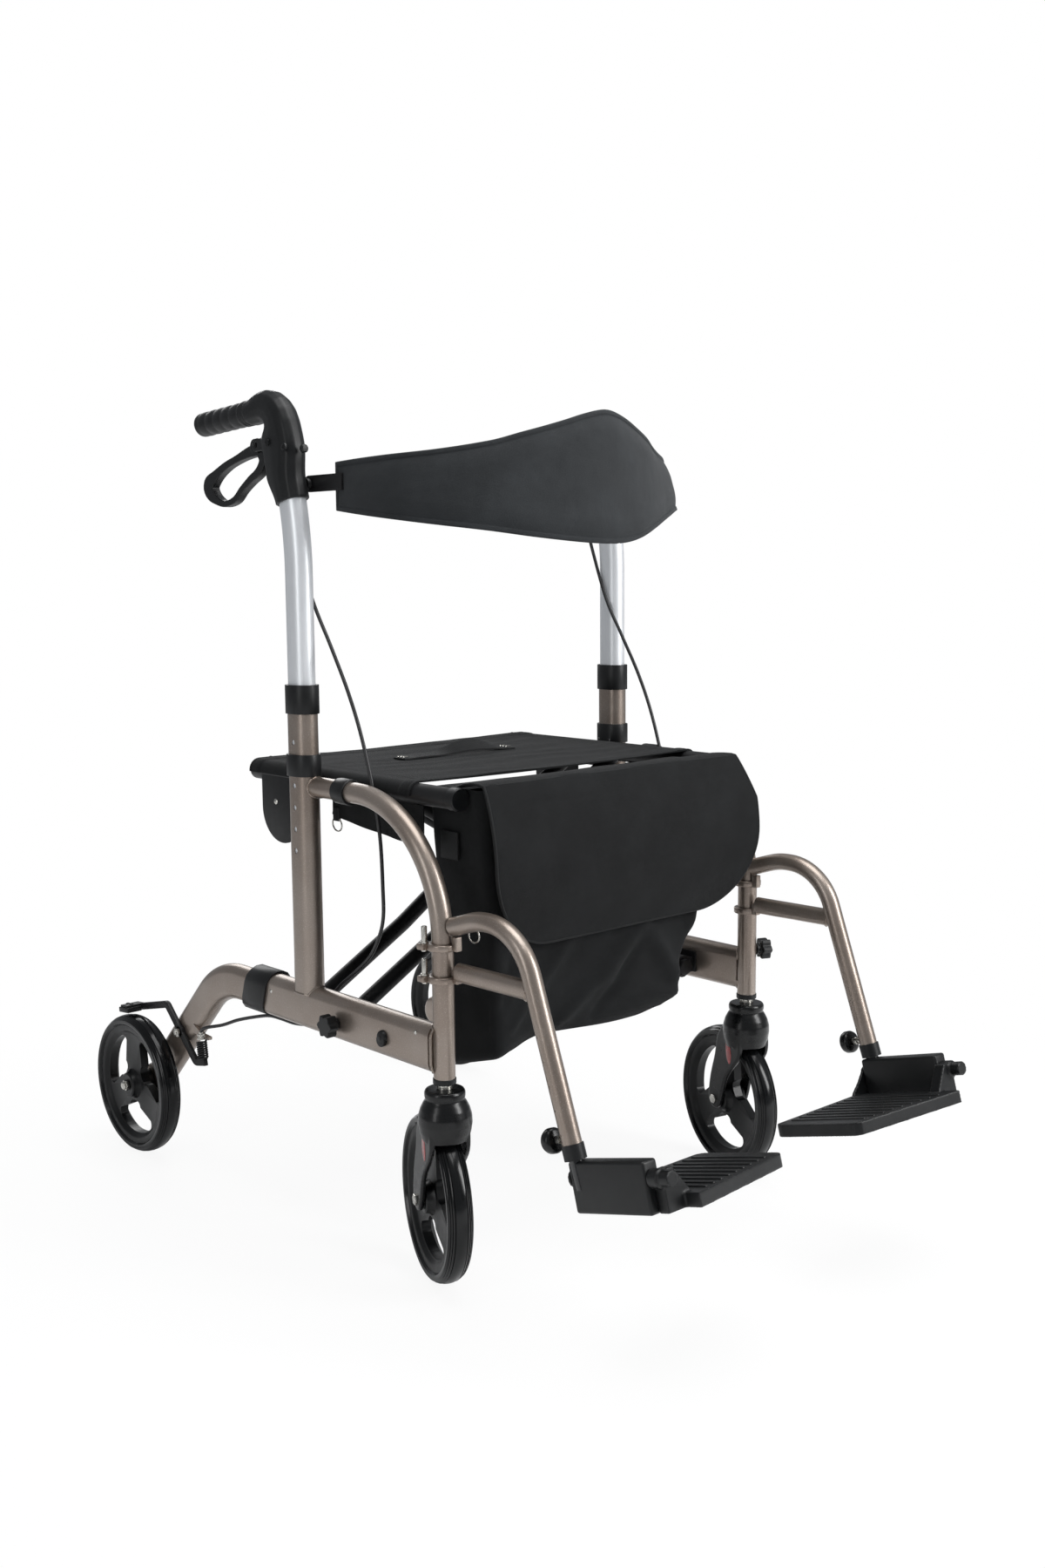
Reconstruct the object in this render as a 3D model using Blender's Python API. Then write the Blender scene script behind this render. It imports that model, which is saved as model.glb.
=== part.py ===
"""Rollator that turns into a transport chair: folding frame, seat, bag, swing-away footrests.

Metres, +Z up. The front faces -Y and the left side is -X. Every left piece is modelled where it
lies, and the right one is its mirror image. Lengths along Y are set from the middle of the side
frame, and the whole chair is then moved so that the origin lies under the middle of its footprint.
"""

import math

import bmesh
import bpy
from mathutils import Matrix, Vector

for old in list(bpy.data.objects):
    bpy.data.objects.remove(old, do_unlink=True)

X_AXIS = Vector((1, 0, 0))
Y_AXIS = Vector((0, 1, 0))
Z_AXIS = Vector((0, 0, 1))

# Clearances
TOUCH = 0.0003  # pieces fixed to each other, or resting on each other
SLIDING = 0.0004  # around a tube that telescopes
TURNING = 0.0005  # around a pin in its bore
SIDE_PLAY = 0.0004  # beside a cheek that turns against its neighbour

# Wheels
WHEEL_RADIUS = 0.100
WHEEL_STEPS = 20
TYRE_WIDTH = 0.031
TYRE_DEPTH = 0.0135
TREAD_WIDTH = 0.012
TREAD_SHOULDER = 0.007
RIM_WIDTH = 0.024
RIM_DEPTH = 0.009
HUB_RADIUS = 0.018
HUB_WIDTH = 0.035
SPOKE_WIDTH = 0.020
SPOKE_THICKNESS = 0.012
SPOKES = 3
AXLE_RADIUS = 0.004
NUT_RADIUS = 0.0080
NUT_THICKNESS = 0.0045

# Side frames
FRAME_X = 0.267
POST_Y = -0.130
UPRIGHT_Y = 0.131
POST_RADIUS = 0.0127
POST_BOTTOM = 2 * WHEEL_RADIUS + 0.0525
RAIL_WIDTH = 0.028
RAIL_HEIGHT = 0.057
RAIL_X = FRAME_X + 0.003
RAIL_Z = POST_BOTTOM + 0.038
RAIL_REAR = UPRIGHT_Y + 0.104
ARCH_Z = RAIL_Z + 0.2805
ARCH_RADIUS = 0.155
UPRIGHT_X = FRAME_X + 0.004
UPRIGHT_WIDTH = 0.031
UPRIGHT_DEPTH = 0.042
UPRIGHT_TOP = RAIL_Z + 0.3995
UPRIGHT_LAP = 0.010
HEIGHT_HOLE_RADIUS = 0.0035
HEIGHT_HOLE_PITCH = 0.027
HEIGHT_HOLES = 6
LOWEST_HEIGHT_HOLE = RAIL_Z + 0.2005
COLLAR_WALL = 0.0025
COLLAR_HEIGHT = 0.0355
COLLAR_LIP = 0.0065

# Handle tubes
HANDLE_WIDTH = 0.028
HANDLE_DEPTH = 0.038
HANDLE_FOOT = UPRIGHT_TOP - 0.225
HANDLE_BEND_Z = UPRIGHT_TOP + 0.140
HANDLE_BEND_RADIUS = 0.43
HANDLE_CURVED = 0.112

# Rear legs
LEG_X = FRAME_X - 0.003
LEG_WIDTH = 0.026
LEG_HEIGHT = 0.048
LEG_Z = RAIL_Z - 0.0025
LEG_BEND_RADIUS = 0.116
LEG_BEND_START = RAIL_REAR + 0.065
LEG_SLOPE = math.radians(45)
LEG_COLLAR_WALL = 0.003
LEG_COLLAR_LENGTH = 0.049
LEG_COLLAR_LEAN = math.radians(17)
REAR_AXLE_Y = UPRIGHT_Y + 0.408
WHEEL_TO_LEG = 0.004

# Front casters
CASTER_TRAIL = 0.040
CASTER_TURN_LEFT = math.radians(-22)
CASTER_TURN_RIGHT = math.radians(-15)
STEM_RADIUS = 0.006
STEM_LENGTH = 0.045
RACE_RADIUS = 0.0105
FORK_TOP = POST_BOTTOM - 0.008
FORK_BRIDGE = 2 * WHEEL_RADIUS + 0.006
FORK_HEAD_RADIUS = 0.0205
FORK_CLEARANCE = 0.003
FORK_BLADE = 0.006

# Folding cross
LINK_X = FRAME_X - 0.033
HINGE_Z = RAIL_Z - 0.0055
SEAT_TUBE_RADIUS = 0.0125
SEAT_TUBE_Z = ARCH_Z + 0.004
SEAT_CAP_WALL = 0.0012
SEAT_TUBE_FRONT = POST_Y + 0.006
SEAT_TUBE_REAR = UPRIGHT_Y + 0.161
HINGE_TUBE_RADIUS = 0.011
BAR_RADIUS = 0.0105
FRONT_BRACKET_Y = POST_Y + 0.093
REAR_BRACKET_Y = FRONT_BRACKET_Y + 0.094
PIVOT_PIN_RADIUS = 0.006
PIVOT_SLEEVE_RADIUS = 0.0125
EAR_THICKNESS = 0.014
EAR_WALL = 0.004
BRACKET_PLATE = 0.003
BOLT_RADIUS = 0.004
BOLT_CAP_RADIUS = 0.0075
BOLT_CAP_THICKNESS = 0.0045
KNOB_RADIUS = 0.0130
KNOB_LOBE = 0.0020
KNOB_LOBES = 6
KNOB_THICKNESS = 0.013
KNOB_NECK = 0.006
GUIDE_RADIUS = 0.045
GUIDE_THICKNESS = 0.003
GUIDE_Y = SEAT_TUBE_REAR - 0.071

# Seat
SADDLE_HEIGHT = 0.027
SADDLE_WALL = 0.003
SADDLE_WIDTH = 0.024
CLIP_WIDTH = 0.024
CLIP_WALL = 0.003
REST_THICKNESS = 0.008
SEAT_THICKNESS = 0.0020
SEAT_SAG = 0.004
SEAT_FRONT = POST_Y + 0.032
SEAT_REAR = SEAT_TUBE_REAR - 0.002
STRAP_HALF_LENGTH = 0.086
STRAP_WIDTH = 0.022
STRAP_RISE = 0.024
STRAP_THICKNESS = 0.003
STRAP_Y = UPRIGHT_Y + 0.032

# Bag
BAG_GAP = 0.0005
BAG_TOP = SEAT_TUBE_Z - 0.003
BAG_BOTTOM = RAIL_Z - 0.048
BAG_FRONT = POST_Y - 0.018
BAG_REAR = FRONT_BRACKET_Y - 0.008
BAG_LIFT = 0.036
FLAP_THICKNESS = 0.0025
FLAP_HALF_WIDTH = LINK_X - 0.008
FLAP_HINGE_Y = POST_Y + 0.018
FLAP_BACK_Z = SEAT_TUBE_Z + 0.0125
FLAP_TOP = SEAT_TUBE_Z + 0.0215
FLAP_ROLL = 0.004
FLAP_BOTTOM = RAIL_Z + 0.1085
FLAP_CORNER = 0.100
FLAP_BULGE = 0.024
FLAP_DRAWN_IN = 0.021

# Handles
HOUSING_HALF_WIDTH = 0.0180
HOUSING_HALF_DEPTH = 0.0235
HOUSING_FOOT = HANDLE_BEND_Z + 0.088
HOUSING_Y = UPRIGHT_Y + HANDLE_BEND_RADIUS * (1 - math.cos(0.088 / HANDLE_BEND_RADIUS))
GRIP_HEIGHT = HOUSING_FOOT + 0.1155
GRIP_RADIUS = 0.0155
GRIP_START = HOUSING_Y + 0.083
GRIP_LENGTH = 0.118
GRIP_DROP = math.radians(3.5)
GRIP_RIDGES = 5
LEVER_THICKNESS = 0.015
LEVER_PIVOT_Y = HOUSING_Y + 0.048
LEVER_PIVOT_Z = HOUSING_FOOT + 0.071
LEVER_EYE = 0.0095
LEVER_PIN_RADIUS = 0.0025
CHEEK = 0.0035
CHEEK_RADIUS = 0.0090

# Brakes
CABLE_RADIUS = 0.0023
CABLE_END = 0.012
ARM_THICKNESS = 0.006
ARM_HALF_WIDTH = 0.0052
ARM_PIVOT_Y = REAR_AXLE_Y - 0.109
ARM_PIVOT_Z = WHEEL_RADIUS + 0.105
PAD_GAP = 0.0036
PAD_THICKNESS = 0.008
PAD_LENGTH = 0.024
SPRING_RADIUS = 0.0048
SPRING_WIRE = 0.0009
SPRING_CURLS = 4
SPRING_LENGTH = 0.032

# Points the cable hangs through: inward of the frame, behind the upright and above the rail
CABLE_COURSE = (
    (0.0095, 0.0290, 0.5775),
    (0.0140, -0.0050, 0.5025),
    (0.0152, -0.0360, 0.4530),
    (0.0153, -0.0695, 0.3985),
    (0.0153, -0.0940, 0.3475),
    (0.0153, -0.1160, 0.2895),
    (0.0153, -0.1320, 0.2295),
    (0.0155, -0.1420, 0.1745),
    (0.0165, -0.1320, 0.1195),
    (0.0175, -0.1090, 0.0695),
    (0.0182, -0.0980, 0.0245),
    (0.0182, -0.0950, -0.0055),
    (0.0165, -0.0850, -0.0285),
    (0.0090, -0.0510, -0.0375),
    (0.0030, 0.0090, -0.0385),
    (0.0010, 0.0740, -0.0405),
    (-0.0020, 0.1310, -0.0465),
)

# Backrest
BRACKET_THICKNESS = 0.0035
BRACKET_HEIGHT = 0.020
BRACKET_X = FRAME_X - 0.0205
BACKREST_PIVOT_Y = UPRIGHT_Y + 0.008
BACKREST_PIVOT_Z = HOUSING_FOOT + 0.022
BACKREST_END_Y = UPRIGHT_Y - 0.042
BACKREST_DEPTH = 0.229
BACKREST_THICKNESS = 0.013
BACKREST_PIN_RADIUS = 0.004
BACKREST_LEAN = 0.018

# Heights of the band's edges above its pins, along the band from the left end (0) to the right (1)
BACKREST_TOP = (
    (0.00, 0.024), (0.10, 0.029), (0.20, 0.034), (0.30, 0.0425), (0.36, 0.051), (0.40, 0.063),
    (0.45, 0.074), (0.50, 0.080), (0.55, 0.075), (0.60, 0.064), (0.66, 0.049), (0.72, 0.040),
    (0.80, 0.034), (0.90, 0.029), (1.00, 0.024),
)
BACKREST_BOTTOM = (
    (0.00, -0.034), (0.10, -0.044), (0.20, -0.0535), (0.30, -0.061), (0.40, -0.070), (0.50, -0.079),
    (0.57, -0.070), (0.65, -0.056), (0.75, -0.036), (0.85, -0.033), (1.00, -0.034),
)

# Footrests
HANGER_X = FRAME_X - 0.005
HANGER_RADIUS = 0.011
HANGER_BORE = 0.0092
HANGER_TOP = RAIL_Z + 0.1590
HANGER_REACH = 0.211
HANGER_DROP = 0.2325
HANGER_RAKE = math.radians(20)
HANGER_BEND_RADIUS = 0.0714
RING_RADIUS = 0.0180
RING_THICKNESS = 0.008
UPPER_RING_Z = ARCH_Z - ARCH_RADIUS - RING_THICKNESS / 2 - 0.0005
LOWER_RING_Z = RAIL_Z + 0.0835
SLEEVE_LENGTH = 0.016
SLEEVE_RADIUS = 0.0125
LEG_TUBE_RADIUS = HANGER_BORE - SLIDING
LEG_TUBE_INSIDE = 0.115
LEG_TUBE_OUTSIDE = 0.030
LEG_HOLES = 5
LEG_HOLE_RADIUS = 0.0040
PLUNGER_RADIUS = 0.003
PLUNGER_KNOB_RADIUS = 0.0140
PLUNGER_KNOB_LENGTH = 0.0135
PLATE_PITCH = math.radians(15.5)
PLATE_PIN_RADIUS = 0.0055
PIN_ABOVE_LEG = 0.009
BLOCK_WIDTH = 0.021
BLOCK_LENGTH = 0.113
BLOCK_BEHIND = 0.0102
BLOCK_RISE = 0.019
BLOCK_DEPTH = 0.036
PLATE_DROP = 0.021
PLATE_THICKNESS = 0.015
PLATE_INNER_X = 0.066
PLATE_CORNER = 0.012
FRONT_CHEEK = 0.014
REAR_CHEEK = 0.004
PLATE_AHEAD = 0.036
PLATE_SPLAY = 0.026
PLATE_CAP = 0.014

# Finishes: colour, roughness, metallic
BRONZE = ((0.262, 0.214, 0.181), 0.36, 0.75)
SILVER = ((0.70, 0.72, 0.75), 0.28, 0.90)
STEEL = ((0.56, 0.56, 0.57), 0.25, 1.00)
BLACK_STEEL = ((0.018, 0.018, 0.020), 0.40, 0.30)
BLACK_PLASTIC = ((0.016, 0.017, 0.018), 0.42, 0.00)
BLACK_RUBBER = ((0.013, 0.014, 0.015), 0.55, 0.00)
GREY_RUBBER = ((0.030, 0.032, 0.034), 0.45, 0.00)
BLACK_CLOTH = ((0.012, 0.013, 0.014), 0.90, 0.00)
GREY_CLOTH = ((0.036, 0.040, 0.044), 0.80, 0.00)


def show(name, data):
    obj = bpy.data.objects.new(name, data)
    bpy.context.scene.collection.objects.link(obj)
    return obj


def blank(bm):
    """A temporary object for one simple shape, which pieces are then made from."""
    bmesh.ops.recalc_face_normals(bm, faces=bm.faces)
    mesh = bpy.data.meshes.new("blank")
    bm.to_mesh(mesh)
    bm.free()
    return show("blank", mesh)


def circle(radius, steps, centre=(0, 0), turn=0.0):
    angles = [turn + 2 * math.pi * k / steps for k in range(steps)]
    return [(centre[0] + radius * math.cos(a), centre[1] + radius * math.sin(a)) for a in angles]


def slot(width, height, steps, centre=(0, 0)):
    """An upright outline with round ends: width across, height overall, steps points in each end."""
    radius = width / 2
    reach = height / 2 - radius
    points = []
    for end, first in ((1, 0), (-1, math.pi)):
        for k in range(steps):
            angle = first + math.pi * k / (steps - 1)
            points.append(
                (centre[0] + radius * math.cos(angle), centre[1] + end * reach + radius * math.sin(angle))
            )
    return points


def prism(outline, axis, low, high):
    """An outline stretched along X, Y or Z. It is given in the other two coordinates, in order."""
    bm = bmesh.new()
    corners = []
    for first, second in outline:
        point = [first, second]
        point.insert("XYZ".index(axis), low)
        corners.append(bm.verts.new(point))
    face = bm.faces.new(corners)
    grown = bmesh.ops.extrude_face_region(bm, geom=[face])
    moved = [item for item in grown["geom"] if isinstance(item, bmesh.types.BMVert)]
    shift = [0, 0, 0]
    shift["XYZ".index(axis)] = high - low
    bmesh.ops.translate(bm, verts=moved, vec=shift)
    return blank(bm)


def rod(axis, centre, radius, low, high, steps=12):
    return prism(circle(radius, steps, centre, math.pi / steps), axis, low, high)


def block(low, high):
    bm = bmesh.new()
    bmesh.ops.create_cube(bm, size=1)
    for vert in bm.verts:
        vert.co = Vector([a + (b - a) * (c + 0.5) for a, b, c in zip(low, high, vert.co)])
    return blank(bm)


def swept(path, section, across=X_AXIS, scales=None):
    """A section carried along a path. Its first coordinate stays along the direction across."""
    bm = bmesh.new()
    rings = []
    for index, point in enumerate(path):
        before = path[max(index - 1, 0)]
        after = path[min(index + 1, len(path) - 1)]
        along = (after - before).normalized()
        side = (across - along * across.dot(along)).normalized()
        rise = along.cross(side)
        size = scales[index] if scales else 1
        rings.append([bm.verts.new(point + (side * u + rise * v) * size) for u, v in section])
    for first, second in zip(rings, rings[1:]):
        for k in range(len(section)):
            after = (k + 1) % len(section)
            bm.faces.new((first[k], first[after], second[after], second[k]))
    bm.faces.new(rings[0])
    bm.faces.new(rings[-1])
    return blank(bm)


def bent(points, radius, steps):
    """The points joined by straight runs, with each corner rounded to the radius."""
    radii = radius if isinstance(radius, (list, tuple)) else [radius] * (len(points) - 2)
    path = [points[0]]
    for before, corner, after, bend in zip(points, points[1:], points[2:], radii):
        inward = (before - corner).normalized()
        outward = (after - corner).normalized()
        half = inward.angle(outward) / 2
        middle = corner + (inward + outward).normalized() * bend / math.sin(half)
        start = corner + inward * bend / math.tan(half) - middle
        turn = math.pi - 2 * half
        axis = outward.cross(inward).normalized()
        for k in range(steps + 1):
            path.append(middle + Matrix.Rotation(turn * k / steps, 3, axis) @ start)
    path.append(points[-1])
    return path


def turned(profile, steps, axis, centre=(0, 0, 0)):
    """A closed outline of (distance from the axis, place along it) turned about X or Z."""
    bm = bmesh.new()
    verts = [bm.verts.new((0, r, h) if axis == "Z" else (h, 0, r)) for r, h in profile]
    edges = [bm.edges.new((a, b)) for a, b in zip(verts, verts[1:] + verts[:1])]
    spin_axis = Z_AXIS if axis == "Z" else X_AXIS
    half_step = Matrix.Rotation(math.pi / steps, 3, spin_axis)
    bmesh.ops.rotate(bm, verts=verts, cent=(0, 0, 0), matrix=half_step)
    bmesh.ops.spin(
        bm,
        geom=verts + edges,
        cent=(0, 0, 0),
        axis=spin_axis,
        angle=2 * math.pi,
        steps=steps,
        use_merge=True,
    )
    bmesh.ops.remove_doubles(bm, verts=bm.verts, dist=0.00001)
    bmesh.ops.dissolve_degenerate(bm, edges=bm.edges, dist=0.00001)
    loose = [face for face in bm.faces if face.calc_area() < 1e-12]
    bmesh.ops.delete(bm, geom=loose, context="FACES")
    bmesh.ops.translate(bm, verts=bm.verts, vec=centre)
    return blank(bm)


def lofted(rings):
    """A solid through rings with the same number of points, closed at the first and the last."""
    bm = bmesh.new()
    loops = [[bm.verts.new(point) for point in ring] for ring in rings]
    for first, second in zip(loops, loops[1:]):
        for k in range(len(first)):
            after = (k + 1) % len(first)
            bm.faces.new((first[k], first[after], second[after], second[k]))
    bm.faces.new(loops[0])
    bm.faces.new(loops[-1])
    return blank(bm)


def moved(obj, matrix):
    obj.data.transform(matrix)
    return obj


def tilted(obj, angle, axis, pivot):
    turn = Matrix.Rotation(angle, 4, axis)
    return moved(obj, Matrix.Translation(pivot) @ turn @ Matrix.Translation(-Vector(pivot)))


def fused(adds, cuts=()):
    """One solid: the first shape joined with the others in adds, less the shapes in cuts."""
    body = adds[0]
    tools = [(tool, "UNION") for tool in adds[1:]] + [(tool, "DIFFERENCE") for tool in cuts]
    for tool, operation in tools:
        modifier = body.modifiers.new(operation.title(), "BOOLEAN")
        modifier.solver = "EXACT"
        modifier.operation = operation
        modifier.object = tool
        tool.hide_render = True
        tool.display_type = "WIRE"
    bpy.context.view_layer.update()
    graph = bpy.context.evaluated_depsgraph_get()
    mesh = bpy.data.meshes.new_from_object(body.evaluated_get(graph))
    for tool, _ in tools:
        bpy.data.objects.remove(tool, do_unlink=True)
    bpy.data.objects.remove(body, do_unlink=True)
    return show("blank", mesh)


def painted(obj, finish):
    colour, roughness, metallic = finish
    material = bpy.data.materials.new(obj.name)
    material.use_nodes = True
    shader = material.node_tree.nodes["Principled BSDF"]
    shader.inputs["Base Color"].default_value = (*colour, 1)
    shader.inputs["Roughness"].default_value = roughness
    shader.inputs["Metallic"].default_value = metallic
    material.diffuse_color = (*colour, 1)
    obj.data.materials.clear()
    obj.data.materials.append(material)
    return obj


def seated(obj, name, origin, finish, parent):
    """Names a shape modelled where it lies, and puts its origin on the point that it turns about."""
    obj.name = name
    origin = Vector(origin)
    obj.data.transform(Matrix.Translation(-origin))
    obj.data.shade_smooth()
    obj.data.set_sharp_from_angle(angle=math.radians(40))
    obj.parent = parent
    obj.location = origin
    return painted(obj, finish)


def mirrored(obj):
    twin = show("blank", obj.data.copy())
    twin.data.transform(Matrix.Scale(-1, 4, X_AXIS))
    twin.data.flip_normals()
    return twin


def pair(obj, name, origin, finish):
    """The left piece and its mirror image."""
    twin = mirrored(obj)
    x, y, z = origin
    left = seated(obj, name + "_left", origin, finish, CHAIR)
    right = seated(twin, name + "_right", (-x, y, z), finish, CHAIR)
    return left, right


CHAIR = show("chair", None)


def upright_outline(margin=0.0, steps=8):
    return slot(UPRIGHT_WIDTH + 2 * margin, UPRIGHT_DEPTH + 2 * margin, steps, (-UPRIGHT_X, UPRIGHT_Y))


def handle_section(margin=0.0, steps=7):
    return slot(HANDLE_WIDTH + 2 * margin, HANDLE_DEPTH + 2 * margin, steps)


def rail_outline(margin=0.0, steps=8):
    return slot(RAIL_WIDTH + 2 * margin, RAIL_HEIGHT + 2 * margin, steps, (-RAIL_X, RAIL_Z))


def post_cutter(low, high, radius=POST_RADIUS + TOUCH, steps=16):
    return rod("Z", (-FRAME_X, POST_Y), radius, low, high, steps)


def bolt_hole(y, low, high, radius=BOLT_RADIUS + TURNING, steps=12):
    return rod("X", (y, HINGE_Z), radius, low, high, steps)


# The low rail, an upright oval tube coped to the post, with the two bolt holes of the cross brackets
def rail():
    tube = prism(rail_outline(), "Y", POST_Y, RAIL_REAR)
    outside = -RAIL_X - RAIL_WIDTH
    inside = -RAIL_X + RAIL_WIDTH
    holes = [bolt_hole(y, outside, inside) for y in (FRONT_BRACKET_Y, REAR_BRACKET_Y)]
    cope = post_cutter(RAIL_Z - RAIL_HEIGHT, RAIL_Z + RAIL_HEIGHT, POST_RADIUS + TOUCH)
    ahead = block(
        (-RAIL_X - RAIL_WIDTH, POST_Y - RAIL_WIDTH, RAIL_Z - RAIL_HEIGHT),
        (-RAIL_X + RAIL_WIDTH, POST_Y + 0.004, RAIL_Z + RAIL_HEIGHT),
    )
    return fused([tube], [cope, ahead] + holes)


# The upright: an open oval tube that the handle slides in, with its row of height holes outside
def rear_upright():
    foot = RAIL_Z + RAIL_HEIGHT / 2 - UPRIGHT_LAP
    tube = prism(upright_outline(), "Z", foot, UPRIGHT_TOP)
    bore_foot = RAIL_Z + RAIL_HEIGHT / 2 + 0.006
    bore = prism(
        slot(HANDLE_WIDTH + 2 * SLIDING, HANDLE_DEPTH + 2 * SLIDING, 7, (-UPRIGHT_X, UPRIGHT_Y)),
        "Z",
        bore_foot,
        UPRIGHT_TOP + 0.01,
    )
    saddle = prism(rail_outline(TOUCH), "Y", UPRIGHT_Y - UPRIGHT_DEPTH, UPRIGHT_Y + UPRIGHT_DEPTH)
    holes = [
        rod(
            "X",
            (UPRIGHT_Y, LOWEST_HEIGHT_HOLE + k * HEIGHT_HOLE_PITCH),
            HEIGHT_HOLE_RADIUS,
            -UPRIGHT_X - UPRIGHT_WIDTH,
            -UPRIGHT_X - HANDLE_WIDTH / 4,
            6,
        )
        for k in range(HEIGHT_HOLES)
    ]
    return fused([tube], [saddle, bore] + holes)


# The front post bends back into the arch, which is coped to the upright. The caster stem turns in it.
def front_post():
    corner = Vector((-FRAME_X, POST_Y, ARCH_Z))
    path = bent(
        [Vector((-FRAME_X, UPRIGHT_Y - 0.006, ARCH_Z)), corner, Vector((-FRAME_X, POST_Y, POST_BOTTOM))],
        ARCH_RADIUS,
        8,
    )
    tube = swept(path, circle(POST_RADIUS, 16, turn=math.pi / 16))
    cope = prism(upright_outline(TOUCH), "Z", ARCH_Z - 0.05, ARCH_Z + 0.05)
    bore = rod(
        "Z",
        (-FRAME_X, POST_Y),
        STEM_RADIUS + TURNING,
        POST_BOTTOM - 0.01,
        POST_BOTTOM + STEM_LENGTH + 0.003,
        12,
    )
    behind = block(
        (-FRAME_X - 0.03, UPRIGHT_Y - 0.0125, ARCH_Z - 0.03),
        (-FRAME_X + 0.03, UPRIGHT_Y + 0.03, ARCH_Z + 0.03),
    )
    return fused([tube], [behind, cope, bore])


# The plastic sleeve between the rail and the smaller rear leg, with leaning ends
def leg_collar():
    start = RAIL_REAR - 0.022
    x = -(RAIL_X + LEG_X) / 2
    outer = []
    section = slot(RAIL_WIDTH + 0.006 + 2 * LEG_COLLAR_WALL, RAIL_HEIGHT + 2 * LEG_COLLAR_WALL, 8)
    for y in (start, start + LEG_COLLAR_LENGTH):
        outer.append([Vector((x + u, y - v * math.tan(LEG_COLLAR_LEAN), RAIL_Z + v)) for u, v in section])
    rail_bore = prism(rail_outline(TOUCH), "Y", start - 0.02, RAIL_REAR + TOUCH)
    leg_bore = prism(
        leg_section(TOUCH, (-LEG_X, LEG_Z)),
        "Y",
        RAIL_REAR - 0.001,
        start + LEG_COLLAR_LENGTH + 0.02,
    )
    return fused([lofted(outer)], [rail_bore, leg_bore])


def leg_section(margin=0.0, centre=(0, 0)):
    return slot(LEG_WIDTH + 2 * margin, LEG_HEIGHT + 2 * margin, 7, centre)


def leg_path():
    """The leg's centre line: level out of the collar, round the bend, then down to the axle."""
    flat_end = Vector((-LEG_X, LEG_BEND_START, LEG_Z))
    corner_reach = LEG_BEND_RADIUS * math.tan(LEG_SLOPE / 2)
    corner = flat_end + Vector((0, corner_reach, 0))
    down = Vector((0, math.cos(LEG_SLOPE), -math.sin(LEG_SLOPE)))
    length = (LEG_Z - WHEEL_RADIUS) / math.sin(LEG_SLOPE)
    start = Vector((-LEG_X, RAIL_REAR + 2 * TOUCH, LEG_Z))
    return bent([start, corner, corner + down * length], LEG_BEND_RADIUS, 5)


WHEEL_X = LEG_X + LEG_WIDTH / 2 + WHEEL_TO_LEG + TYRE_WIDTH / 2


# The rear leg carries the axle with its nut, the brake arm's pin and the cable stop
def rear_leg():
    path = leg_path()
    foot = path[-1]
    tube = swept(path, leg_section())
    end = rod("X", (foot.y, foot.z), LEG_HEIGHT / 2, -LEG_X - LEG_WIDTH / 2, -LEG_X + LEG_WIDTH / 2, 14)
    face = -LEG_X - LEG_WIDTH / 2
    hub_end = -WHEEL_X - HUB_WIDTH / 2
    axle = rod("X", (REAR_AXLE_Y, WHEEL_RADIUS), AXLE_RADIUS, hub_end - 0.002, -LEG_X)
    shoulder = rod("X", (REAR_AXLE_Y, WHEEL_RADIUS), NUT_RADIUS, -WHEEL_X + HUB_WIDTH / 2 + TURNING, -LEG_X)
    nut = rod(
        "X",
        (REAR_AXLE_Y, WHEEL_RADIUS),
        NUT_RADIUS,
        hub_end - TURNING - NUT_THICKNESS,
        hub_end - TURNING,
        8,
    )
    arm_outside = face - 2 * SIDE_PLAY - ARM_THICKNESS
    arm_pin = rod("X", (ARM_PIVOT_Y, ARM_PIVOT_Z), AXLE_RADIUS, arm_outside - 0.002, -LEG_X)
    arm_nut = rod(
        "X", (ARM_PIVOT_Y, ARM_PIVOT_Z), 0.0065, arm_outside - SIDE_PLAY - 0.004, arm_outside - SIDE_PLAY, 6
    )
    return fused([tube, end, shoulder, axle, nut, arm_pin, arm_nut] + cable_stop())


# The spring and the cable meet at a small bracket on the leg's outer side
def spring_line():
    """The top of the spring, its direction down, and its side-to-side place."""
    arm_x = -(LEG_X + LEG_WIDTH / 2 + SIDE_PLAY + ARM_THICKNESS / 2)
    top = Vector((arm_x, ARM_PIVOT_Y - 0.0800, ARM_PIVOT_Z - 0.0060))
    down = Vector((0, 0.46, -0.888)).normalized()
    return top, down


def cable_stop():
    top, down = spring_line()
    plate_x = -LEG_X - LEG_WIDTH / 2
    outline = [
        (top.y - 0.008, top.z - 0.001),
        (top.y + 0.009, top.z + 0.002),
        (top.y + 0.048, top.z + 0.026),
        (top.y + 0.034, top.z + 0.046),
        (top.y - 0.009, top.z + 0.007),
    ]
    plate = prism(outline, "X", plate_x - 0.0012, plate_x + 0.004)
    tab = block(
        (top.x - 0.006, top.y - 0.0075, top.z + TOUCH),
        (plate_x + 0.002, top.y + 0.0075, top.z + TOUCH + 0.004),
    )
    tilted(tab, math.atan2(down.y, -down.z), "X", top)
    barrel_low = top - down * 0.002
    barrel_high = top - down * 0.016
    barrel = swept([barrel_low, barrel_high], circle(0.0045, 8))
    return [plate, tab, barrel]


def arm_outline(centre_line, half_width):
    """The outline of a flat bar of constant width along a bent line in Y and Z."""
    left, right = [], []
    for index, point in enumerate(centre_line):
        before = centre_line[max(index - 1, 0)]
        after = centre_line[min(index + 1, len(centre_line) - 1)]
        into = (Vector(point) - Vector(before)).normalized() if index else None
        out = (Vector(after) - Vector(point)).normalized() if index < len(centre_line) - 1 else None
        along = ((into or out) + (out or into)).normalized()
        side = Vector((-along.y, along.x))
        reach = half_width / max(side.dot(Vector((-(out or into).y, (out or into).x))), 0.5)
        left.append(tuple(Vector(point) + side * reach))
        right.append(tuple(Vector(point) - side * reach))
    return left + right[::-1]


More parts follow.
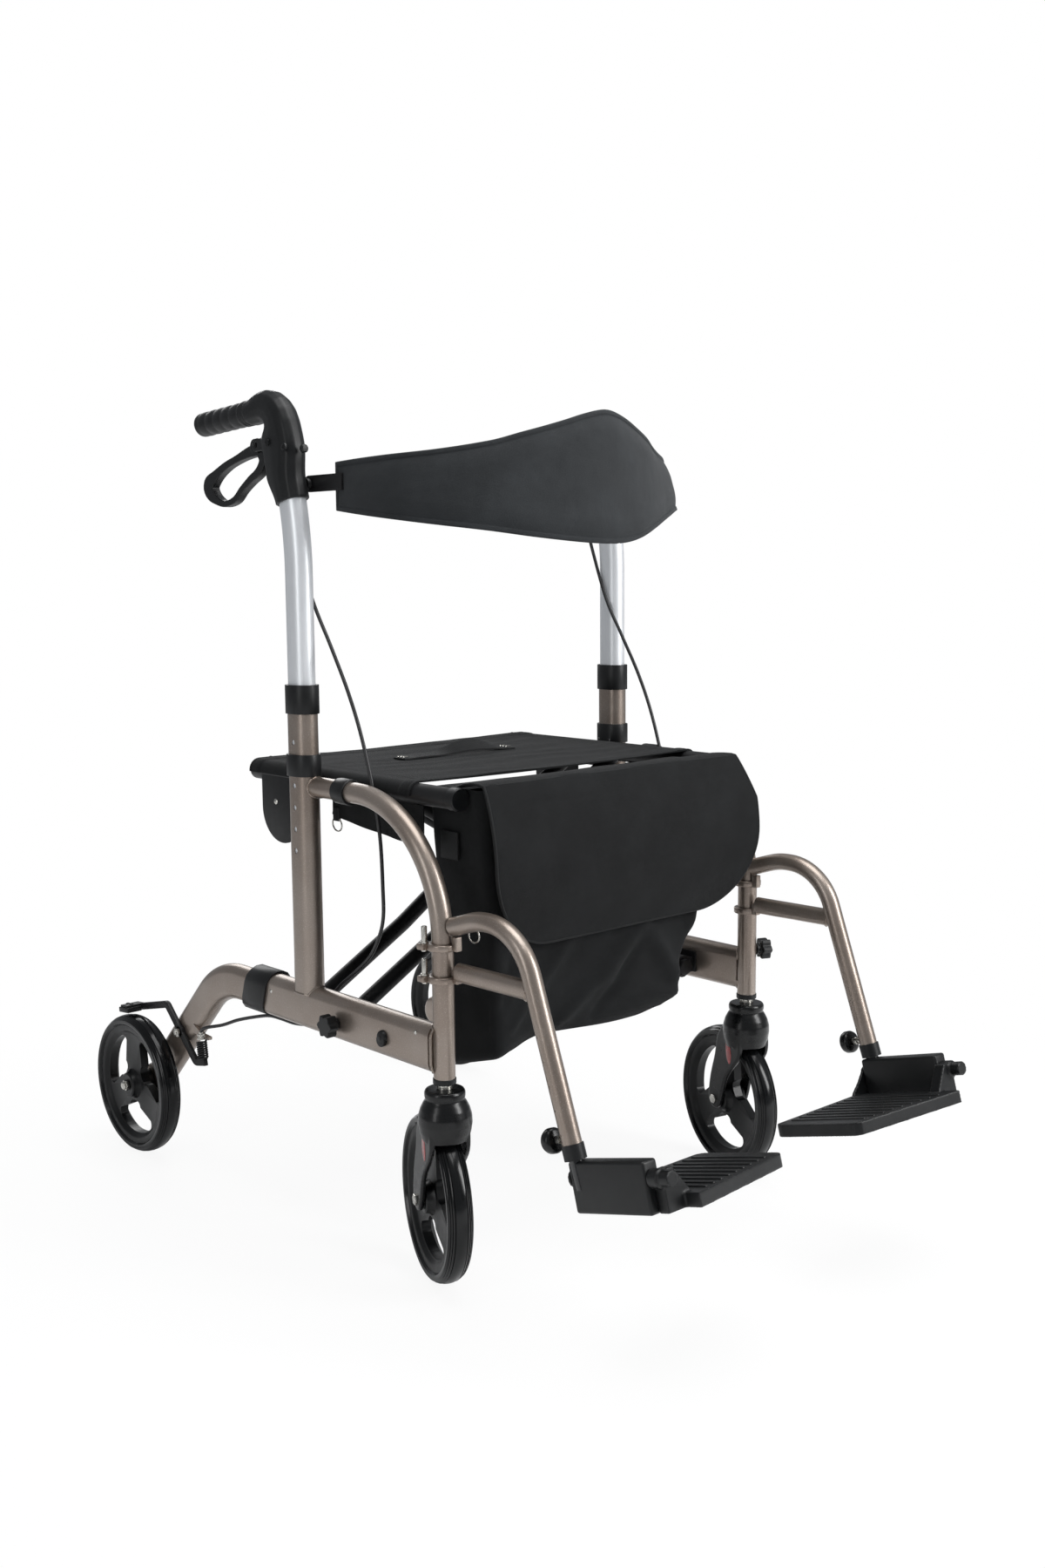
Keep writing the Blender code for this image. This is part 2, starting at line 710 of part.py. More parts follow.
# The brake arm: a bent flat bar with the pad over the tyre at one end and the spring's seat at the other
def brake_arm():
    outside = -LEG_X - LEG_WIDTH / 2 - SIDE_PLAY
    top, down = spring_line()
    seat = top + down * (SPRING_LENGTH + 2 * TOUCH)
    pad_y = REAR_AXLE_Y + 0.012
    tread = WHEEL_RADIUS / math.cos(math.pi / WHEEL_STEPS)
    pad_low = WHEEL_RADIUS + tread + PAD_GAP - 0.0005
    line = [
        (seat.y + 0.002, seat.z - 0.004),
        (ARM_PIVOT_Y, ARM_PIVOT_Z),
        (REAR_AXLE_Y - 0.076, ARM_PIVOT_Z + 0.028),
        (pad_y + PAD_LENGTH / 2, pad_low + PAD_THICKNESS + ARM_HALF_WIDTH - 0.001),
    ]
    bar = prism(arm_outline(line, ARM_HALF_WIDTH), "X", outside - ARM_THICKNESS, outside)
    pad = block(
        (-WHEEL_X - 0.011, pad_y - PAD_LENGTH / 2, pad_low),
        (outside - 0.001, pad_y + PAD_LENGTH / 2, pad_low + PAD_THICKNESS),
    )
    foot = block(
        (outside - ARM_THICKNESS - 0.002, seat.y - 0.0075, seat.z - 0.0045),
        (outside, seat.y + 0.0075, seat.z - 0.0005),
    )
    tilted(foot, math.atan2(down.y, -down.z), "X", seat)
    eye = rod("X", (ARM_PIVOT_Y, ARM_PIVOT_Z), AXLE_RADIUS + TURNING, outside - 0.02, outside + 0.01)
    boss = rod("X", (ARM_PIVOT_Y, ARM_PIVOT_Z), 0.0085, outside - ARM_THICKNESS, outside, 14)
    return fused([bar, boss, pad, foot], [eye])


# The return spring: one wire wound in open curls, its ends straight and square to their seats
def spring_points():
    top, down = spring_line()
    side = X_AXIS
    rise = down.cross(side)
    steps = 8
    points = []
    run = 2 * SPRING_WIRE
    wound = SPRING_LENGTH - 2 * run
    count = SPRING_CURLS * steps
    start = top + down * TOUCH
    for k in range(count + 1):
        angle = 2 * math.pi * k / steps
        centre = start + down * (run + wound * k / count)
        points.append(centre + (side * math.cos(angle) + rise * math.sin(angle)) * SPRING_RADIUS)
    points.insert(0, points[0] - down * run)
    points.append(points[-1] + down * run)
    return points


def least_gap(points, radius, apart):
    """The least distance between stretches of a tube at least so many points apart, less its diameter."""
    least = 1.0
    for i, first in enumerate(points):
        for second in points[i + apart :]:
            least = min(least, (first - second).length)
    return least - 2 * radius


def wire(name, points, radius, resolution, finish):
    """A tube with filled ends along points, as a curve."""
    curve = bpy.data.curves.new(name, "CURVE")
    curve.dimensions = "3D"
    curve.bevel_depth = radius
    curve.bevel_resolution = resolution
    curve.use_fill_caps = True
    curve.twist_mode = "MINIMUM"
    spline = curve.splines.new("POLY")
    spline.points.add(len(points) - 1)
    for slot_point, point in zip(spline.points, points):
        slot_point.co = (*point, 1)
    obj = show(name, curve)
    obj.parent = CHAIR
    return painted(obj, finish)


def smooth_route(points, count):
    """Evenly spaced points on a smooth curve through the given ones."""
    fine = []
    extended = [2 * points[0] - points[1]] + points + [2 * points[-1] - points[-2]]
    for p0, p1, p2, p3 in zip(extended, extended[1:], extended[2:], extended[3:]):
        for k in range(24):
            t = k / 24
            fine.append(
                0.5
                * (
                    2 * p1
                    + (p2 - p0) * t
                    + (2 * p0 - 5 * p1 + 4 * p2 - p3) * t**2
                    + (3 * p1 - p0 - 3 * p2 + p3) * t**3
                )
            )
    fine.append(points[-1])
    lengths = [0.0]
    for first, second in zip(fine, fine[1:]):
        lengths.append(lengths[-1] + (second - first).length)
    route, index = [], 0
    for k in range(count):
        target = lengths[-1] * k / (count - 1)
        while index < len(lengths) - 2 and lengths[index + 1] < target:
            index += 1
        share = (target - lengths[index]) / (lengths[index + 1] - lengths[index])
        route.append(fine[index].lerp(fine[index + 1], min(share, 1)))
    return route, lengths[-1]


def cable_route():
    """From the handle down inside the side frame, under the rail and out to the stop on the leg."""
    top, down = spring_line()
    end = top - down * (0.016 + TOUCH)
    start = cable_exit() - Z_AXIS * TOUCH
    hung = []
    for inward, behind, above in CABLE_COURSE:
        hung.append(Vector((-FRAME_X + inward, UPRIGHT_Y + behind, RAIL_Z + above)))
    return [
        start,
        start - Z_AXIS * CABLE_END,
        *hung,
        end - down * 0.030 + Vector((0.0050, -0.014, 0.003)),
        end - down * CABLE_END,
        end,
    ]


# Wheels, modelled about their own centre with the axle along X
def tyre():
    outer = WHEEL_RADIUS / math.cos(math.pi / WHEEL_STEPS)
    inner = WHEEL_RADIUS - TYRE_DEPTH
    half = TYRE_WIDTH / 2
    profile = [
        (inner, -RIM_WIDTH / 2),
        (inner, RIM_WIDTH / 2),
        (outer - TREAD_SHOULDER, half),
        (outer, TREAD_WIDTH / 2),
        (outer, -TREAD_WIDTH / 2),
        (outer - TREAD_SHOULDER, -half),
    ]
    return turned(profile, WHEEL_STEPS, "X")


def rim():
    outer = WHEEL_RADIUS - TYRE_DEPTH - TOUCH
    inner = outer - RIM_DEPTH
    half = RIM_WIDTH / 2
    ring = turned(
        [(inner, -half + 0.004), (inner, half - 0.004), (outer, half), (outer, -half)], WHEEL_STEPS, "X"
    )
    hub = rod("X", (0, 0), HUB_RADIUS, -HUB_WIDTH / 2, HUB_WIDTH / 2, 14)
    spokes = []
    for k in range(SPOKES):
        spoke = block(
            (-SPOKE_THICKNESS / 2, -SPOKE_WIDTH / 2, HUB_RADIUS / 2),
            (SPOKE_THICKNESS / 2, SPOKE_WIDTH / 2, (inner + outer) / 2),
        )
        spokes.append(tilted(spoke, 2 * math.pi * k / SPOKES, "X", (0, 0, 0)))
    bore = rod("X", (0, 0), AXLE_RADIUS + TURNING, -HUB_WIDTH, HUB_WIDTH)
    return fused([ring, hub] + spokes, [bore])


# The caster fork, modelled about the swivel axis with the wheel behind it, on its stem, with its axle
def caster_fork():
    inside = TYRE_WIDTH / 2 + FORK_CLEARANCE
    stem = rod("Z", (0, 0), STEM_RADIUS, FORK_TOP - 0.010, POST_BOTTOM + STEM_LENGTH)
    race = rod("Z", (0, 0), RACE_RADIUS, FORK_TOP - 0.003, POST_BOTTOM - TOUCH, 16)
    shoulder = FORK_TOP - 0.010
    head = turned(
        [(0, FORK_BRIDGE), (FORK_HEAD_RADIUS + 0.004, FORK_BRIDGE), (FORK_HEAD_RADIUS, shoulder),
         (FORK_HEAD_RADIUS - 0.003, FORK_TOP), (0, FORK_TOP)],
        18,
        "Z",
    )
    outline = [
        (-FORK_HEAD_RADIUS + 0.001, shoulder - 0.004),
        (-FORK_HEAD_RADIUS - 0.002, FORK_BRIDGE - 0.006),
        (-0.016, 0.170),
        (CASTER_TRAIL - 0.026, 0.138),
        (CASTER_TRAIL - 0.015, 0.103),
        (CASTER_TRAIL - 0.008, 0.088),
        (CASTER_TRAIL + 0.008, 0.088),
        (CASTER_TRAIL + 0.015, 0.102),
        (CASTER_TRAIL + 0.010, 0.130),
        (0.040, 0.165),
        (0.036, FORK_BRIDGE - 0.012),
        (0.022, shoulder - 0.004),
    ]
    blades = [
        prism(outline, "X", -inside - FORK_BLADE, -inside),
        prism(outline, "X", inside, inside + FORK_BLADE),
    ]
    bridge = block(
        (-inside - 0.002, -FORK_HEAD_RADIUS, FORK_BRIDGE),
        (inside + 0.002, FORK_HEAD_RADIUS + 0.001, FORK_TOP - 0.012),
    )
    outside = inside + FORK_BLADE
    axle = rod("X", (CASTER_TRAIL, WHEEL_RADIUS), AXLE_RADIUS, -outside, outside)
    hub = (CASTER_TRAIL, WHEEL_RADIUS)
    nuts = [
        rod("X", hub, NUT_RADIUS, face - NUT_THICKNESS, face + NUT_THICKNESS, 8)
        for face in (-outside, outside)
    ]
    room = rod("X", (CASTER_TRAIL, WHEEL_RADIUS), WHEEL_RADIUS + 0.004, -inside, inside, 24)
    shell = fused([head, bridge] + blades, [room])
    return fused([shell, race, stem, axle] + nuts)


# Cross brackets: a plate on the rail's inner face with two ears, bolted through the rail
def brace_bracket(bolted):
    face = -RAIL_X + RAIL_WIDTH / 2 + TOUCH
    outside = -RAIL_X - RAIL_WIDTH / 2 - TOUCH
    plate = block(
        (face, FRONT_BRACKET_Y - 0.012, RAIL_Z - 0.016),
        (face + BRACKET_PLATE, REAR_BRACKET_Y + 0.012, RAIL_Z + 0.013),
    )
    adds = [plate]
    for y in (FRONT_BRACKET_Y, REAR_BRACKET_Y):
        ear_radius = HINGE_TUBE_RADIUS + TURNING + EAR_WALL
        low, high = y - EAR_THICKNESS / 2, y + EAR_THICKNESS / 2
        adds.append(rod("Y", (-LINK_X, HINGE_Z), ear_radius, low, high, 20))
        adds.append(block((face + 0.001, low, HINGE_Z - 0.0105), (-LINK_X, high, HINGE_Z + 0.0105)))
    for y in bolted:
        adds.append(bolt_hole(y, outside - 0.001, face + 0.001, BOLT_RADIUS))
        adds.append(bolt_hole(y, outside - BOLT_CAP_THICKNESS, outside, BOLT_CAP_RADIUS, 14))
    tube = rod(
        "Y",
        (-LINK_X, HINGE_Z),
        HINGE_TUBE_RADIUS + TURNING,
        FRONT_BRACKET_Y - 0.03,
        REAR_BRACKET_Y + 0.03,
        16,
    )
    return fused(adds, [tube])


def lobed(radius, lobe, lobes, centre=(0, 0)):
    steps = 4 * lobes
    points = []
    for k in range(steps):
        angle = 2 * math.pi * k / steps
        reach = radius + lobe * math.cos(lobes * angle)
        points.append((centre[0] + reach * math.cos(angle), centre[1] + reach * math.sin(angle)))
    return points


def star_knob(centre, seat, shank):
    """A star knob outside the plane x = seat, facing -X, with a threaded shank reaching in by shank."""
    neck = rod("X", centre, KNOB_RADIUS * 0.6, seat - KNOB_NECK - 0.001, seat, 12)
    star = lobed(KNOB_RADIUS, KNOB_LOBE, KNOB_LOBES, centre)
    grip = prism(star, "X", seat - KNOB_NECK - KNOB_THICKNESS, seat - KNOB_NECK)
    screw = rod("X", centre, BOLT_RADIUS, seat - 0.001, seat + shank)
    return fused([grip, neck, screw])


PIVOT_Z = (HINGE_Z + SEAT_TUBE_Z) / 2


def cross_bar(y, low_side):
    """A slanting bar from the hinge tube on one side to the seat tube on the other."""
    low = Vector((low_side * LINK_X, y, HINGE_Z))
    high = Vector((-low_side * LINK_X, y, SEAT_TUBE_Z))
    return swept([low, high], circle(BAR_RADIUS, 12, turn=math.pi / 12), Y_AXIS)


def guide_plate(side):
    """A half-round plate hanging from the seat tube's outer side near its back end."""
    x = side * (LINK_X + SEAT_TUBE_RADIUS - 0.002)
    outline = [(GUIDE_Y - GUIDE_RADIUS, SEAT_TUBE_Z), (GUIDE_Y + GUIDE_RADIUS, SEAT_TUBE_Z)]
    steps = 8
    for k in range(steps + 1):
        angle = -math.pi * k / steps
        outline.append(
            (GUIDE_Y + GUIDE_RADIUS * math.cos(angle), SEAT_TUBE_Z - 0.045 + GUIDE_RADIUS * math.sin(angle))
        )
    inner = x - side * GUIDE_THICKNESS
    return prism(outline, "X", min(x, inner), max(x, inner))


def seat_tube(side):
    x = side * LINK_X
    centre = (x, SEAT_TUBE_Z)
    tube = rod("Y", centre, SEAT_TUBE_RADIUS, SEAT_TUBE_FRONT + 0.010, SEAT_TUBE_REAR, 16)
    cap_radius = SEAT_TUBE_RADIUS + SEAT_CAP_WALL
    cap = rod("Y", centre, cap_radius, SEAT_TUBE_FRONT, SEAT_TUBE_FRONT + 0.012, 16)
    return [tube, cap]


# Half of the cross that hangs on the left rail and lifts the right seat tube, with the centre pin
def cross_brace_a():
    bars = [cross_bar(y, -1) for y in (REAR_BRACKET_Y + 0.028, REAR_BRACKET_Y + 0.108)]
    hinge = rod(
        "Y", (-LINK_X, HINGE_Z), HINGE_TUBE_RADIUS, FRONT_BRACKET_Y - 0.013, REAR_BRACKET_Y + 0.123, 16
    )
    pin = rod("Y", (0, PIVOT_Z), PIVOT_PIN_RADIUS, FRONT_BRACKET_Y + 0.006, REAR_BRACKET_Y + 0.028, 12)
    spacer = rod("Y", (0, PIVOT_Z), PIVOT_SLEEVE_RADIUS, REAR_BRACKET_Y - 0.018, REAR_BRACKET_Y + 0.108, 12)
    return fused([hinge, pin, spacer] + bars + seat_tube(1) + [guide_plate(1)])


# The other half, whose centre sleeve turns on the pin
def cross_brace_b():
    bars = [cross_bar(y, 1) for y in (FRONT_BRACKET_Y + 0.023, FRONT_BRACKET_Y + 0.057)]
    hinge = rod(
        "Y", (LINK_X, HINGE_Z), HINGE_TUBE_RADIUS, FRONT_BRACKET_Y - 0.013, REAR_BRACKET_Y + 0.013, 16
    )
    sleeve_end = REAR_BRACKET_Y - 0.018 - TURNING
    sleeve = rod("Y", (0, PIVOT_Z), PIVOT_SLEEVE_RADIUS, FRONT_BRACKET_Y + 0.008, sleeve_end, 16)
    bore = rod("Y", (0, PIVOT_Z), PIVOT_PIN_RADIUS + TURNING, FRONT_BRACKET_Y - 0.02, REAR_BRACKET_Y, 12)
    return fused([hinge, sleeve] + bars + seat_tube(-1) + [guide_plate(-1)], [bore])


# The seat tubes rest in a saddle on each upright and on a clip on each arch, both open upwards
def seat_saddle():
    low = ARCH_Z + POST_RADIUS + TOUCH
    band = prism(upright_outline(SADDLE_WALL), "Z", low, low + SADDLE_HEIGHT)
    bore = prism(upright_outline(TOUCH), "Z", low - 0.06, low + 0.06)
    rest_top = SEAT_TUBE_Z - SEAT_TUBE_RADIUS - TOUCH
    inside = -UPRIGHT_X + UPRIGHT_WIDTH / 2 + TOUCH
    plate = block(
        (inside, UPRIGHT_Y - SADDLE_WIDTH / 2, rest_top - REST_THICKNESS),
        (inside + SADDLE_WALL - TOUCH, UPRIGHT_Y + SADDLE_WIDTH / 2, low + 0.006),
    )
    rest = block(
        (inside, UPRIGHT_Y - SADDLE_WIDTH / 2, rest_top - REST_THICKNESS),
        (-LINK_X + SEAT_TUBE_RADIUS, UPRIGHT_Y + SADDLE_WIDTH / 2, rest_top),
    )
    return fused([band, plate, rest], [bore])


def seat_clip():
    middle = UPRIGHT_Y - 0.081
    low, high = middle - CLIP_WIDTH / 2, middle + CLIP_WIDTH / 2
    rest_top = SEAT_TUBE_Z - SEAT_TUBE_RADIUS - TOUCH
    ring = rod("Y", (-FRAME_X, ARCH_Z), POST_RADIUS + CLIP_WALL, low, high, 20)
    rest_end = -LINK_X + SEAT_TUBE_RADIUS * 0.6
    rest = block((-FRAME_X, low, rest_top - REST_THICKNESS), (rest_end, high, rest_top))
    bore = rod("Y", (-FRAME_X, ARCH_Z), POST_RADIUS + TOUCH, low - 0.02, high + 0.02, 16)
    return fused([ring, rest], [bore])


# The collar at the top of the upright closes in on the handle tube
def upright_collar():
    low = UPRIGHT_TOP + COLLAR_LIP - COLLAR_HEIGHT
    high = UPRIGHT_TOP + COLLAR_LIP
    body = prism(upright_outline(COLLAR_WALL), "Z", low, high)
    wide = prism(upright_outline(TOUCH), "Z", low - 0.01, UPRIGHT_TOP + TOUCH)
    narrow = prism(
        slot(HANDLE_WIDTH + 2 * SLIDING, HANDLE_DEPTH + 2 * SLIDING, 7, (-UPRIGHT_X, UPRIGHT_Y)),
        "Z",
        UPRIGHT_TOP - 0.001,
        high + 0.01,
    )
    return fused([body], [wide, narrow])


def handle_curve(above, steps=4):
    """Centre points of the handle tube from its bend up to a length above it."""
    points = []
    for k in range(steps + 1):
        angle = above * k / steps / HANDLE_BEND_RADIUS
        points.append(
            Vector(
                (
                    -UPRIGHT_X,
                    UPRIGHT_Y + HANDLE_BEND_RADIUS * (1 - math.cos(angle)),
                    HANDLE_BEND_Z + HANDLE_BEND_RADIUS * math.sin(angle),
                )
            )
        )
    return points


def handle_tube():
    path = [Vector((-UPRIGHT_X, UPRIGHT_Y, HANDLE_FOOT))] + handle_curve(HANDLE_CURVED)
    return swept(path, handle_section())


def housing_corner():
    lean = HOUSING_FOOT - HANDLE_BEND_Z
    foot = handle_curve(lean)[-1]
    lean_angle = lean / HANDLE_BEND_RADIUS + math.radians(3)
    rise = GRIP_HEIGHT - foot.z
    return foot, Vector((-UPRIGHT_X, foot.y + rise * math.tan(lean_angle), GRIP_HEIGHT))


def grip_direction():
    return Vector((0, math.cos(GRIP_DROP), -math.sin(GRIP_DROP)))


def cable_exit():
    return Vector((-UPRIGHT_X + 0.010, HOUSING_Y + 0.0335, HOUSING_FOOT - 0.004))


# The handle housing: an elbow over the tube's top, with cheeks for the lever and the cable's adjuster
def handle_housing():
    foot, corner = housing_corner()
    grip_end = corner + grip_direction() * (GRIP_START - corner.y) / math.cos(GRIP_DROP)
    path = bent([foot, corner, grip_end], 0.034, 5)
    steps = len(path)
    section = slot(2 * HOUSING_HALF_WIDTH, 2 * HOUSING_HALF_DEPTH, 6)
    grip_size = (GRIP_RADIUS + 0.001) / HOUSING_HALF_DEPTH
    lengths = [0.0]
    for first, second in zip(path, path[1:]):
        lengths.append(lengths[-1] + (second - first).length)
    rings = []
    for index, point in enumerate(path):
        share = lengths[index] / lengths[-1]
        along = (path[min(index + 1, steps - 1)] - path[max(index - 1, 0)]).normalized()
        rise = along.cross(X_AXIS)
        depth = 1 + (grip_size - 1) * share**1.5
        width = 1 - 0.08 * share
        rings.append([point + X_AXIS * u * width + rise * v * depth for u, v in section])
    elbow = lofted(rings)
    cheek_half = LEVER_THICKNESS / 2 + SIDE_PLAY + CHEEK
    pivot = (LEVER_PIVOT_Y, LEVER_PIVOT_Z)
    cheeks = rod("X", pivot, CHEEK_RADIUS, -UPRIGHT_X - cheek_half, -UPRIGHT_X + cheek_half, 16)
    root = block(
        (-UPRIGHT_X - cheek_half, LEVER_PIVOT_Y - 0.024, LEVER_PIVOT_Z - CHEEK_RADIUS * 0.9),
        (-UPRIGHT_X + cheek_half, LEVER_PIVOT_Y, LEVER_PIVOT_Z + CHEEK_RADIUS * 0.9),
    )
    slot_half = LEVER_THICKNESS / 2 + SIDE_PLAY
    room = rod("X", pivot, LEVER_EYE + 0.0035, -UPRIGHT_X - slot_half, -UPRIGHT_X + slot_half, 16)
    pin_bore = rod("X", pivot, LEVER_PIN_RADIUS + TURNING, -UPRIGHT_X - 0.03, -UPRIGHT_X + 0.03)
    bore_path = handle_curve(HANDLE_CURVED)
    tip = bore_path[-1] + (bore_path[-1] - bore_path[-2]).normalized() * 0.0006
    bore = swept(bore_path + [tip], handle_section(TOUCH))
    exit_point = cable_exit()
    adjuster = rod("Z", (exit_point.x, exit_point.y), 0.0042, exit_point.z, exit_point.z + 0.028, 10)
    lug = block(
        (exit_point.x - 0.005, HOUSING_Y + 0.005, exit_point.z + 0.010),
        (exit_point.x + 0.005, exit_point.y + 0.005, exit_point.z + 0.020),
    )
    return fused([elbow, cheeks, root, lug, adjuster], [bore, room, pin_bore])


# The hand grip, with ridges for the fingers and two rings by the elbow
def hand_grip():
    _, corner = housing_corner()
    start = corner + grip_direction() * ((GRIP_START - corner.y) / math.cos(GRIP_DROP) + TOUCH)
    profile = [(0, 0), (GRIP_RADIUS + 0.0004, 0), (GRIP_RADIUS + 0.0004, 0.016), (GRIP_RADIUS, 0.0175)]
    ribbed = GRIP_LENGTH - 0.024
    for k in range(GRIP_RIDGES):
        low = 0.0195 + ribbed * k / GRIP_RIDGES
        profile.append((GRIP_RADIUS - 0.0014, low))
        profile.append((GRIP_RADIUS, low + ribbed / GRIP_RIDGES / 2))
    profile += [(GRIP_RADIUS - 0.002, GRIP_LENGTH - 0.001), (0, GRIP_LENGTH)]
    grip = turned(profile, 12, "Z")
    turn = grip_direction().to_track_quat("Z", "Y").to_matrix().to_4x4()
    return moved(grip, Matrix.Translation(start) @ turn)


# The brake lever: a closed finger loop under the grip, on its pivot pin
def brake_lever():
    y, z = LEVER_PIVOT_Y, LEVER_PIVOT_Z
    outer = [
        (y + 0.006, z + 0.0080),
        (y + 0.030, z - 0.0010),
        (y + 0.074, z - 0.0075),
        (y + 0.104, z - 0.0200),
        (y + 0.120, z - 0.0255),
        (y + 0.150, z - 0.0280),
        (y + 0.1515, z - 0.0400),
        (y + 0.140, z - 0.0570),
        (y + 0.112, z - 0.0685),
        (y + 0.083, z - 0.0705),
        (y + 0.062, z - 0.0660),
        (y + 0.026, z - 0.0500),
        (y + 0.0085, z - 0.0370),
        (y + 0.0040, z - 0.0240),
        (y - 0.002, z - 0.0090),
    ]
    inner = [
        (y + 0.023, z - 0.0140),
        (y + 0.056, z - 0.0180),
        (y + 0.097, z - 0.0280),
        (y + 0.119, z - 0.0400),
        (y + 0.123, z - 0.0520),
        (y + 0.110, z - 0.0600),
        (y + 0.083, z - 0.0600),
        (y + 0.040, z - 0.0430),
        (y + 0.018, z - 0.0270),
    ]
    low, high = -UPRIGHT_X - LEVER_THICKNESS / 2, -UPRIGHT_X + LEVER_THICKNESS / 2
    body = prism(outer, "X", low, high)
    eye = rod("X", (y, z), LEVER_EYE, low, high, 14)
    pin_reach = LEVER_THICKNESS / 2 + SIDE_PLAY + CHEEK
    pin = rod("X", (y, z), LEVER_PIN_RADIUS, -UPRIGHT_X - pin_reach, -UPRIGHT_X + pin_reach, 10)
    hole = prism(inner, "X", low - 0.01, high + 0.01)
    return fused([body, eye, pin], [hole])


# Flat bar brackets hold the backrest's ends on pins at the inner side of the housings
def backrest_bracket():
    pin_y = BACKREST_PIVOT_Y
    low, high = -BRACKET_X - BRACKET_THICKNESS / 2, -BRACKET_X + BRACKET_THICKNESS / 2
    bar = block(
        (low, BACKREST_END_Y - 0.018, BACKREST_PIVOT_Z - BRACKET_HEIGHT / 2),
        (high, pin_y, BACKREST_PIVOT_Z + BRACKET_HEIGHT / 2),
    )
    eye = rod("X", (pin_y, BACKREST_PIVOT_Z), BRACKET_HEIGHT / 2, low, high, 16)
    face = -UPRIGHT_X + HOUSING_HALF_WIDTH + TOUCH
    spacer = rod("X", (pin_y, BACKREST_PIVOT_Z), BRACKET_HEIGHT * 0.35, face, low + 0.001, 14)
    head = rod("X", (pin_y, BACKREST_PIVOT_Z), BACKREST_PIN_RADIUS * 1.6, high - 0.001, high + 0.003, 8)
    return fused([bar, eye, spacer, head])


def read_off(table, share):
    """The height at a share along the band, between the two nearest rows of the table."""
    for (before, low), (after, high) in zip(table, table[1:]):
        if share <= after:
            return low + (high - low) * (share - before) / (after - before)
    return table[-1][1]


# The padded backrest band, bowed forward between the brackets and tallest in the middle
def backrest():
    stations = 20
    half_span = BRACKET_X - BRACKET_THICKNESS / 2
    rings = []
    for k in range(stations + 1):
        angle = -math.pi / 2 + math.pi * k / stations
        x = half_span * math.sin(angle)
        y = BACKREST_END_Y - BACKREST_DEPTH * math.cos(angle)
        outward = Vector((math.sin(angle) / half_span, -math.cos(angle) / BACKREST_DEPTH, 0)).normalized()
        middle = math.cos(angle)
        high = BACKREST_PIVOT_Z + read_off(BACKREST_TOP, k / stations)
        low = BACKREST_PIVOT_Z + read_off(BACKREST_BOTTOM, k / stations)
        edge = 0.0035
        thick = BACKREST_THICKNESS / 2
        swell = thick * (0.75 + 0.25 * middle)
        centre = Vector((x, y, 0))
        if k in (0, stations):
            outward = Vector((math.copysign(1, x), 0, 0))
        section = [
            (-thick * 0.35, low),
            (thick * 0.35, low),
            (thick * 0.80, low + edge),
            (swell, (low + high) / 2),
            (thick * 0.80, high - edge),
            (thick * 0.35, high),
            (-thick * 0.35, high),
            (-thick * 0.80, high - edge),
            (-swell, (low + high) / 2),
            (-thick * 0.80, low + edge),
        ]
        inset = outward * (BACKREST_THICKNESS / 2 - BRACKET_THICKNESS)
        lean = BACKREST_LEAN * middle / (high - low)
        rings.append(
            [centre - inset + outward * (u - lean * (v - low)) + Z_AXIS * v for u, v in section]
        )
    band = lofted(rings)
    pockets = [
        block(
            (side * BRACKET_X - BRACKET_THICKNESS / 2 - TOUCH, BACKREST_END_Y - 0.018 - TOUCH,
             BACKREST_PIVOT_Z - BRACKET_HEIGHT / 2 - TOUCH),
            (side * BRACKET_X + BRACKET_THICKNESS / 2 + TOUCH, BACKREST_END_Y + 0.02,
             BACKREST_PIVOT_Z + BRACKET_HEIGHT / 2 + TOUCH),
        )
        for side in (-1, 1)
    ]
    return fused([band], pockets)


# The seat: cloth stretched over the two tubes, with a lift strap sewn across it
def seat_sling():
    flat, round_steps, rows = 10, 5, 7
    wrap = (SEAT_TUBE_RADIUS + TOUCH) / math.cos(math.pi / 4 / round_steps)
    places = [-1 + 0.2 * k / round_steps for k in range(round_steps)]
    places += [-0.8 + 1.6 * k / flat for k in range(flat + 1)]
    places += [0.8 + 0.2 * (k + 1) / round_steps for k in range(round_steps)]
    rings = []
    for row in range(rows + 1):
        share = row / rows
        y = SEAT_FRONT + (SEAT_REAR - SEAT_FRONT) * share
        sag = SEAT_SAG * (0.55 + 0.45 * math.sin(math.pi * share))
        lower, upper = [], []
        for across in places:
            x, z, outward = seat_profile(across, wrap, sag)
            wave = 0.0012 * math.sin(7 * math.pi * share) * max(0.0, 1 - abs(across) * 1.3)
            lower.append(Vector((x, y, z + wave)))
            upper.append(Vector((x, y, z + wave)) + outward * SEAT_THICKNESS)
        rings.append(upper + lower[::-1])
    sling = lofted(rings)
    return fused([sling] + lift_strap())


def seat_profile(across, wrap, sag):
    """A point on the underside of the seat cloth, from the left edge (-1) to the right one (1)."""
    side = math.copysign(1, across)
    reach = abs(across)
    if reach > 0.8001:
        angle = math.radians(90) * (reach - 0.80) / 0.20
        outward = Vector((side * math.sin(angle), 0, math.cos(angle)))
        return side * LINK_X + outward.x * wrap, SEAT_TUBE_Z + outward.z * wrap, outward
    share = reach / 0.80
    return side * LINK_X * share, SEAT_TUBE_Z + wrap - sag * (1 - share**2), Z_AXIS


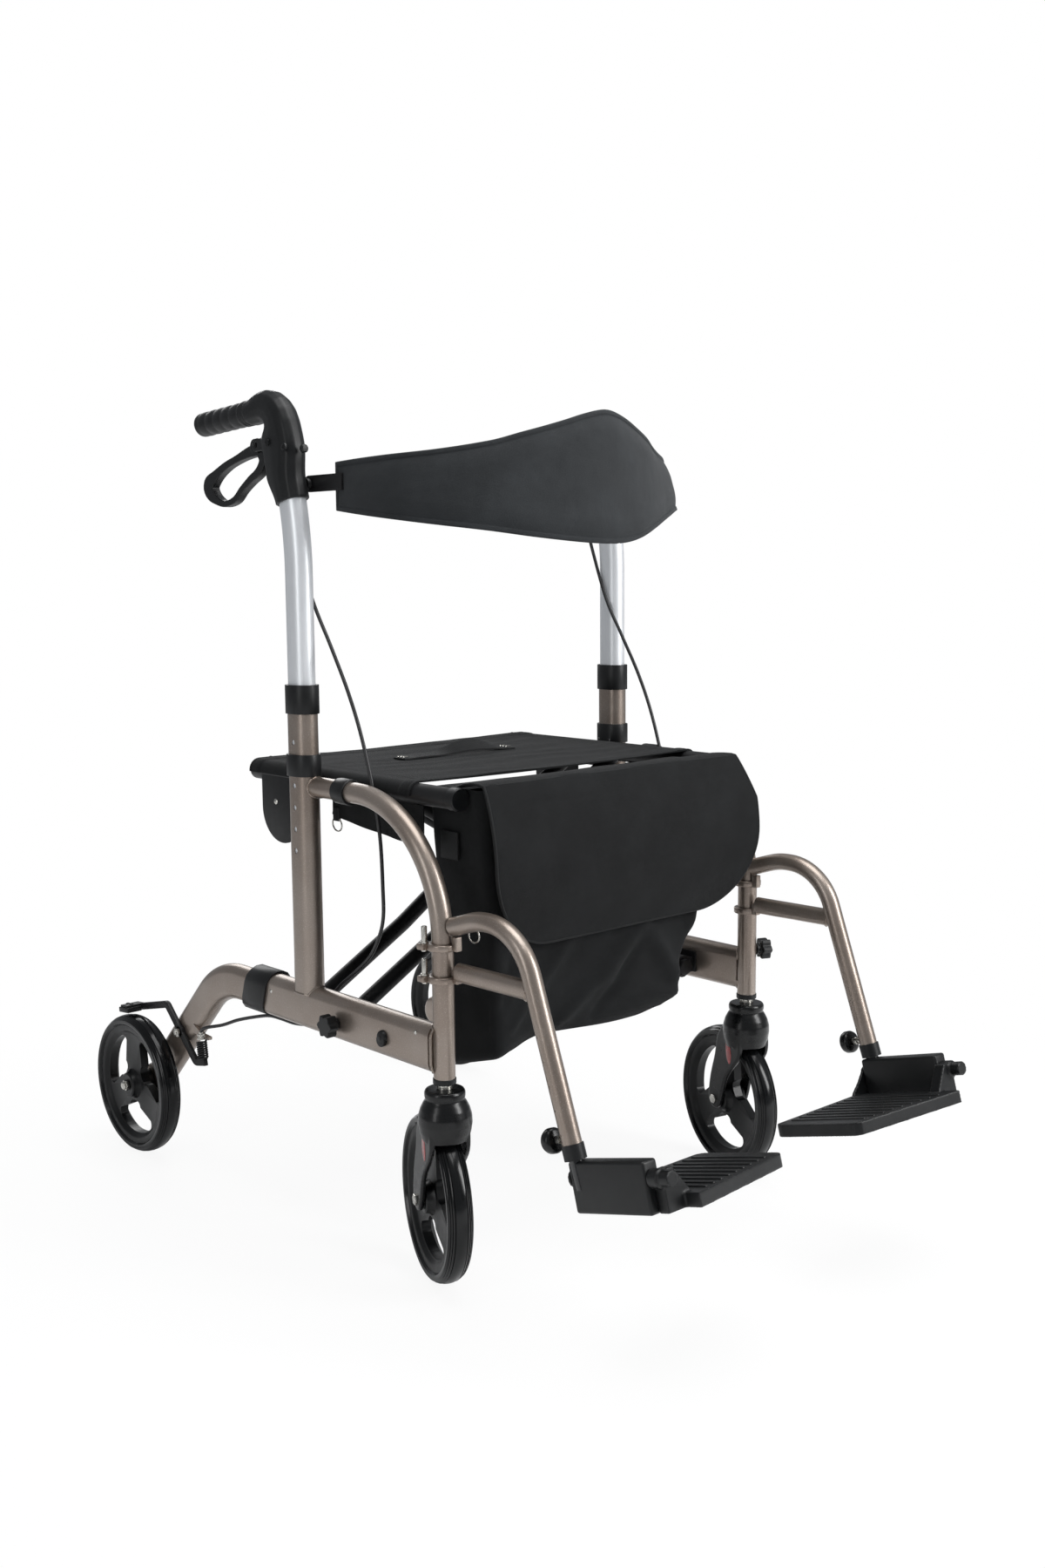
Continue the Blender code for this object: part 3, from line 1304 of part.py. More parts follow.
def lift_strap():
    foot = SEAT_TUBE_Z + SEAT_TUBE_RADIUS - SEAT_SAG * 0.75
    path = []
    steps = 10
    for k in range(steps + 1):
        share = k / steps
        x = STRAP_HALF_LENGTH * (2 * share - 1)
        path.append(Vector((x, STRAP_Y, foot + STRAP_RISE * math.sin(math.pi * share) ** 0.7)))
    wide, thick = STRAP_WIDTH / 2, STRAP_THICKNESS / 2
    section = [(-wide, -thick), (wide, -thick), (wide, thick), (-wide, thick)]
    strap = swept(path, section, Y_AXIS)
    plates = [
        block(
            (side * STRAP_HALF_LENGTH - 0.008, STRAP_Y - 0.013, foot - 0.003),
            (side * STRAP_HALF_LENGTH + 0.008, STRAP_Y + 0.013, foot + 0.0045),
        )
        for side in (-1, 1)
    ]
    return [strap] + plates


def rounded_box(left, right, front, rear, corner, steps=3):
    """An outline in X and Y with round corners, reaching left and right of the middle plane."""
    points = []
    centres = (
        (right - corner, rear - corner, 0),
        (-left + corner, rear - corner, 1),
        (-left + corner, front + corner, 2),
        (right - corner, front + corner, 3),
    )
    for x, y, quarter in centres:
        for k in range(steps + 1):
            angle = math.pi / 2 * (quarter + k / steps)
            points.append((x + corner * math.cos(angle), y + corner * math.sin(angle)))
    return points


# The bag hangs slack between the seat tubes, its bottom drawn up in front and in at the right.
# Rows: height, width left and right of the middle plane, and shifts of the front and rear faces.
BAG_ROWS = (
    (0.00, 0.170, 0.096, 0.012, -0.010),
    (0.04, 0.194, 0.108, 0.004, -0.003),
    (0.13, 0.201, 0.113, 0.000, 0.000),
    (0.30, 0.205, 0.129, -0.003, 0.000),
    (0.47, 0.209, 0.155, -0.003, 0.000),
    (0.65, 0.212, 0.179, -0.002, 0.000),
    (0.85, 0.216, 0.204, 0.000, 0.000),
    (1.00, 0.2210, 0.2210, 0.000, 0.000),
)


def bag():
    mouth = LINK_X - SEAT_TUBE_RADIUS - SEAT_CAP_WALL - BAG_GAP
    height = BAG_TOP - BAG_BOTTOM
    rings = []
    for share, left, right, front_shift, rear_shift in BAG_ROWS:
        outline = rounded_box(
            min(left, mouth), min(right, mouth), BAG_FRONT + front_shift, BAG_REAR + rear_shift, 0.014
        )
        ring = []
        for x, y in outline:
            forward = (BAG_REAR - y) / (BAG_REAR - BAG_FRONT)
            ring.append(Vector((x, y, BAG_BOTTOM + height * share + BAG_LIFT * forward * (1 - share) ** 3)))
        rings.append(ring)
    return lofted(rings)


def flap_line(share):
    """The flap's centre line: back edge at 0, over the bag's front edge, bottom edge at 1."""
    top_run = (BAG_FRONT - 0.006) - FLAP_HINGE_Y
    drop = FLAP_TOP - FLAP_BOTTOM
    total = abs(top_run) + drop
    corner = abs(top_run) / total
    if share < corner:
        along = share / corner
        rise = (FLAP_TOP - FLAP_BACK_Z) * (1 - along) ** 2
        return FLAP_HINGE_Y + top_run * along, FLAP_TOP - rise - FLAP_ROLL * along**2
    fall = (share - corner) / (1 - corner)
    bulge = FLAP_BULGE * math.sin(math.pi * min(fall * 0.92 + 0.02, 1.0)) ** 0.8
    return BAG_FRONT - 0.006 - bulge, FLAP_TOP - FLAP_ROLL - (drop - FLAP_ROLL) * fall


# The flap folds over the bag's mouth and hangs down its front, its lower corners rounded
def bag_flap():
    shares = (0.0, 0.07, 0.13, 0.17, 0.22, 0.32, 0.45, 0.58, 0.70, 0.80, 0.88, 0.94, 0.98, 1.0)
    columns = 8
    rings = []
    for share in shares:
        y, z = flap_line(share)
        ahead = flap_line(min(share + 0.02, 1.0))
        behind = flap_line(max(share - 0.02, 0.0))
        along = Vector((0, ahead[0] - behind[0], ahead[1] - behind[1])).normalized()
        outward = along.cross(X_AXIS)
        above_end = max(0.0, z - FLAP_BOTTOM)
        missing = max(0.0, FLAP_CORNER - above_end)
        half_width = FLAP_HALF_WIDTH - FLAP_CORNER + math.sqrt(max(FLAP_CORNER**2 - missing**2, 0.0))
        half_width = max(half_width, FLAP_HALF_WIDTH - FLAP_CORNER)
        on_top = max(0.0, 1 - share / 0.17)
        below = min((FLAP_TOP - z) / 0.06, 1.0)
        right = half_width - FLAP_DRAWN_IN * (1 - 1.2 * below) - 2 * FLAP_DRAWN_IN * on_top
        inner, outer = [], []
        for column in range(columns + 1):
            across = -1 + 2 * column / columns
            point = Vector(((half_width if across < 0 else right) * across, y, z))
            inner.append(point - outward * FLAP_THICKNESS / 2)
            outer.append(point + outward * FLAP_THICKNESS / 2)
        rings.append(inner + outer[::-1])
    return lofted(rings)


def hanger_frame():
    """The hanger's corner, its lower end and the direction of its straight leg."""
    down = Vector((0, -math.sin(HANGER_RAKE), -math.cos(HANGER_RAKE)))
    foot = Vector((-HANGER_X, POST_Y - HANGER_REACH, HANGER_TOP - HANGER_DROP))
    corner = foot - down * (HANGER_DROP / math.cos(HANGER_RAKE))
    return corner, foot, down


# The swing-away hanger turns on two rings round the post, each with its locking pin
def footrest_hanger():
    corner, foot, down = hanger_frame()
    start = Vector((-HANGER_X, POST_Y - POST_RADIUS - 0.0015, HANGER_TOP - 0.014))
    rise = Vector((-HANGER_X, POST_Y - 0.058, HANGER_TOP - 0.0005))
    path = bent([start, rise, corner, foot], [0.09, HANGER_BEND_RADIUS], 3)
    tube = swept(path, circle(HANGER_RADIUS, 12))
    strut_end = corner + down * 0.068
    strut = swept(
        [Vector((-HANGER_X, POST_Y - POST_RADIUS - 0.010, LOWER_RING_Z + 0.010)), strut_end],
        slot(0.017, 0.022, 5),
    )
    sleeve = swept([foot - down * SLEEVE_LENGTH, foot + down * 0.0005], circle(SLEEVE_RADIUS, 12))
    adds = [tube, strut, sleeve]
    for z, top in ((UPPER_RING_Z, HANGER_TOP - 0.014), (LOWER_RING_Z, LOWER_RING_Z + 0.012)):
        low, high = z - RING_THICKNESS / 2, z + RING_THICKNESS / 2
        adds.append(rod("Z", (-FRAME_X, POST_Y), RING_RADIUS, low, high, 14))
        adds.append(
            block(
                (-HANGER_X - 0.0045, POST_Y - RING_RADIUS - 0.006, low),
                (-HANGER_X + 0.0045, POST_Y - POST_RADIUS - 0.002, top),
            )
        )
        ear = block(
            (-FRAME_X + 0.004, POST_Y + 0.009, low), (-FRAME_X + 0.022, POST_Y + 0.021, high)
        )
        adds.append(ear)
        adds.append(rod("Z", (-FRAME_X + 0.015, POST_Y + 0.0145), 0.0032, low - 0.002, high + 0.020, 8))
    bore = swept([foot + down * 0.02, foot - down * (LEG_TUBE_INSIDE + 0.004)], circle(HANGER_BORE, 12))
    turning = post_cutter(LOWER_RING_Z - 0.06, HANGER_TOP + 0.06, POST_RADIUS + TURNING)
    return fused(adds, [bore, turning] + leg_holes(foot, down))


def rearward(down):
    return down.cross(X_AXIS) * -1


def leg_holes(foot, down):
    """Height holes up the back of the hanger's leg. The plunger sits in the lowest one."""
    back = rearward(down)
    holes = []
    for k in range(LEG_HOLES):
        middle = foot - down * (SLEEVE_LENGTH + 0.006 + k * HEIGHT_HOLE_PITCH)
        holes.append(swept([middle + back * 0.004, middle + back * 0.02], circle(LEG_HOLE_RADIUS, 6)))
    return holes


# The sprung plunger that locks the leg's height
def footrest_knob():
    _, foot, down = hanger_frame()
    back = rearward(down)
    middle = foot - down * (SLEEVE_LENGTH + 0.006)
    tip = middle + back * (LEG_TUBE_RADIUS + 2 * SLIDING)
    shoulder = middle + back * (HANGER_RADIUS + 0.0115)
    pin = swept([tip, shoulder + back * 0.001], circle(PLUNGER_RADIUS, 8))
    places = (0.0, 0.003, PLUNGER_KNOB_LENGTH - 0.003, PLUNGER_KNOB_LENGTH)
    head = swept(
        [shoulder + back * place for place in places],
        circle(PLUNGER_KNOB_RADIUS, 10),
        scales=(0.7, 1.0, 1.0, 0.7),
    )
    return fused([pin, head])


def plate_hinge():
    """The middle of the footplate's hinge pin, and the pin's pitched direction forward."""
    _, foot, down = hanger_frame()
    forward = Vector((0, -math.cos(PLATE_PITCH), math.sin(PLATE_PITCH)))
    above = Vector((0, math.sin(PLATE_PITCH), math.cos(PLATE_PITCH)))
    end = foot + down * LEG_TUBE_OUTSIDE
    rear = Vector((-HANGER_X + 0.004, end.y, end.z)) + above * PIN_ABOVE_LEG
    return rear + forward * (BLOCK_LENGTH / 2 - BLOCK_BEHIND), forward, above


def pitched(obj, pivot):
    """Turns a shape drawn level about the pin's middle into the footplate's pitch."""
    return tilted(obj, -PLATE_PITCH, "X", pivot)


# The lower leg: a tube inside the hanger, carrying the block that the footplate hinges on
def footrest_leg():
    _, foot, down = hanger_frame()
    middle, _, _ = plate_hinge()
    half = BLOCK_LENGTH / 2
    tube = swept(
        [foot - down * LEG_TUBE_INSIDE, foot + down * (LEG_TUBE_OUTSIDE + 0.002)],
        circle(LEG_TUBE_RADIUS, 12),
    )
    body = block(
        (middle.x - BLOCK_WIDTH / 2, middle.y - half, middle.z - BLOCK_DEPTH),
        (middle.x + BLOCK_WIDTH / 2, middle.y + half, middle.z + BLOCK_RISE),
    )
    bore = rod("Y", (middle.x, middle.z), PLATE_PIN_RADIUS + TURNING, middle.y - 0.1, middle.y + 0.1)
    shape = fused([pitched(body, middle), tube], [pitched(bore, middle)])
    return shape


# The footplate with its hinge cheeks and pin, drawn level and then pitched toes up
def footplate():
    middle, _, _ = plate_hinge()
    half = BLOCK_LENGTH / 2
    top = middle.z - PLATE_DROP
    outer_x = middle.x + BLOCK_WIDTH / 2 + 0.015
    inner_x = -PLATE_INNER_X
    front = middle.y - half - PLATE_AHEAD
    rear = middle.y + half + REAR_CHEEK
    corner = PLATE_CORNER
    outline = [(outer_x, front), (outer_x, rear), (inner_x - corner, rear)]
    quarter = [math.pi / 2 * k / 4 for k in range(1, 4)]
    for angle in quarter:
        outline.append((inner_x - corner * (1 - math.sin(angle)), rear - corner * (1 - math.cos(angle))))
    outline.append((inner_x, rear - corner))
    splayed = front + PLATE_SPLAY
    outline.append((inner_x, splayed + corner))
    for angle in quarter:
        outline.append((inner_x - corner * (1 - math.cos(angle)), splayed + corner * (1 - math.sin(angle))))
    outline.append((inner_x - corner, splayed))
    plate = prism(outline, "Z", top - PLATE_THICKNESS, top)
    adds = [plate]
    front_face = middle.y - half - SIDE_PLAY
    rear_face = middle.y + half + SIDE_PLAY
    front_shoulder = [(0.016, BLOCK_RISE * 0.45), (0.0, BLOCK_RISE * 0.45)]
    rear_shoulder = [(0.0215, -0.0080), (0.0100, 0.0035), (0.0, 0.0100)]
    for low_y, high_y, shoulder in (
        (front_face - FRONT_CHEEK, front_face, front_shoulder),
        (rear_face, rear_face + REAR_CHEEK, rear_shoulder),
    ):
        cheek = [
            (middle.x, top - PLATE_THICKNESS),
            (outer_x + 0.010, top - PLATE_THICKNESS),
            (outer_x + 0.010, top + 0.002),
        ]
        cheek += [(middle.x + across, middle.z + above) for across, above in shoulder]
        adds.append(prism(cheek, "Y", low_y, high_y))
        adds.append(rod("Y", (middle.x, middle.z), 0.0105, low_y, high_y, 14))
    pin = rod("Y", (middle.x, middle.z), PLATE_PIN_RADIUS, front_face - 0.004, rear_face + 0.004)
    cheek_front = front_face - FRONT_CHEEK
    cap = rod("Y", (middle.x, middle.z), 0.0085, cheek_front - PLATE_CAP, cheek_front + 0.002, 14)
    return pitched(fused(adds + [pin, cap]), middle)


def build():
    pair(rail(), "rail", (-RAIL_X, POST_Y, RAIL_Z), BRONZE)
    pair(rear_upright(), "rear_upright", (-UPRIGHT_X, UPRIGHT_Y, RAIL_Z), BRONZE)
    pair(front_post(), "front_post", (-FRAME_X, POST_Y, POST_BOTTOM), BRONZE)
    pair(leg_collar(), "leg_collar", (-LEG_X, RAIL_REAR, RAIL_Z), BLACK_PLASTIC)
    pair(rear_leg(), "rear_leg", (-LEG_X, RAIL_REAR, LEG_Z), BRONZE)
    pair(upright_collar(), "upright_collar", (-UPRIGHT_X, UPRIGHT_Y, UPRIGHT_TOP), BLACK_PLASTIC)
    pair(seat_saddle(), "seat_saddle", (-UPRIGHT_X, UPRIGHT_Y, ARCH_Z), BLACK_PLASTIC)
    pair(seat_clip(), "seat_clip", (-FRAME_X, UPRIGHT_Y, ARCH_Z), BLACK_PLASTIC)
    hinge_point = (-LINK_X, REAR_BRACKET_Y, HINGE_Z)
    bracket = brace_bracket([FRONT_BRACKET_Y])
    seated(bracket, "brace_bracket_left", hinge_point, BLACK_STEEL, CHAIR)
    bracket = mirrored_only(brace_bracket([FRONT_BRACKET_Y, REAR_BRACKET_Y]))
    seated(bracket, "brace_bracket_right", (LINK_X, REAR_BRACKET_Y, HINGE_Z), BLACK_STEEL, CHAIR)

    pair(handle_tube(), "handle_tube", (-UPRIGHT_X, UPRIGHT_Y, UPRIGHT_TOP), SILVER)
    pair(handle_housing(), "handle_housing", (-UPRIGHT_X, UPRIGHT_Y, HOUSING_FOOT), BLACK_PLASTIC)
    pair(hand_grip(), "hand_grip", (-UPRIGHT_X, GRIP_START, GRIP_HEIGHT), BLACK_RUBBER)
    pair(brake_lever(), "brake_lever", (-UPRIGHT_X, LEVER_PIVOT_Y, LEVER_PIVOT_Z), BLACK_PLASTIC)
    bracket_pin = (-BRACKET_X, BACKREST_PIVOT_Y, BACKREST_PIVOT_Z)
    pair(backrest_bracket(), "backrest_bracket", bracket_pin, BLACK_STEEL)
    seated(backrest(), "backrest", (0, BACKREST_PIVOT_Y, BACKREST_PIVOT_Z), GREY_CLOTH, CHAIR)

    build_wheels()
    pair(brake_arm(), "brake_arm", (-WHEEL_X, ARM_PIVOT_Y, ARM_PIVOT_Z), BLACK_STEEL)
    build_wires()

    seated(cross_brace_a(), "cross_brace_a", (-LINK_X, REAR_BRACKET_Y, HINGE_Z), BLACK_STEEL, CHAIR)
    seated(cross_brace_b(), "cross_brace_b", (LINK_X, REAR_BRACKET_Y, HINGE_Z), BLACK_STEEL, CHAIR)
    seated(seat_sling(), "seat_sling", (0, UPRIGHT_Y, SEAT_TUBE_Z), BLACK_CLOTH, CHAIR)
    seated(bag(), "bag", (0, BAG_REAR, BAG_TOP), BLACK_CLOTH, CHAIR)
    seated(bag_flap(), "bag_flap", (0, FLAP_HINGE_Y, FLAP_BACK_Z), BLACK_CLOTH, CHAIR)

    pair(footrest_hanger(), "footrest_hanger", (-FRAME_X, POST_Y, UPPER_RING_Z), BRONZE)
    _, foot, _ = hanger_frame()
    pair(footrest_leg(), "footrest_leg", foot, BLACK_PLASTIC)
    pair(footrest_knob(), "footrest_knob", foot, BLACK_PLASTIC)
    pair(footplate(), "footplate", plate_hinge()[0], BLACK_PLASTIC)
    build_knobs()


def mirrored_only(obj):
    twin = mirrored(obj)
    bpy.data.objects.remove(obj, do_unlink=True)
    return twin


def build_knobs():
    outside = -RAIL_X - RAIL_WIDTH / 2 - TOUCH
    shank = RAIL_WIDTH
    knob = star_knob((REAR_BRACKET_Y, HINGE_Z), outside, shank)
    seated(knob, "rail_knob", (outside, REAR_BRACKET_Y, HINGE_Z), BLACK_PLASTIC, CHAIR)
    height = RAIL_Z + 0.0275
    post = mirrored_only(star_knob((0, height), -POST_RADIUS - TOUCH, 0.0))
    tilted(post, math.radians(-24), "Z", (0, 0, height))
    moved(post, Matrix.Translation((FRAME_X, POST_Y, 0)))
    seated(post, "post_knob", (FRAME_X, POST_Y, height), BLACK_PLASTIC, CHAIR)


def build_wheels():
    fork_shape, tyre_shape, rim_shape = caster_fork(), tyre(), rim()
    for side, label in ((-1, "left"), (1, "right")):
        fork = show("blank", fork_shape.data.copy())
        seated(fork, "caster_fork_" + label, (0, 0, 0), BLACK_PLASTIC, CHAIR)
        fork.location = (side * FRAME_X, POST_Y, 0)
        fork.rotation_euler.z = CASTER_TURN_LEFT if label == "left" else CASTER_TURN_RIGHT
        for kind, shape, finish in (("tyre", tyre_shape, GREY_RUBBER), ("rim", rim_shape, BLACK_PLASTIC)):
            front = show("blank", shape.data.copy())
            seated(front, "caster_" + kind + "_" + label, (0, 0, 0), finish, fork)
            front.location = (0, CASTER_TRAIL, WHEEL_RADIUS)
            rear = show("blank", shape.data.copy())
            seated(rear, "rear_" + kind + "_" + label, (0, 0, 0), finish, CHAIR)
            rear.location = (side * WHEEL_X, REAR_AXLE_Y, WHEEL_RADIUS)
    for shape in (fork_shape, tyre_shape, rim_shape):
        bpy.data.objects.remove(shape, do_unlink=True)


def build_wires():
    route, length = smooth_route(cable_route()[1:-1], 28)
    route = [cable_route()[0]] + route + [cable_route()[-1]]
    length += 2 * CABLE_END
    spring = spring_points()
    for side, label in ((1, "left"), (-1, "right")):
        flip = Matrix.Scale(side, 3, X_AXIS)
        wire("brake_cable_" + label, [flip @ point for point in route], CABLE_RADIUS, 2, BLACK_RUBBER)
        wire("brake_spring_" + label, [flip @ point for point in spring], SPRING_WIRE, 1, STEEL)
    print(f"brake cable length {length:.3f} m")
    print(f"least gap between the spring's curls {1000 * least_gap(spring, SPRING_WIRE, 6):.2f} mm")


def centre_footprint():
    """Moves the chair so that the origin is under the middle of its footprint."""
    bpy.context.view_layer.update()
    graph = bpy.context.evaluated_depsgraph_get()
    lowest, highest = math.inf, -math.inf
    for obj in bpy.context.scene.objects:
        if obj.type == "EMPTY":
            continue
        evaluated = obj.evaluated_get(graph)
        mesh = evaluated.to_mesh()
        for vert in mesh.vertices:
            y = (evaluated.matrix_world @ vert.co).y
            lowest, highest = min(lowest, y), max(highest, y)
        evaluated.to_mesh_clear()
    CHAIR.location.y = -(lowest + highest) / 2
    print(f"moved along Y by {CHAIR.location.y:.6f}")


build()
centre_footprint()
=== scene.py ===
"""A folding rollator that turns into a transport chair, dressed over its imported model.

Metres, +Z up, the front faces -Y and the left side is -X. Every piece is drawn for the left side,
with Y measured from the middle of the side frame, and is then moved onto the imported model.
"""

import math

import bmesh
import bpy
from mathutils import Matrix, Vector, noise


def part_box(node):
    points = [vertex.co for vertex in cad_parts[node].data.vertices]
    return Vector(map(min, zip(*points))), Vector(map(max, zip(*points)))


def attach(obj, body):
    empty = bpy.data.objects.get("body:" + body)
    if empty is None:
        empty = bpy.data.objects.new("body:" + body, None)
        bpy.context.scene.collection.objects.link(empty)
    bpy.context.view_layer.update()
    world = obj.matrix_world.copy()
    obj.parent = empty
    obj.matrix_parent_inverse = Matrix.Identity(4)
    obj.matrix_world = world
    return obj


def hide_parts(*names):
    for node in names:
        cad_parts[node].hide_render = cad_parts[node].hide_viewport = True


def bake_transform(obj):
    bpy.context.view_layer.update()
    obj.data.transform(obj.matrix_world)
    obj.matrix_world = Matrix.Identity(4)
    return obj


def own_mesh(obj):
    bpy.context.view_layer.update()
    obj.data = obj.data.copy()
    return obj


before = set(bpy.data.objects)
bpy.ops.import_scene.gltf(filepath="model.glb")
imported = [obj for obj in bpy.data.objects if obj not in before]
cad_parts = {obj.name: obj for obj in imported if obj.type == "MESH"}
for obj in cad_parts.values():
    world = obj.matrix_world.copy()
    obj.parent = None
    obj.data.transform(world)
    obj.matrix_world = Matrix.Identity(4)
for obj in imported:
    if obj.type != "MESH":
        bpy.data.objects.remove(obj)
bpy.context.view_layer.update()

# Where the chair stands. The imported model's origin is under the middle of its footprint, and the
# rear axle, 539 mm behind the middle of the side frame, says how far that is from the drawing's zero.
REAR_AXLE_Y = 0.539
wheel_low, wheel_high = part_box("rear_rim_left")
to_model = Matrix.Translation((0, (wheel_low.y + wheel_high.y) / 2 - REAR_AXLE_Y, 0))

# Camera, about 1.5 m in front of the chair's left corner and a little above the seat. The picture
# is 1200 by 1800, and the lens is given for the 36 mm height of its frame.
EYE_PLACE, HEADING, DOWNWARD, ROLL, LENS = (-1.391, -1.511, 0.8335), -42.11, 7.60, -0.486, 36.81
eye = bpy.data.cameras.new("eye")
eye.sensor_fit = "VERTICAL"
eye.sensor_height = 36
eye.sensor_width = 24
eye.lens = LENS
viewer = bpy.data.objects.new("viewer", eye)
bpy.context.scene.collection.objects.link(viewer)
heading = Matrix.Rotation(math.radians(HEADING), 4, "Z")
tilt = Matrix.Rotation(math.radians(90 - DOWNWARD), 4, "X")
roll = Matrix.Rotation(math.radians(ROLL), 4, "Z")
viewer.matrix_world = to_model @ Matrix.Translation(EYE_PLACE) @ heading @ tilt @ roll
bpy.context.scene.camera = viewer
bpy.context.scene.view_settings.view_transform = "Standard"


# Finishes are built from node trees. Signal lets plain sums stand for Math nodes, and Finish makes
# every other node and feeds the shader.
class Signal:
    """A socket inside a finish, on which arithmetic adds Math nodes."""

    def __init__(self, finish, socket):
        self.finish = finish
        self.socket = socket

    def maths(self, operation, *values):
        return self.finish.node("Math", {"operation": operation}, *values)

    def __add__(self, other):
        return self.maths("ADD", self, other)

    __radd__ = __add__

    def __mul__(self, other):
        return self.maths("MULTIPLY", self, other)

    def __rsub__(self, other):
        return self.maths("SUBTRACT", other, self)

    def __gt__(self, other):
        return self.maths("GREATER_THAN", self, other)

    def between(self, low, high):
        """0 below low, 1 above high, and even in between."""
        limits = {"From Min": low, "From Max": high}
        return self.finish.node("MapRange", {"interpolation_type": "SMOOTHSTEP"}, Value=self, **limits)


class Finish:
    """A material: one shader, and the nodes that vary it over the surface."""

    def __init__(self, name, colour, roughness, metallic=0.0, **fixed):
        self.material = bpy.data.materials.new(name)
        self.material.use_nodes = True
        self.material.diffuse_color = (*colour, 1)
        self.tree = self.material.node_tree
        self.shader = self.tree.nodes["Principled BSDF"]
        self.feed("Base Color", (*colour, 1))
        self.feed("Roughness", roughness)
        self.feed("Metallic", metallic)
        for label, value in fixed.items():
            self.feed(label.replace("_", " "), value)

    def node(self, kind, settings=None, *values, output=0, **named):
        """A node of a kind, its settings, the values or signals of its inputs, and one of its outputs."""
        made = self.tree.nodes.new("ShaderNode" + kind)
        for label, value in (settings or {}).items():
            setattr(made, label, value)
        for index, value in enumerate(values):
            self.plug(made.inputs[index], value)
        for label, value in named.items():
            self.plug(made.inputs[label], value)
        return Signal(self, made.outputs[output])

    def plug(self, socket, value):
        if isinstance(value, Signal):
            self.tree.links.new(value.socket, socket)
        else:
            socket.default_value = value

    def feed(self, label, value):
        self.plug(self.shader.inputs[label], value)

    def place(self):
        return self.node("TexCoord", output="Object")

    def grain(self, size, detail=3.0, stretch=(1, 1, 1), rough=0.55):
        """Smooth noise between 0 and 1, with blotches about the given size in metres."""
        spot = self.node("Mapping", {"vector_type": "POINT"}, self.place(), Scale=stretch)
        return self.node("TexNoise", None, Vector=spot, Scale=1 / size, Detail=detail, Roughness=rough)

    def tint(self, share, first, second):
        """A colour between two, by a share from 0 to 1."""
        made = self.tree.nodes.new("ShaderNodeMix")
        made.data_type = "RGBA"
        for socket, value in zip((made.inputs[0], made.inputs[6], made.inputs[7]), (share, first, second)):
            if isinstance(value, tuple):
                value = (*value, 1)
            self.plug(socket, value)
        return Signal(self, made.outputs[2])

    def relief(self, *layers):
        """Bumps laid on each other. Each layer is a height signal and its depth in metres."""
        facing = None
        for height, depth in layers:
            inputs = {"Strength": 1.0, "Distance": depth, "Height": height}
            if facing:
                inputs["Normal"] = facing
            facing = self.node("Bump", None, **inputs)
        self.feed("Normal", facing)


# Floor and light: a white paper sweep that fades to plain white away from the chair, a tall soft light
# in front of the chair's right side, a wide one overhead and weak ones at the left and behind.
floor_mesh = bpy.data.meshes.new("floor")
floor_bm = bmesh.new()
bmesh.ops.create_grid(floor_bm, x_segments=1, y_segments=1, size=14)
floor_bm.to_mesh(floor_mesh)
floor_bm.free()
floor = bpy.data.objects.new("floor", floor_mesh)
bpy.context.scene.collection.objects.link(floor)
floor.location.z = -0.0005
paper = Finish("paper", (0.93, 0.93, 0.93), 0.9)
glow = paper.node("Emission", None, Color=(1, 1, 1, 1), Strength=1.0)
seen = paper.node("LightPath", output="Is Camera Ray")
afar = paper.node("VectorMath", {"operation": "LENGTH"}, paper.place(), output="Value").between(0.50, 1.2)
lit = Signal(paper, paper.shader.outputs[0])
shown = paper.node("MixShader", None, seen * (0.91 + afar * 0.09), lit, glow)
paper.tree.links.new(shown.socket, paper.tree.nodes["Material Output"].inputs["Surface"])
floor_mesh.materials.append(paper.material)

studio = bpy.data.worlds.new("studio")
bpy.context.scene.world = studio
studio.use_nodes = True
sky = studio.node_tree
room = sky.nodes["Background"]
room.inputs["Color"].default_value = (0.93, 0.96, 1.0, 1)
room.inputs["Strength"].default_value = 0.30
white = sky.nodes.new("ShaderNodeBackground")
white.inputs["Color"].default_value = (1, 1, 1, 1)
rays = sky.nodes.new("ShaderNodeLightPath")
backdrop = sky.nodes.new("ShaderNodeMixShader")
sky.links.new(rays.outputs["Is Camera Ray"], backdrop.inputs[0])
sky.links.new(room.outputs[0], backdrop.inputs[1])
sky.links.new(white.outputs[0], backdrop.inputs[2])
sky.links.new(backdrop.outputs[0], sky.nodes["World Output"].inputs["Surface"])

for name, place, aim, size, power in (
    ("key", (1.25, -2.45, 1.75), (0, 0, 0.55), (0.9, 1.8), 64),
    ("top", (0.1, -0.5, 2.9), (0, 0, 0.5), (1.9, 1.9), 52),
    ("side", (-2.6, -0.4, 1.2), (0, 0, 0.5), (0.5, 1.6), 11),
    ("back", (0.9, 2.6, 1.7), (0, 0, 0.6), (1.4, 1.2), 20),
):
    lamp = bpy.data.lights.new(name, "AREA")
    lamp.shape = "RECTANGLE"
    lamp.size, lamp.size_y = size
    lamp.energy = power
    holder = bpy.data.objects.new(name, lamp)
    bpy.context.scene.collection.objects.link(holder)
    toward = (Vector(aim) - Vector(place)).to_track_quat("-Z", "Y").to_matrix().to_4x4()
    holder.matrix_world = Matrix.Translation(place) @ toward


# Bronze lacquer: a warm grey metallic paint under a thin clear coat, with fine flakes, a soft drift
# in tone and a faint orange peel.


def rgb(*levels):
    """The shader's linear colour for a red, green and blue from 0 to 255."""
    return tuple(v / 255 / 12.92 if v <= 10 else ((v / 255 + 0.055) / 1.055) ** 2.4 for v in levels)


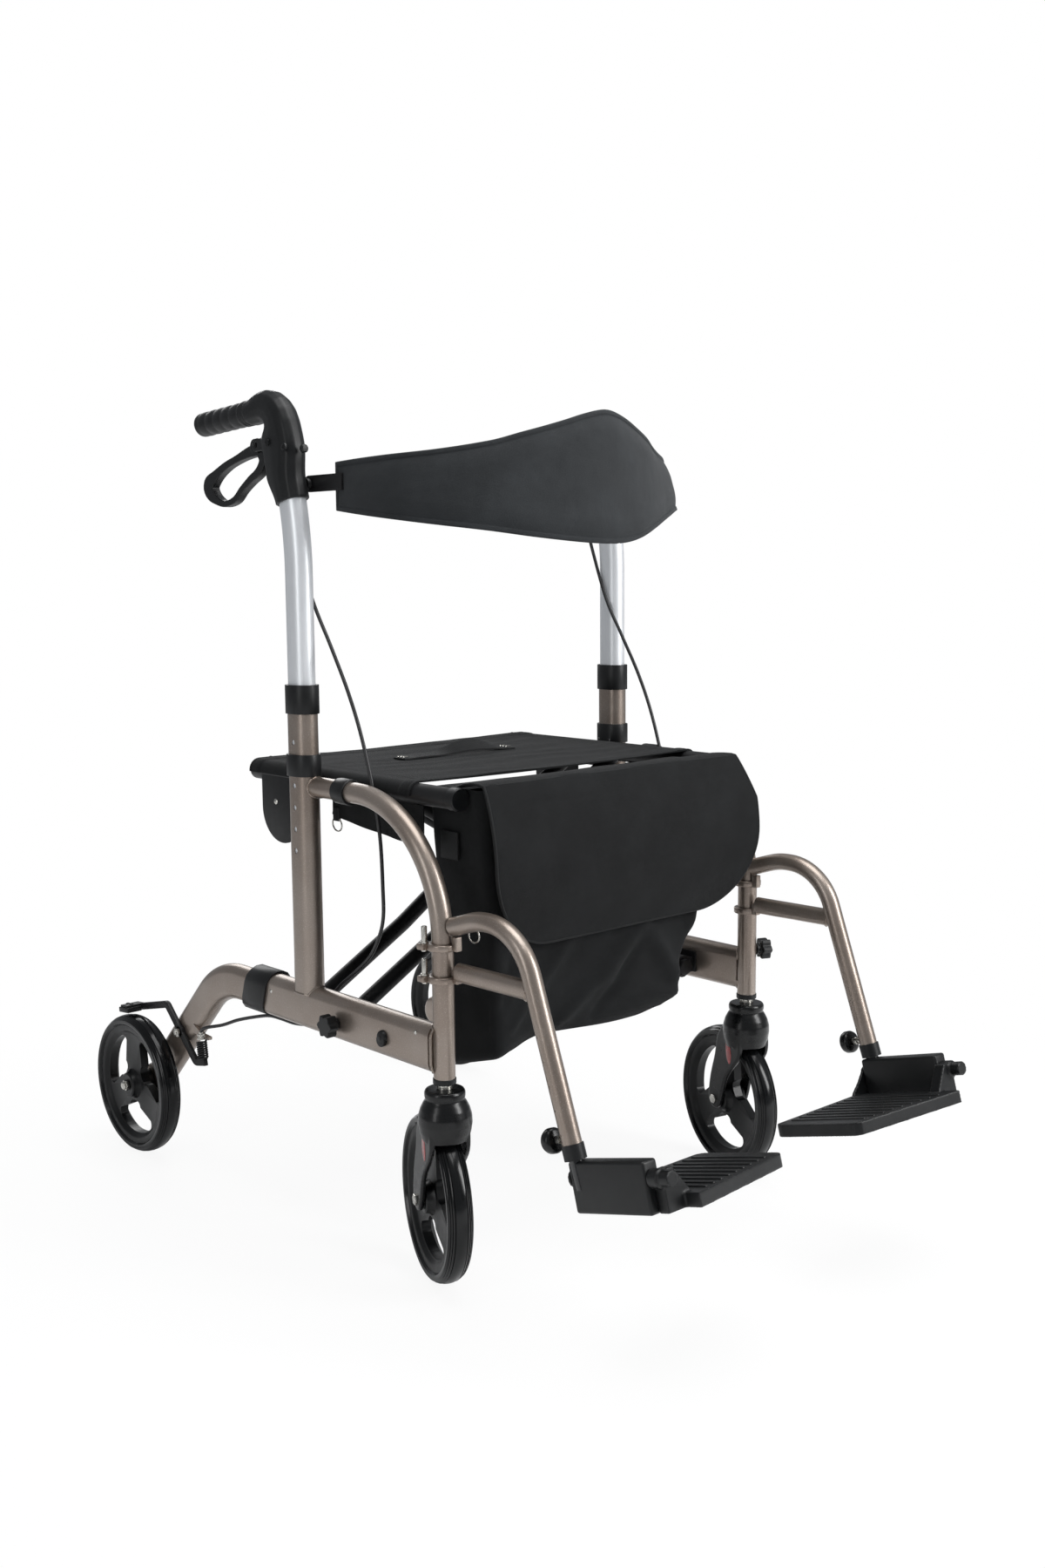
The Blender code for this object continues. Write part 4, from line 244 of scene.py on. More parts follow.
bronze = Finish("bronze_lacquer", rgb(143, 131, 121), 0.34, 0.82, Coat_Weight=0.35, Coat_Roughness=0.12)
flakes = bronze.grain(0.0011, detail=2.0)
drift = bronze.grain(0.09, detail=2.0)
shade = bronze.tint(drift.between(0.3, 0.7), rgb(137, 124, 114), rgb(150, 139, 130))
bronze.feed("Base Color", bronze.tint(flakes.between(0.55, 0.75) * 0.45, shade, rgb(196, 186, 178)))
bronze.feed("Roughness", 0.30 + flakes * 0.10 + drift * 0.05)
bronze.relief((bronze.grain(0.006, detail=1.0), 0.00012), (flakes, 0.00003))


# The side frames are welded from drawn aluminium tube. The low rail is an oval tube, welded to the
# back of the front post, with a bead all the way round.
MERGE = 0.000005


def oval(bm, centre, width, height, across=(1, 0, 0), along=(0, 1, 0), steps=44):
    """A loop of edges round a tube with flat sides: its width runs across, and the tube runs along."""
    verts = bmesh.ops.create_circle(bm, segments=steps, radius=width / 2)["verts"]
    bmesh.ops.rotate(bm, verts=verts, matrix=Matrix.Rotation(math.pi / steps, 3, "Z"))
    for vert in verts:
        vert.co.y += math.copysign((height - width) / 2, vert.co.y)
    across, along = Vector(across), Vector(along)
    basis = Matrix((across, along.cross(across), along)).transposed().to_4x4()
    bmesh.ops.transform(bm, verts=verts, matrix=Matrix.Translation(centre) @ basis)
    return list({edge for vert in verts for edge in vert.link_edges})


def drawn_out(bm, edges, shift):
    """Extrudes a loop by a vector and returns the new loop."""
    grown = bmesh.ops.extrude_edge_only(bm, edges=edges)["geom"]
    verts = [item for item in grown if isinstance(item, bmesh.types.BMVert)]
    bmesh.ops.translate(bm, verts=verts, vec=shift)
    return [item for item in grown if isinstance(item, bmesh.types.BMEdge)]


def loop_verts(edges):
    return list({vert for edge in edges for vert in edge.verts})


def follow(bm, edges, path, sizes=None):
    """Draws a loop along a path, turning it at each point and scaling it to the sizes given."""
    facing = (path[1] - path[0]).normalized()
    scale = 1.0
    for index in range(1, len(path)):
        edges = drawn_out(bm, edges, path[index] - path[index - 1])
        ahead = path[min(index + 1, len(path) - 1)] - path[index - 1]
        turn = facing.rotation_difference(ahead.normalized()).to_matrix()
        bmesh.ops.rotate(bm, verts=loop_verts(edges), cent=path[index], matrix=turn)
        facing = ahead.normalized()
        if sizes:
            grow = sizes[index] / scale
            shift = Matrix.Translation(path[index])
            resize = shift @ Matrix.Scale(grow, 4) @ shift.inverted()
            bmesh.ops.transform(bm, verts=loop_verts(edges), matrix=resize)
            scale = sizes[index]
    return edges


def capped(bm, *loops):
    for loop in loops:
        bmesh.ops.edgeloop_fill(bm, edges=loop)


def tube(path, width, height=None, steps=44, across=(1, 0, 0)):
    """A closed tube along a path, in a mesh of its own."""
    bm = bmesh.new()
    first = oval(bm, path[0], width, height or width, across, (path[1] - path[0]).normalized(), steps)
    last = follow(bm, first, path)
    capped(bm, first, last)
    return bm


def turns(count):
    """The angles round a circle in equal steps, with the first one again at the end."""
    return [2 * math.pi * k / count for k in range(count + 1)]


def bead(points, radius, pitch=0.0022, ripple=0.16):
    """A closed weld bead along points, with the ripple of the laid drops."""
    bm = bmesh.new()
    facing = (points[1] - points[0]).normalized()
    loop = oval(bm, points[0], 2 * radius, 2 * radius, facing.orthogonal().normalized(), facing, 8)
    length, sizes = 0.0, [1.0]
    for before, after in zip(points, points[1:]):
        length += (after - before).length
        sizes.append(1 + ripple * math.sin(2 * math.pi * length / pitch))
    follow(bm, loop, points, sizes)
    return bm


def joined(first, *others):
    """The meshes laid together in the first one."""
    for other in others:
        spare = bpy.data.meshes.new("spare")
        other.to_mesh(spare)
        other.free()
        first.from_mesh(spare)
        bpy.data.meshes.remove(spare)
    return first


def piece(bm, name, body, finish, nodes=(), sharp=35, side=-1, spent=True):
    """A finished piece riding on its body in place of CAD nodes, mirrored if it is for the right side."""
    bmesh.ops.remove_doubles(bm, verts=bm.verts, dist=MERGE)
    bmesh.ops.recalc_face_normals(bm, faces=bm.faces)
    mesh = bpy.data.meshes.new(name)
    bm.to_mesh(mesh)
    if spent:
        bm.free()
    if side > 0:
        mesh.transform(Matrix.Scale(-1, 4, (1, 0, 0)))
        mesh.flip_normals()
    mesh.transform(to_model)
    mesh.shade_smooth()
    mesh.set_sharp_from_angle(angle=math.radians(sharp))
    mesh.materials.append(finish.material)
    made = bpy.data.objects.new(name, mesh)
    bpy.context.scene.collection.objects.link(made)
    if body:
        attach(made, body)
    if nodes:
        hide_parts(*nodes)
    return made


def pair(bm, name, bodies, finish, nodes=(), sharp=35):
    """The left piece and its mirror image. A % in a name stands for the side."""
    if isinstance(bodies, str):
        bodies = (bodies, bodies)
    made = []
    for label, side, body in zip(("left", "right"), (-1, 1), bodies):
        names = [node.replace("%", label) for node in nodes]
        body = body.replace("%", label)
        made.append(piece(bm, f"{name}_{label}", body, finish, names, sharp, side, side > 0))
    return made


FRAME_X = -0.267
RAIL_X, RAIL_Z, RAIL_REAR = -0.270, 0.2905, 0.235
RAIL_WIDTH, RAIL_HEIGHT = 0.028, 0.057
RAIL_FLAT = (RAIL_HEIGHT - RAIL_WIDTH) / 2
POST_Y, POST_RADIUS = -0.130, 0.0127
LAP, WELD = 0.009, 0.0016
rail_path = [Vector((RAIL_X, POST_Y + LAP, RAIL_Z)), Vector((RAIL_X, RAIL_REAR, RAIL_Z))]
rail = tube(rail_path, RAIL_WIDTH, RAIL_HEIGHT)
around = []
for angle in turns(96):
    x = RAIL_X + RAIL_WIDTH / 2 * math.cos(angle)
    z = RAIL_Z + RAIL_WIDTH / 2 * math.sin(angle) + math.copysign(RAIL_FLAT, math.sin(angle))
    reach = math.sqrt(max(POST_RADIUS**2 - (x - FRAME_X) ** 2, 0.000009))
    around.append(Vector((x, POST_Y + reach + 0.0006, z)))
pair(joined(rail, bead(around, WELD)), "rail_tube", "%_frame", bronze, ["rail_%"])

# The rear upright is an oval tube standing on the rail, open inside for the handle tube, with the
# row of locking holes down its outer face.


def bevelled(bm, edges, offset, segments=2, clamp=False):
    """The mesh with the edges rounded off."""
    bmesh.ops.bevel(
        bm,
        geom=edges,
        offset=offset,
        segments=segments,
        profile=0.5,
        affect="EDGES",
        material=-1,
        clamp_overlap=clamp,
    )
    return bm


def placed(bm, name):
    """The mesh as an object of its own, to be reshaped by modifiers."""
    bmesh.ops.recalc_face_normals(bm, faces=bm.faces)
    mesh = bpy.data.meshes.new(name)
    bm.to_mesh(mesh)
    bm.free()
    made = bpy.data.objects.new(name, mesh)
    bpy.context.scene.collection.objects.link(made)
    return made


def reshaped(holder, *tools):
    """The object's mesh as its modifiers leave it. The object and its tools are taken away."""
    bpy.context.view_layer.update()
    result = bpy.data.meshes.new_from_object(holder.evaluated_get(bpy.context.evaluated_depsgraph_get()))
    bm = bmesh.new()
    bm.from_mesh(result)
    bpy.data.meshes.remove(result)
    for spare in (holder, *tools):
        bpy.data.objects.remove(spare, do_unlink=True)
    return bm


def carved(bm, cutters):
    """The mesh less the cutters, by Blender's exact Boolean."""
    solid = placed(bm, "solid")
    tools = [placed(cutter, "cutter") for cutter in cutters]
    for tool in tools:
        cut = solid.modifiers.new("cut", "BOOLEAN")
        cut.operation = "DIFFERENCE"
        cut.solver = "EXACT"
        cut.object = tool
    return reshaped(solid, *tools)


def bar(axis, centre, radius, low, high, steps=32, bevel=0.0):
    """A round bar along X, Y or Z from low to high, with its end edges rounded."""
    bm = bmesh.new()
    sizes = {"segments": steps, "radius1": radius, "radius2": radius, "depth": high - low}
    bmesh.ops.create_cone(bm, cap_ends=True, cap_tris=False, **sizes)
    if bevel:
        rims = [edge for edge in bm.edges if abs(edge.verts[0].co.z - edge.verts[1].co.z) < 1e-9]
        bevelled(bm, rims, bevel, 3)
    point = list(centre)
    point.insert("XYZ".index(axis), (low + high) / 2)
    turn = Matrix.Rotation(0 if axis == "Z" else math.pi / 2, 4, "Y" if axis == "X" else "X")
    bmesh.ops.transform(bm, verts=bm.verts, matrix=Matrix.Translation(point) @ turn)
    return bm


UPRIGHT_X, UPRIGHT_Y, UPRIGHT_LOW, UPRIGHT_HIGH = -0.271, 0.131, 0.3075, 0.690
UPRIGHT_WIDTH, UPRIGHT_DEPTH = 0.031, 0.042
UPRIGHT_FLAT = (UPRIGHT_DEPTH - UPRIGHT_WIDTH) / 2
BORE_WIDTH, BORE_DEPTH, BORE_LOW = 0.0288, 0.0388, 0.325
HOLE_RADIUS, HOLE_LOW, HOLE_PITCH, HOLES = 0.0035, 0.491, 0.027, 6
upright_path = [Vector((UPRIGHT_X, UPRIGHT_Y, z)) for z in (UPRIGHT_LOW, UPRIGHT_HIGH)]
bore_path = [Vector((UPRIGHT_X, UPRIGHT_Y, z)) for z in (BORE_LOW, UPRIGHT_HIGH + 0.01)]
cutters = [tube(bore_path, BORE_WIDTH, BORE_DEPTH)]
for k in range(HOLES):
    hole = (UPRIGHT_Y, HOLE_LOW + HOLE_PITCH * k)
    cutters.append(bar("X", hole, HOLE_RADIUS, UPRIGHT_X - 0.03, UPRIGHT_X - 0.008, 24))
upright = carved(tube(upright_path, UPRIGHT_WIDTH, UPRIGHT_DEPTH), cutters)
around = []
for angle in turns(96):
    x = UPRIGHT_X + (UPRIGHT_WIDTH / 2 + 0.0002) * math.cos(angle)
    y = UPRIGHT_Y + UPRIGHT_WIDTH / 2 * math.sin(angle) + math.copysign(UPRIGHT_FLAT, math.sin(angle))
    across = min(abs(x - RAIL_X) / (RAIL_WIDTH / 2), 1.0)
    z = RAIL_Z + RAIL_FLAT + RAIL_WIDTH / 2 * math.sqrt(1 - across**2)
    around.append(Vector((x, y, max(z, 0.3090))))
pair(joined(upright, bead(around, WELD)), "upright_tube", "%_frame", bronze, ["rear_upright_%"])

# The front post is a round tube bent back at the top into the arch. The arch is welded to the upright,
# with a bead round its end.


def rounded(points, radii, steps=10):
    """Straight runs through the points, with each corner rounded to its radius."""
    path = [Vector(points[0])]
    for before, corner, after, radius in zip(points, points[1:], points[2:], radii):
        before, corner, after = Vector(before), Vector(corner), Vector(after)
        inward, outward = (before - corner).normalized(), (after - corner).normalized()
        half = inward.angle(outward) / 2
        middle = corner + (inward + outward).normalized() * radius / math.sin(half)
        start = corner + inward * radius / math.tan(half) - middle
        axis = outward.cross(inward).normalized()
        turn = math.pi - 2 * half
        path += [middle + Matrix.Rotation(turn * k / steps, 3, axis) @ start for k in range(steps + 1)]
    return path + [Vector(points[-1])]


ARCH_Z, ARCH_RADIUS, POST_FOOT = 0.571, 0.155, 0.2525
corners = [(FRAME_X, UPRIGHT_Y - 0.012, ARCH_Z), (FRAME_X, POST_Y, ARCH_Z), (FRAME_X, POST_Y, POST_FOOT)]
arch = tube(rounded(corners, [ARCH_RADIUS], 24), 2 * POST_RADIUS)
around = []
for angle in turns(72):
    x = FRAME_X + POST_RADIUS * math.cos(angle)
    dip = math.sqrt((UPRIGHT_WIDTH / 2) ** 2 - min(abs(x - UPRIGHT_X), 0.0150) ** 2)
    front = UPRIGHT_Y - UPRIGHT_FLAT - dip
    around.append(Vector((x, front - 0.0006, ARCH_Z + POST_RADIUS * math.sin(angle))))
pair(joined(arch, bead(around, 0.0017)), "arch_tube", "%_frame", bronze, ["front_post_%"])

# The rear leg is a slimmer oval tube that runs back out of its sleeve, bends down and ends at the
# axle, with a small welded plate that stops the brake cable.


def thickened(bm, shift):
    """Draws a flat mesh out by a vector into a solid."""
    grown = bmesh.ops.extrude_face_region(bm, geom=list(bm.faces))["geom"]
    far_side = [item for item in grown if isinstance(item, bmesh.types.BMVert)]
    bmesh.ops.translate(bm, verts=far_side, vec=shift)
    return bm


def plate(outline, x, thick):
    """A flat plate across X, drawn out from its outline of (y, z) points."""
    bm = bmesh.new()
    bm.faces.new([bm.verts.new((x, y, z)) for y, z in outline])
    return thickened(bm, (thick, 0, 0))


LEG_X, LEG_Z, LEG_WIDTH, LEG_HEIGHT, LEG_BEND = -0.264, 0.288, 0.026, 0.048, 0.116
LEG_SIDE = LEG_X - LEG_WIDTH / 2
AXLE_Z = 0.100
slope = math.radians(45)
corner = Vector((LEG_X, 0.300 + LEG_BEND * math.tan(slope / 2), LEG_Z))
foot = corner + Vector((0, math.cos(slope), -math.sin(slope))) * (LEG_Z - AXLE_Z) / math.sin(slope)
leg = tube(rounded([(LEG_X, 0.236, LEG_Z), corner, foot], [LEG_BEND], 16), LEG_WIDTH, LEG_HEIGHT)
knuckle = bar("X", (foot.y, foot.z), LEG_HEIGHT / 2, LEG_SIDE, LEG_SIDE + LEG_WIDTH, 40, 0.006)
SPRING_TOP = Vector((-0.2850, 0.3765, 0.1965))
SPRING_WAY = Vector((0, -0.12, -0.993)).normalized()
stop_line = [(-0.007, -0.001), (0.010, -0.001), (0.032, 0.002), (0.032, 0.014), (0.010, 0.004)]
stop_line += [(-0.007, 0.003)]
stop = plate([(SPRING_TOP.y + y, SPRING_TOP.z + z) for y, z in stop_line], LEG_SIDE - 0.0012, 0.006)
pair(joined(leg, knuckle, stop), "leg_tube", "%_frame", bronze, ["rear_leg_%"])


# Small steel: the axles with their domed nuts, the brake pivots, the cable adjusters and the rivets,
# zinc plated and slightly yellow.
steel = Finish("plated_steel", rgb(192, 190, 184), 0.24, 1.0)
steel.feed("Roughness", 0.18 + steel.grain(0.004) * 0.16)
steel.feed("Base Color", steel.tint(steel.grain(0.02), rgb(170, 168, 162), rgb(208, 206, 200)))


def bars(axis, centre, *rods):
    """Bars on one line. Each rod is its radius, its ends, its number of sides and its rounding."""
    bm = bmesh.new()
    for rod in rods:
        joined(bm, bar(axis, centre, *rod))
    return bm


def aimed(bm, place, way):
    """Turns a piece drawn up Z into a direction and moves it to its place."""
    turn = way.to_track_quat("Z", "Y").to_matrix().to_4x4()
    bmesh.ops.transform(bm, verts=bm.verts, matrix=Matrix.Translation(place) @ turn)
    return bm


WHEEL_X = -0.2965
ARM_X, ARM_Y, ARM_Z, ARM_THICK = -0.2834, 0.4404, 0.1935, 0.0060
axle = bars(
    "X",
    (REAR_AXLE_Y, AXLE_Z),
    (0.0042, -0.3195, LEG_X, 24, 0.0008),
    (0.0082, -0.3188, -0.3148, 6, 0.0007),
    (0.0060, -0.3222, -0.3180, 24, 0.0024),
    (0.0080, -0.2785, -0.2765, 24),
)
arm_nut, arm_bolt = (0.0066, -0.2885, -0.2842, 6, 0.0006), (0.0038, -0.2902, -0.2700, 20, 0.0008)
joined(axle, bars("X", (ARM_Y, ARM_Z), arm_nut, arm_bolt))
pair(axle, "axle", "%_frame", steel)
adjuster = bars(
    "Z",
    (0, 0),
    (0.0030, -0.0110, -0.0080, 20, 0.0004),
    (0.0050, -0.0082, -0.0052, 6, 0.0004),
    (0.0046, -0.0052, -0.0026, 20, 0.0004),
    (0.0058, -0.0028, 0.0000, 6, 0.0004),
)
aimed(adjuster, SPRING_TOP, SPRING_WAY)
pair(adjuster, "cable_adjuster", "%_frame", steel)


# Moulded black plastic: glass-filled nylon with a fine spark texture and a slow drift in tone, for the
# fittings, housings and footplates.
moulded = Finish("moulded_nylon", (0.006, 0.0065, 0.007), 0.40, Specular_IOR_Level=0.32)
drift = moulded.grain(0.05).between(0.3, 0.7)
moulded.feed("Base Color", moulded.tint(drift, (0.0045, 0.005, 0.0055), (0.0085, 0.009, 0.0095)))
moulded.feed("Roughness", 0.34 + moulded.grain(0.015) * 0.14)
moulded.relief((moulded.grain(0.0006, detail=1.0), 0.00006))


def from_cad(node, bevel=0.0005):
    """A CAD node's own mesh, merged and with its flat faces cleaned, as a bmesh in the drawing's place."""
    bm = bmesh.new()
    bm.from_mesh(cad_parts[node].data)
    bmesh.ops.remove_doubles(bm, verts=bm.verts, dist=0.00002)
    bmesh.ops.dissolve_limit(bm, angle_limit=math.radians(1.5), verts=bm.verts, edges=bm.edges)
    if bevel:
        sharp = [e for e in bm.edges if len(e.link_faces) == 2 and e.calc_face_angle(0) > math.radians(32)]
        bevelled(bm, sharp, bevel, clamp=True)
    bmesh.ops.transform(bm, verts=bm.verts, matrix=to_model.inverted())
    return bm


# Plastic fittings on the side frame: the sleeve between rail and leg, the collar that guides the
# handle tube, the saddle and the clip that the seat tubes come down on, and the post's lower bearing.
for node, edge in (
    ("leg_collar", 0.0012),
    ("upright_collar", 0.0010),
    ("seat_saddle", 0.0008),
    ("seat_clip", 0.0010),
):
    fitting = from_cad(f"{node}_left", edge)
    pair(fitting, f"{node}_moulding", "%_frame", moulded, [f"{node}_%"])
bearing = bar("Z", (FRAME_X, POST_Y), 0.0136, POST_FOOT - 0.0016, POST_FOOT + 0.0050, 44, 0.0008)
pair(bearing, "post_bearing", "%_frame", moulded)


# Black steel, powder coated satin: the hinge brackets on the rails, whose bolts have round caps, and
# the folding cross. Each half of the cross is two bent tubes, welded low to a hinge tube and high to
# the seat tube of the other side, which carries a half-round guide plate and a round front cap.
powder = Finish("powder_coat", (0.006, 0.006, 0.0065), 0.36, Specular_IOR_Level=0.34)
powder.feed("Roughness", 0.40 + powder.grain(0.01) * 0.16)
powder.relief((powder.grain(0.0018, detail=1.0), 0.00005))


def turned(profile, steps, axis="Z"):
    """An open outline of (radius, height) points spun round Z, or round X."""
    bm = bmesh.new()
    verts = [bm.verts.new((radius, 0, height)) for radius, height in profile]
    edges = [bm.edges.new(both) for both in zip(verts, verts[1:])]
    bmesh.ops.spin(
        bm,
        geom=verts + edges,
        cent=(0, 0, 0),
        axis=(0, 0, 1),
        angle=2 * math.pi,
        steps=steps,
        use_merge=True,
    )
    bmesh.ops.remove_doubles(bm, verts=bm.verts, dist=MERGE)
    if axis == "X":
        bmesh.ops.rotate(bm, verts=bm.verts, matrix=Matrix.Rotation(math.pi / 2, 3, "Y"))
    return bm


def shifted(bm, shift):
    bmesh.ops.translate(bm, verts=bm.verts, vec=shift)
    return bm


def leaned(bm, angle, axis, cent):
    bmesh.ops.rotate(bm, verts=bm.verts, cent=cent, matrix=Matrix.Rotation(angle, 3, axis))
    return bm


def button(profile, steps, place):
    """A turned button standing out from the chair's left side, with the middle of its foot at a place."""
    return shifted(leaned(turned(profile, steps, "X"), math.pi, "Z", (0, 0, 0)), place)


BOLT_CAP = [(0, 0.0054), (0.0040, 0.0053), (0.0066, 0.0044), (0.0079, 0.0026), (0.0082, 0)]
for label in ("left", "right"):
    node = f"brace_bracket_{label}"
    piece(from_cad(node, 0.0006), f"hinge_bracket_{label}", f"{label}_frame", powder, [node])
for label, side, place, y in (
    ("left", -1, "front", -0.037),
    ("right", 1, "front", -0.037),
    ("right", 1, "rear", 0.057),
):
    x, z = RAIL_X - RAIL_WIDTH / 2, RAIL_Z - 0.0015
    socket = bar("X", (y, z), 0.0030, x - 0.0060, x - 0.0048, 6, 0.0004)
    cap = joined(button(BOLT_CAP, 40, (x, y, z)), socket)
    piece(cap, f"bolt_cap_{label}_{place}", f"{label}_frame", moulded, side=side)

SEAT_X, HINGE_Z, SEAT_Z, SEAT_RADIUS = -0.234, 0.285, 0.575, 0.0125
TUBE_FRONT, TUBE_REAR = -0.114, 0.292
PIVOT_Z = (HINGE_Z + SEAT_Z) / 2
CROSS_TUBE, HINGE_RADIUS, PIVOT_RADIUS, PIN_RADIUS = 0.021, 0.011, 0.0125, 0.006
GUIDE_Y, GUIDE_Z, GUIDE_RADIUS, GUIDE_THICK = 0.221, 0.530, 0.045, 0.003


def cross_bar(y):
    """One tube of the cross, from the left hinge up to the right seat tube, flatter low down."""
    low, high = Vector((SEAT_X, y, HINGE_Z)), Vector((-SEAT_X, y, SEAT_Z))
    run = high - low
    bent = low + run * 0.30 + Vector((0, 0, -0.0065))
    upper = low + run * 0.72 + Vector((0, 0, 0.0040))
    return tube(rounded([low, bent, upper, high], [0.16, 0.20], 8), CROSS_TUBE, steps=28, across=(0, 1, 0))


def seat_tube(x):
    """The tube along the seat's edge with its open back end, and the plate that hangs from it."""
    hollow = bar("Y", (x, SEAT_Z), 0.0108, TUBE_REAR - 0.03, TUBE_REAR + 0.01, 32)
    edge_tube = carved(bar("Y", (x, SEAT_Z), SEAT_RADIUS, TUBE_FRONT, TUBE_REAR, 40, 0.0008), [hollow])
    outline = [(GUIDE_Y - GUIDE_RADIUS, SEAT_Z), (GUIDE_Y + GUIDE_RADIUS, SEAT_Z)]
    for angle in turns(48)[:25]:
        y, z = GUIDE_Y + GUIDE_RADIUS * math.cos(angle), GUIDE_Z - GUIDE_RADIUS * math.sin(angle)
        outline.append((y, z))
    guide = plate(outline, x + math.copysign(0.0105, x) - GUIDE_THICK / 2, GUIDE_THICK)
    rim = [edge for edge in guide.edges if abs(edge.verts[0].co.x - edge.verts[1].co.x) < 1e-6]
    return joined(edge_tube, bevelled(guide, rim, 0.0006))


half_a = joined(
    cross_bar(0.085),
    cross_bar(0.165),
    bar("Y", (SEAT_X, HINGE_Z), HINGE_RADIUS, -0.050, 0.180, 32, 0.0008),
    bar("Y", (0, PIVOT_Z), PIN_RADIUS, -0.031, 0.085, 24),
    bar("Y", (0, PIVOT_Z), PIVOT_RADIUS, 0.039, 0.165, 32, 0.0008),
    seat_tube(-SEAT_X),
)
piece(half_a, "cross_tubes_a", "brace_a", powder, ["cross_brace_a"], 40)
rear_half = joined(cross_bar(-0.014), cross_bar(0.020))
bmesh.ops.scale(rear_half, verts=rear_half.verts, vec=(-1, 1, 1))
half_b = joined(
    rear_half,
    bar("Y", (-SEAT_X, HINGE_Z), HINGE_RADIUS, -0.050, 0.070, 32, 0.0008),
    bar("Y", (0, PIVOT_Z), PIVOT_RADIUS, -0.029, 0.0385, 32, 0.0008),
    seat_tube(SEAT_X),
)
piece(half_b, "cross_tubes_b", "brace_b", powder, ["cross_brace_b"], 40)
BRACES = ("brace_b", "brace_a")
TUBE_CAP = [(0, 0.0015), (0.0085, 0.0010), (0.0122, 0), (0.0137, 0.0014), (0.0137, 0.0125)]
TUBE_CAP += [(0.0126, 0.0135), (0, 0.0135)]
cap = leaned(turned(TUBE_CAP, 40), -math.pi / 2, "X", (0, 0, 0))
shifted(cap, (SEAT_X, TUBE_FRONT - 0.0115, SEAT_Z))
pair(cap, "seat_tube_cap", BRACES, moulded)
rivet = button([(0, 0.0016), (0.0022, 0.0013), (0.0038, 0)], 24, (SEAT_X - 0.0120, 0.2345, 0.538))
pair(rivet, "guide_rivet", BRACES, steel)

# The brake arm is a bent flat bar on a pivot bolted to the leg. Its pad, which presses on the tyre, is
# held by two rivets.


def slab(low, high, bevel=0.0, segments=3):
    """A box between two corners with its edges rounded."""
    bm = bmesh.new()
    bmesh.ops.create_cube(bm, size=1)
    size = [b - a for a, b in zip(low, high)]
    middle = [(a + b) / 2 for a, b in zip(low, high)]
    bmesh.ops.transform(bm, verts=bm.verts, matrix=Matrix.Translation(middle) @ Matrix.Diagonal((*size, 1)))
    if bevel:
        bevelled(bm, bm.edges, bevel, segments)
    return bm


def ribbon(line, low_x, thick):
    """A flat bar across X. Each point of its middle line is (width, y, z)."""
    bm, pairs = bmesh.new(), []
    for index, spot in enumerate(line):
        before, after = line[max(index - 1, 0)], line[min(index + 1, len(line) - 1)]
        way = Vector((0, after.y - before.y, after.z - before.z)).normalized()
        aside = Vector((0, way.z, -way.y)) * spot.x / 2
        middle = Vector((low_x, spot.y, spot.z))
        pairs.append((bm.verts.new(middle + aside), bm.verts.new(middle - aside)))
    for (a, b), (c, d) in zip(pairs, pairs[1:]):
        bm.faces.new((a, c, d, b))
    thickened(bm, (thick, 0, 0))
    bmesh.ops.remove_doubles(bm, verts=bm.verts, dist=0.00001)
    return bm


ARM_WIDTH, ARM_HEIGHTS = 0.0100, ((0.3740, 0.1640), (0.4000, 0.1585), (0.4740, 0.2265), (0.5640, 0.2050))
PAD_Y, PAD_Z, PAD_DEEP, PAD_LEAN = 0.5540, 0.2030, 0.0105, math.radians(-6)
arm_line = rounded([(ARM_WIDTH, y, z) for y, z in ARM_HEIGHTS], [0.010, 0.008], 6)
arm = ribbon(arm_line, ARM_X, ARM_THICK)
bevelled(arm, [edge for edge in arm.edges if edge.calc_face_angle(0) > math.radians(40)], 0.0008)
joined(arm, bar("X", (ARM_Y, ARM_Z), 0.0085, ARM_X, ARM_X + ARM_THICK, 32, 0.0008))
sole = slab((-0.3075, PAD_Y - 0.013, PAD_Z), (-0.2845, PAD_Y + 0.013, PAD_Z + 0.0075), 0.0012)
bridge = slab((-0.3060, PAD_Y - 0.010, PAD_Z + 0.0075), (-0.2774, PAD_Y + 0.010, PAD_Z + PAD_DEEP), 0.0008)
studs = bmesh.new()
for y in (PAD_Y - 0.0055, PAD_Y + 0.0055):
    stud = turned([(0, 0.0019), (0.0017, 0.0016), (0.0030, 0.0006), (0.0032, 0)], 20)
    joined(studs, shifted(stud, (WHEEL_X, y, PAD_Z + PAD_DEEP)))
for part in (sole, bridge, studs):
    leaned(part, PAD_LEAN, "X", (0, PAD_Y, PAD_Z))
pair(joined(arm, sole, bridge), "brake_bar", "brake_arm_%", powder, ["brake_arm_%"])
pair(studs, "pad_rivets", "brake_arm_%", powder)

# Spring and cable. The spring is blackened wire wound in close curls round the cable's end. The cable is
# a black sheath from the handle, behind the upright and under the rail to the brake arm.
SPRING_LENGTH, CURLS, SPRING_RADIUS, SPRING_WIRE, SPRING_END = 0.0290, 8, 0.0064, 0.0026, 0.0020
curl_path = []
spring_side = Vector((1, 0, 0))
spring_rise = SPRING_WAY.cross(spring_side)
for k in range(CURLS * 20 + 1):
    angle = 2 * math.pi * k / 20
    centre = SPRING_TOP + SPRING_WAY * (SPRING_END + (SPRING_LENGTH - 2 * SPRING_END) * k / (CURLS * 20))
    outward = spring_side * math.cos(angle) + spring_rise * math.sin(angle)
    curl_path.append(centre + outward * SPRING_RADIUS)
spring = bmesh.new()
along = (curl_path[1] - curl_path[0]).normalized()
loop = oval(spring, curl_path[0], SPRING_WIRE, SPRING_WIRE, along.orthogonal().normalized(), along, 10)
capped(spring, loop, follow(spring, loop, curl_path))
pair(spring, "return_spring", "%_frame", powder, ["brake_spring_%"], sharp=60)

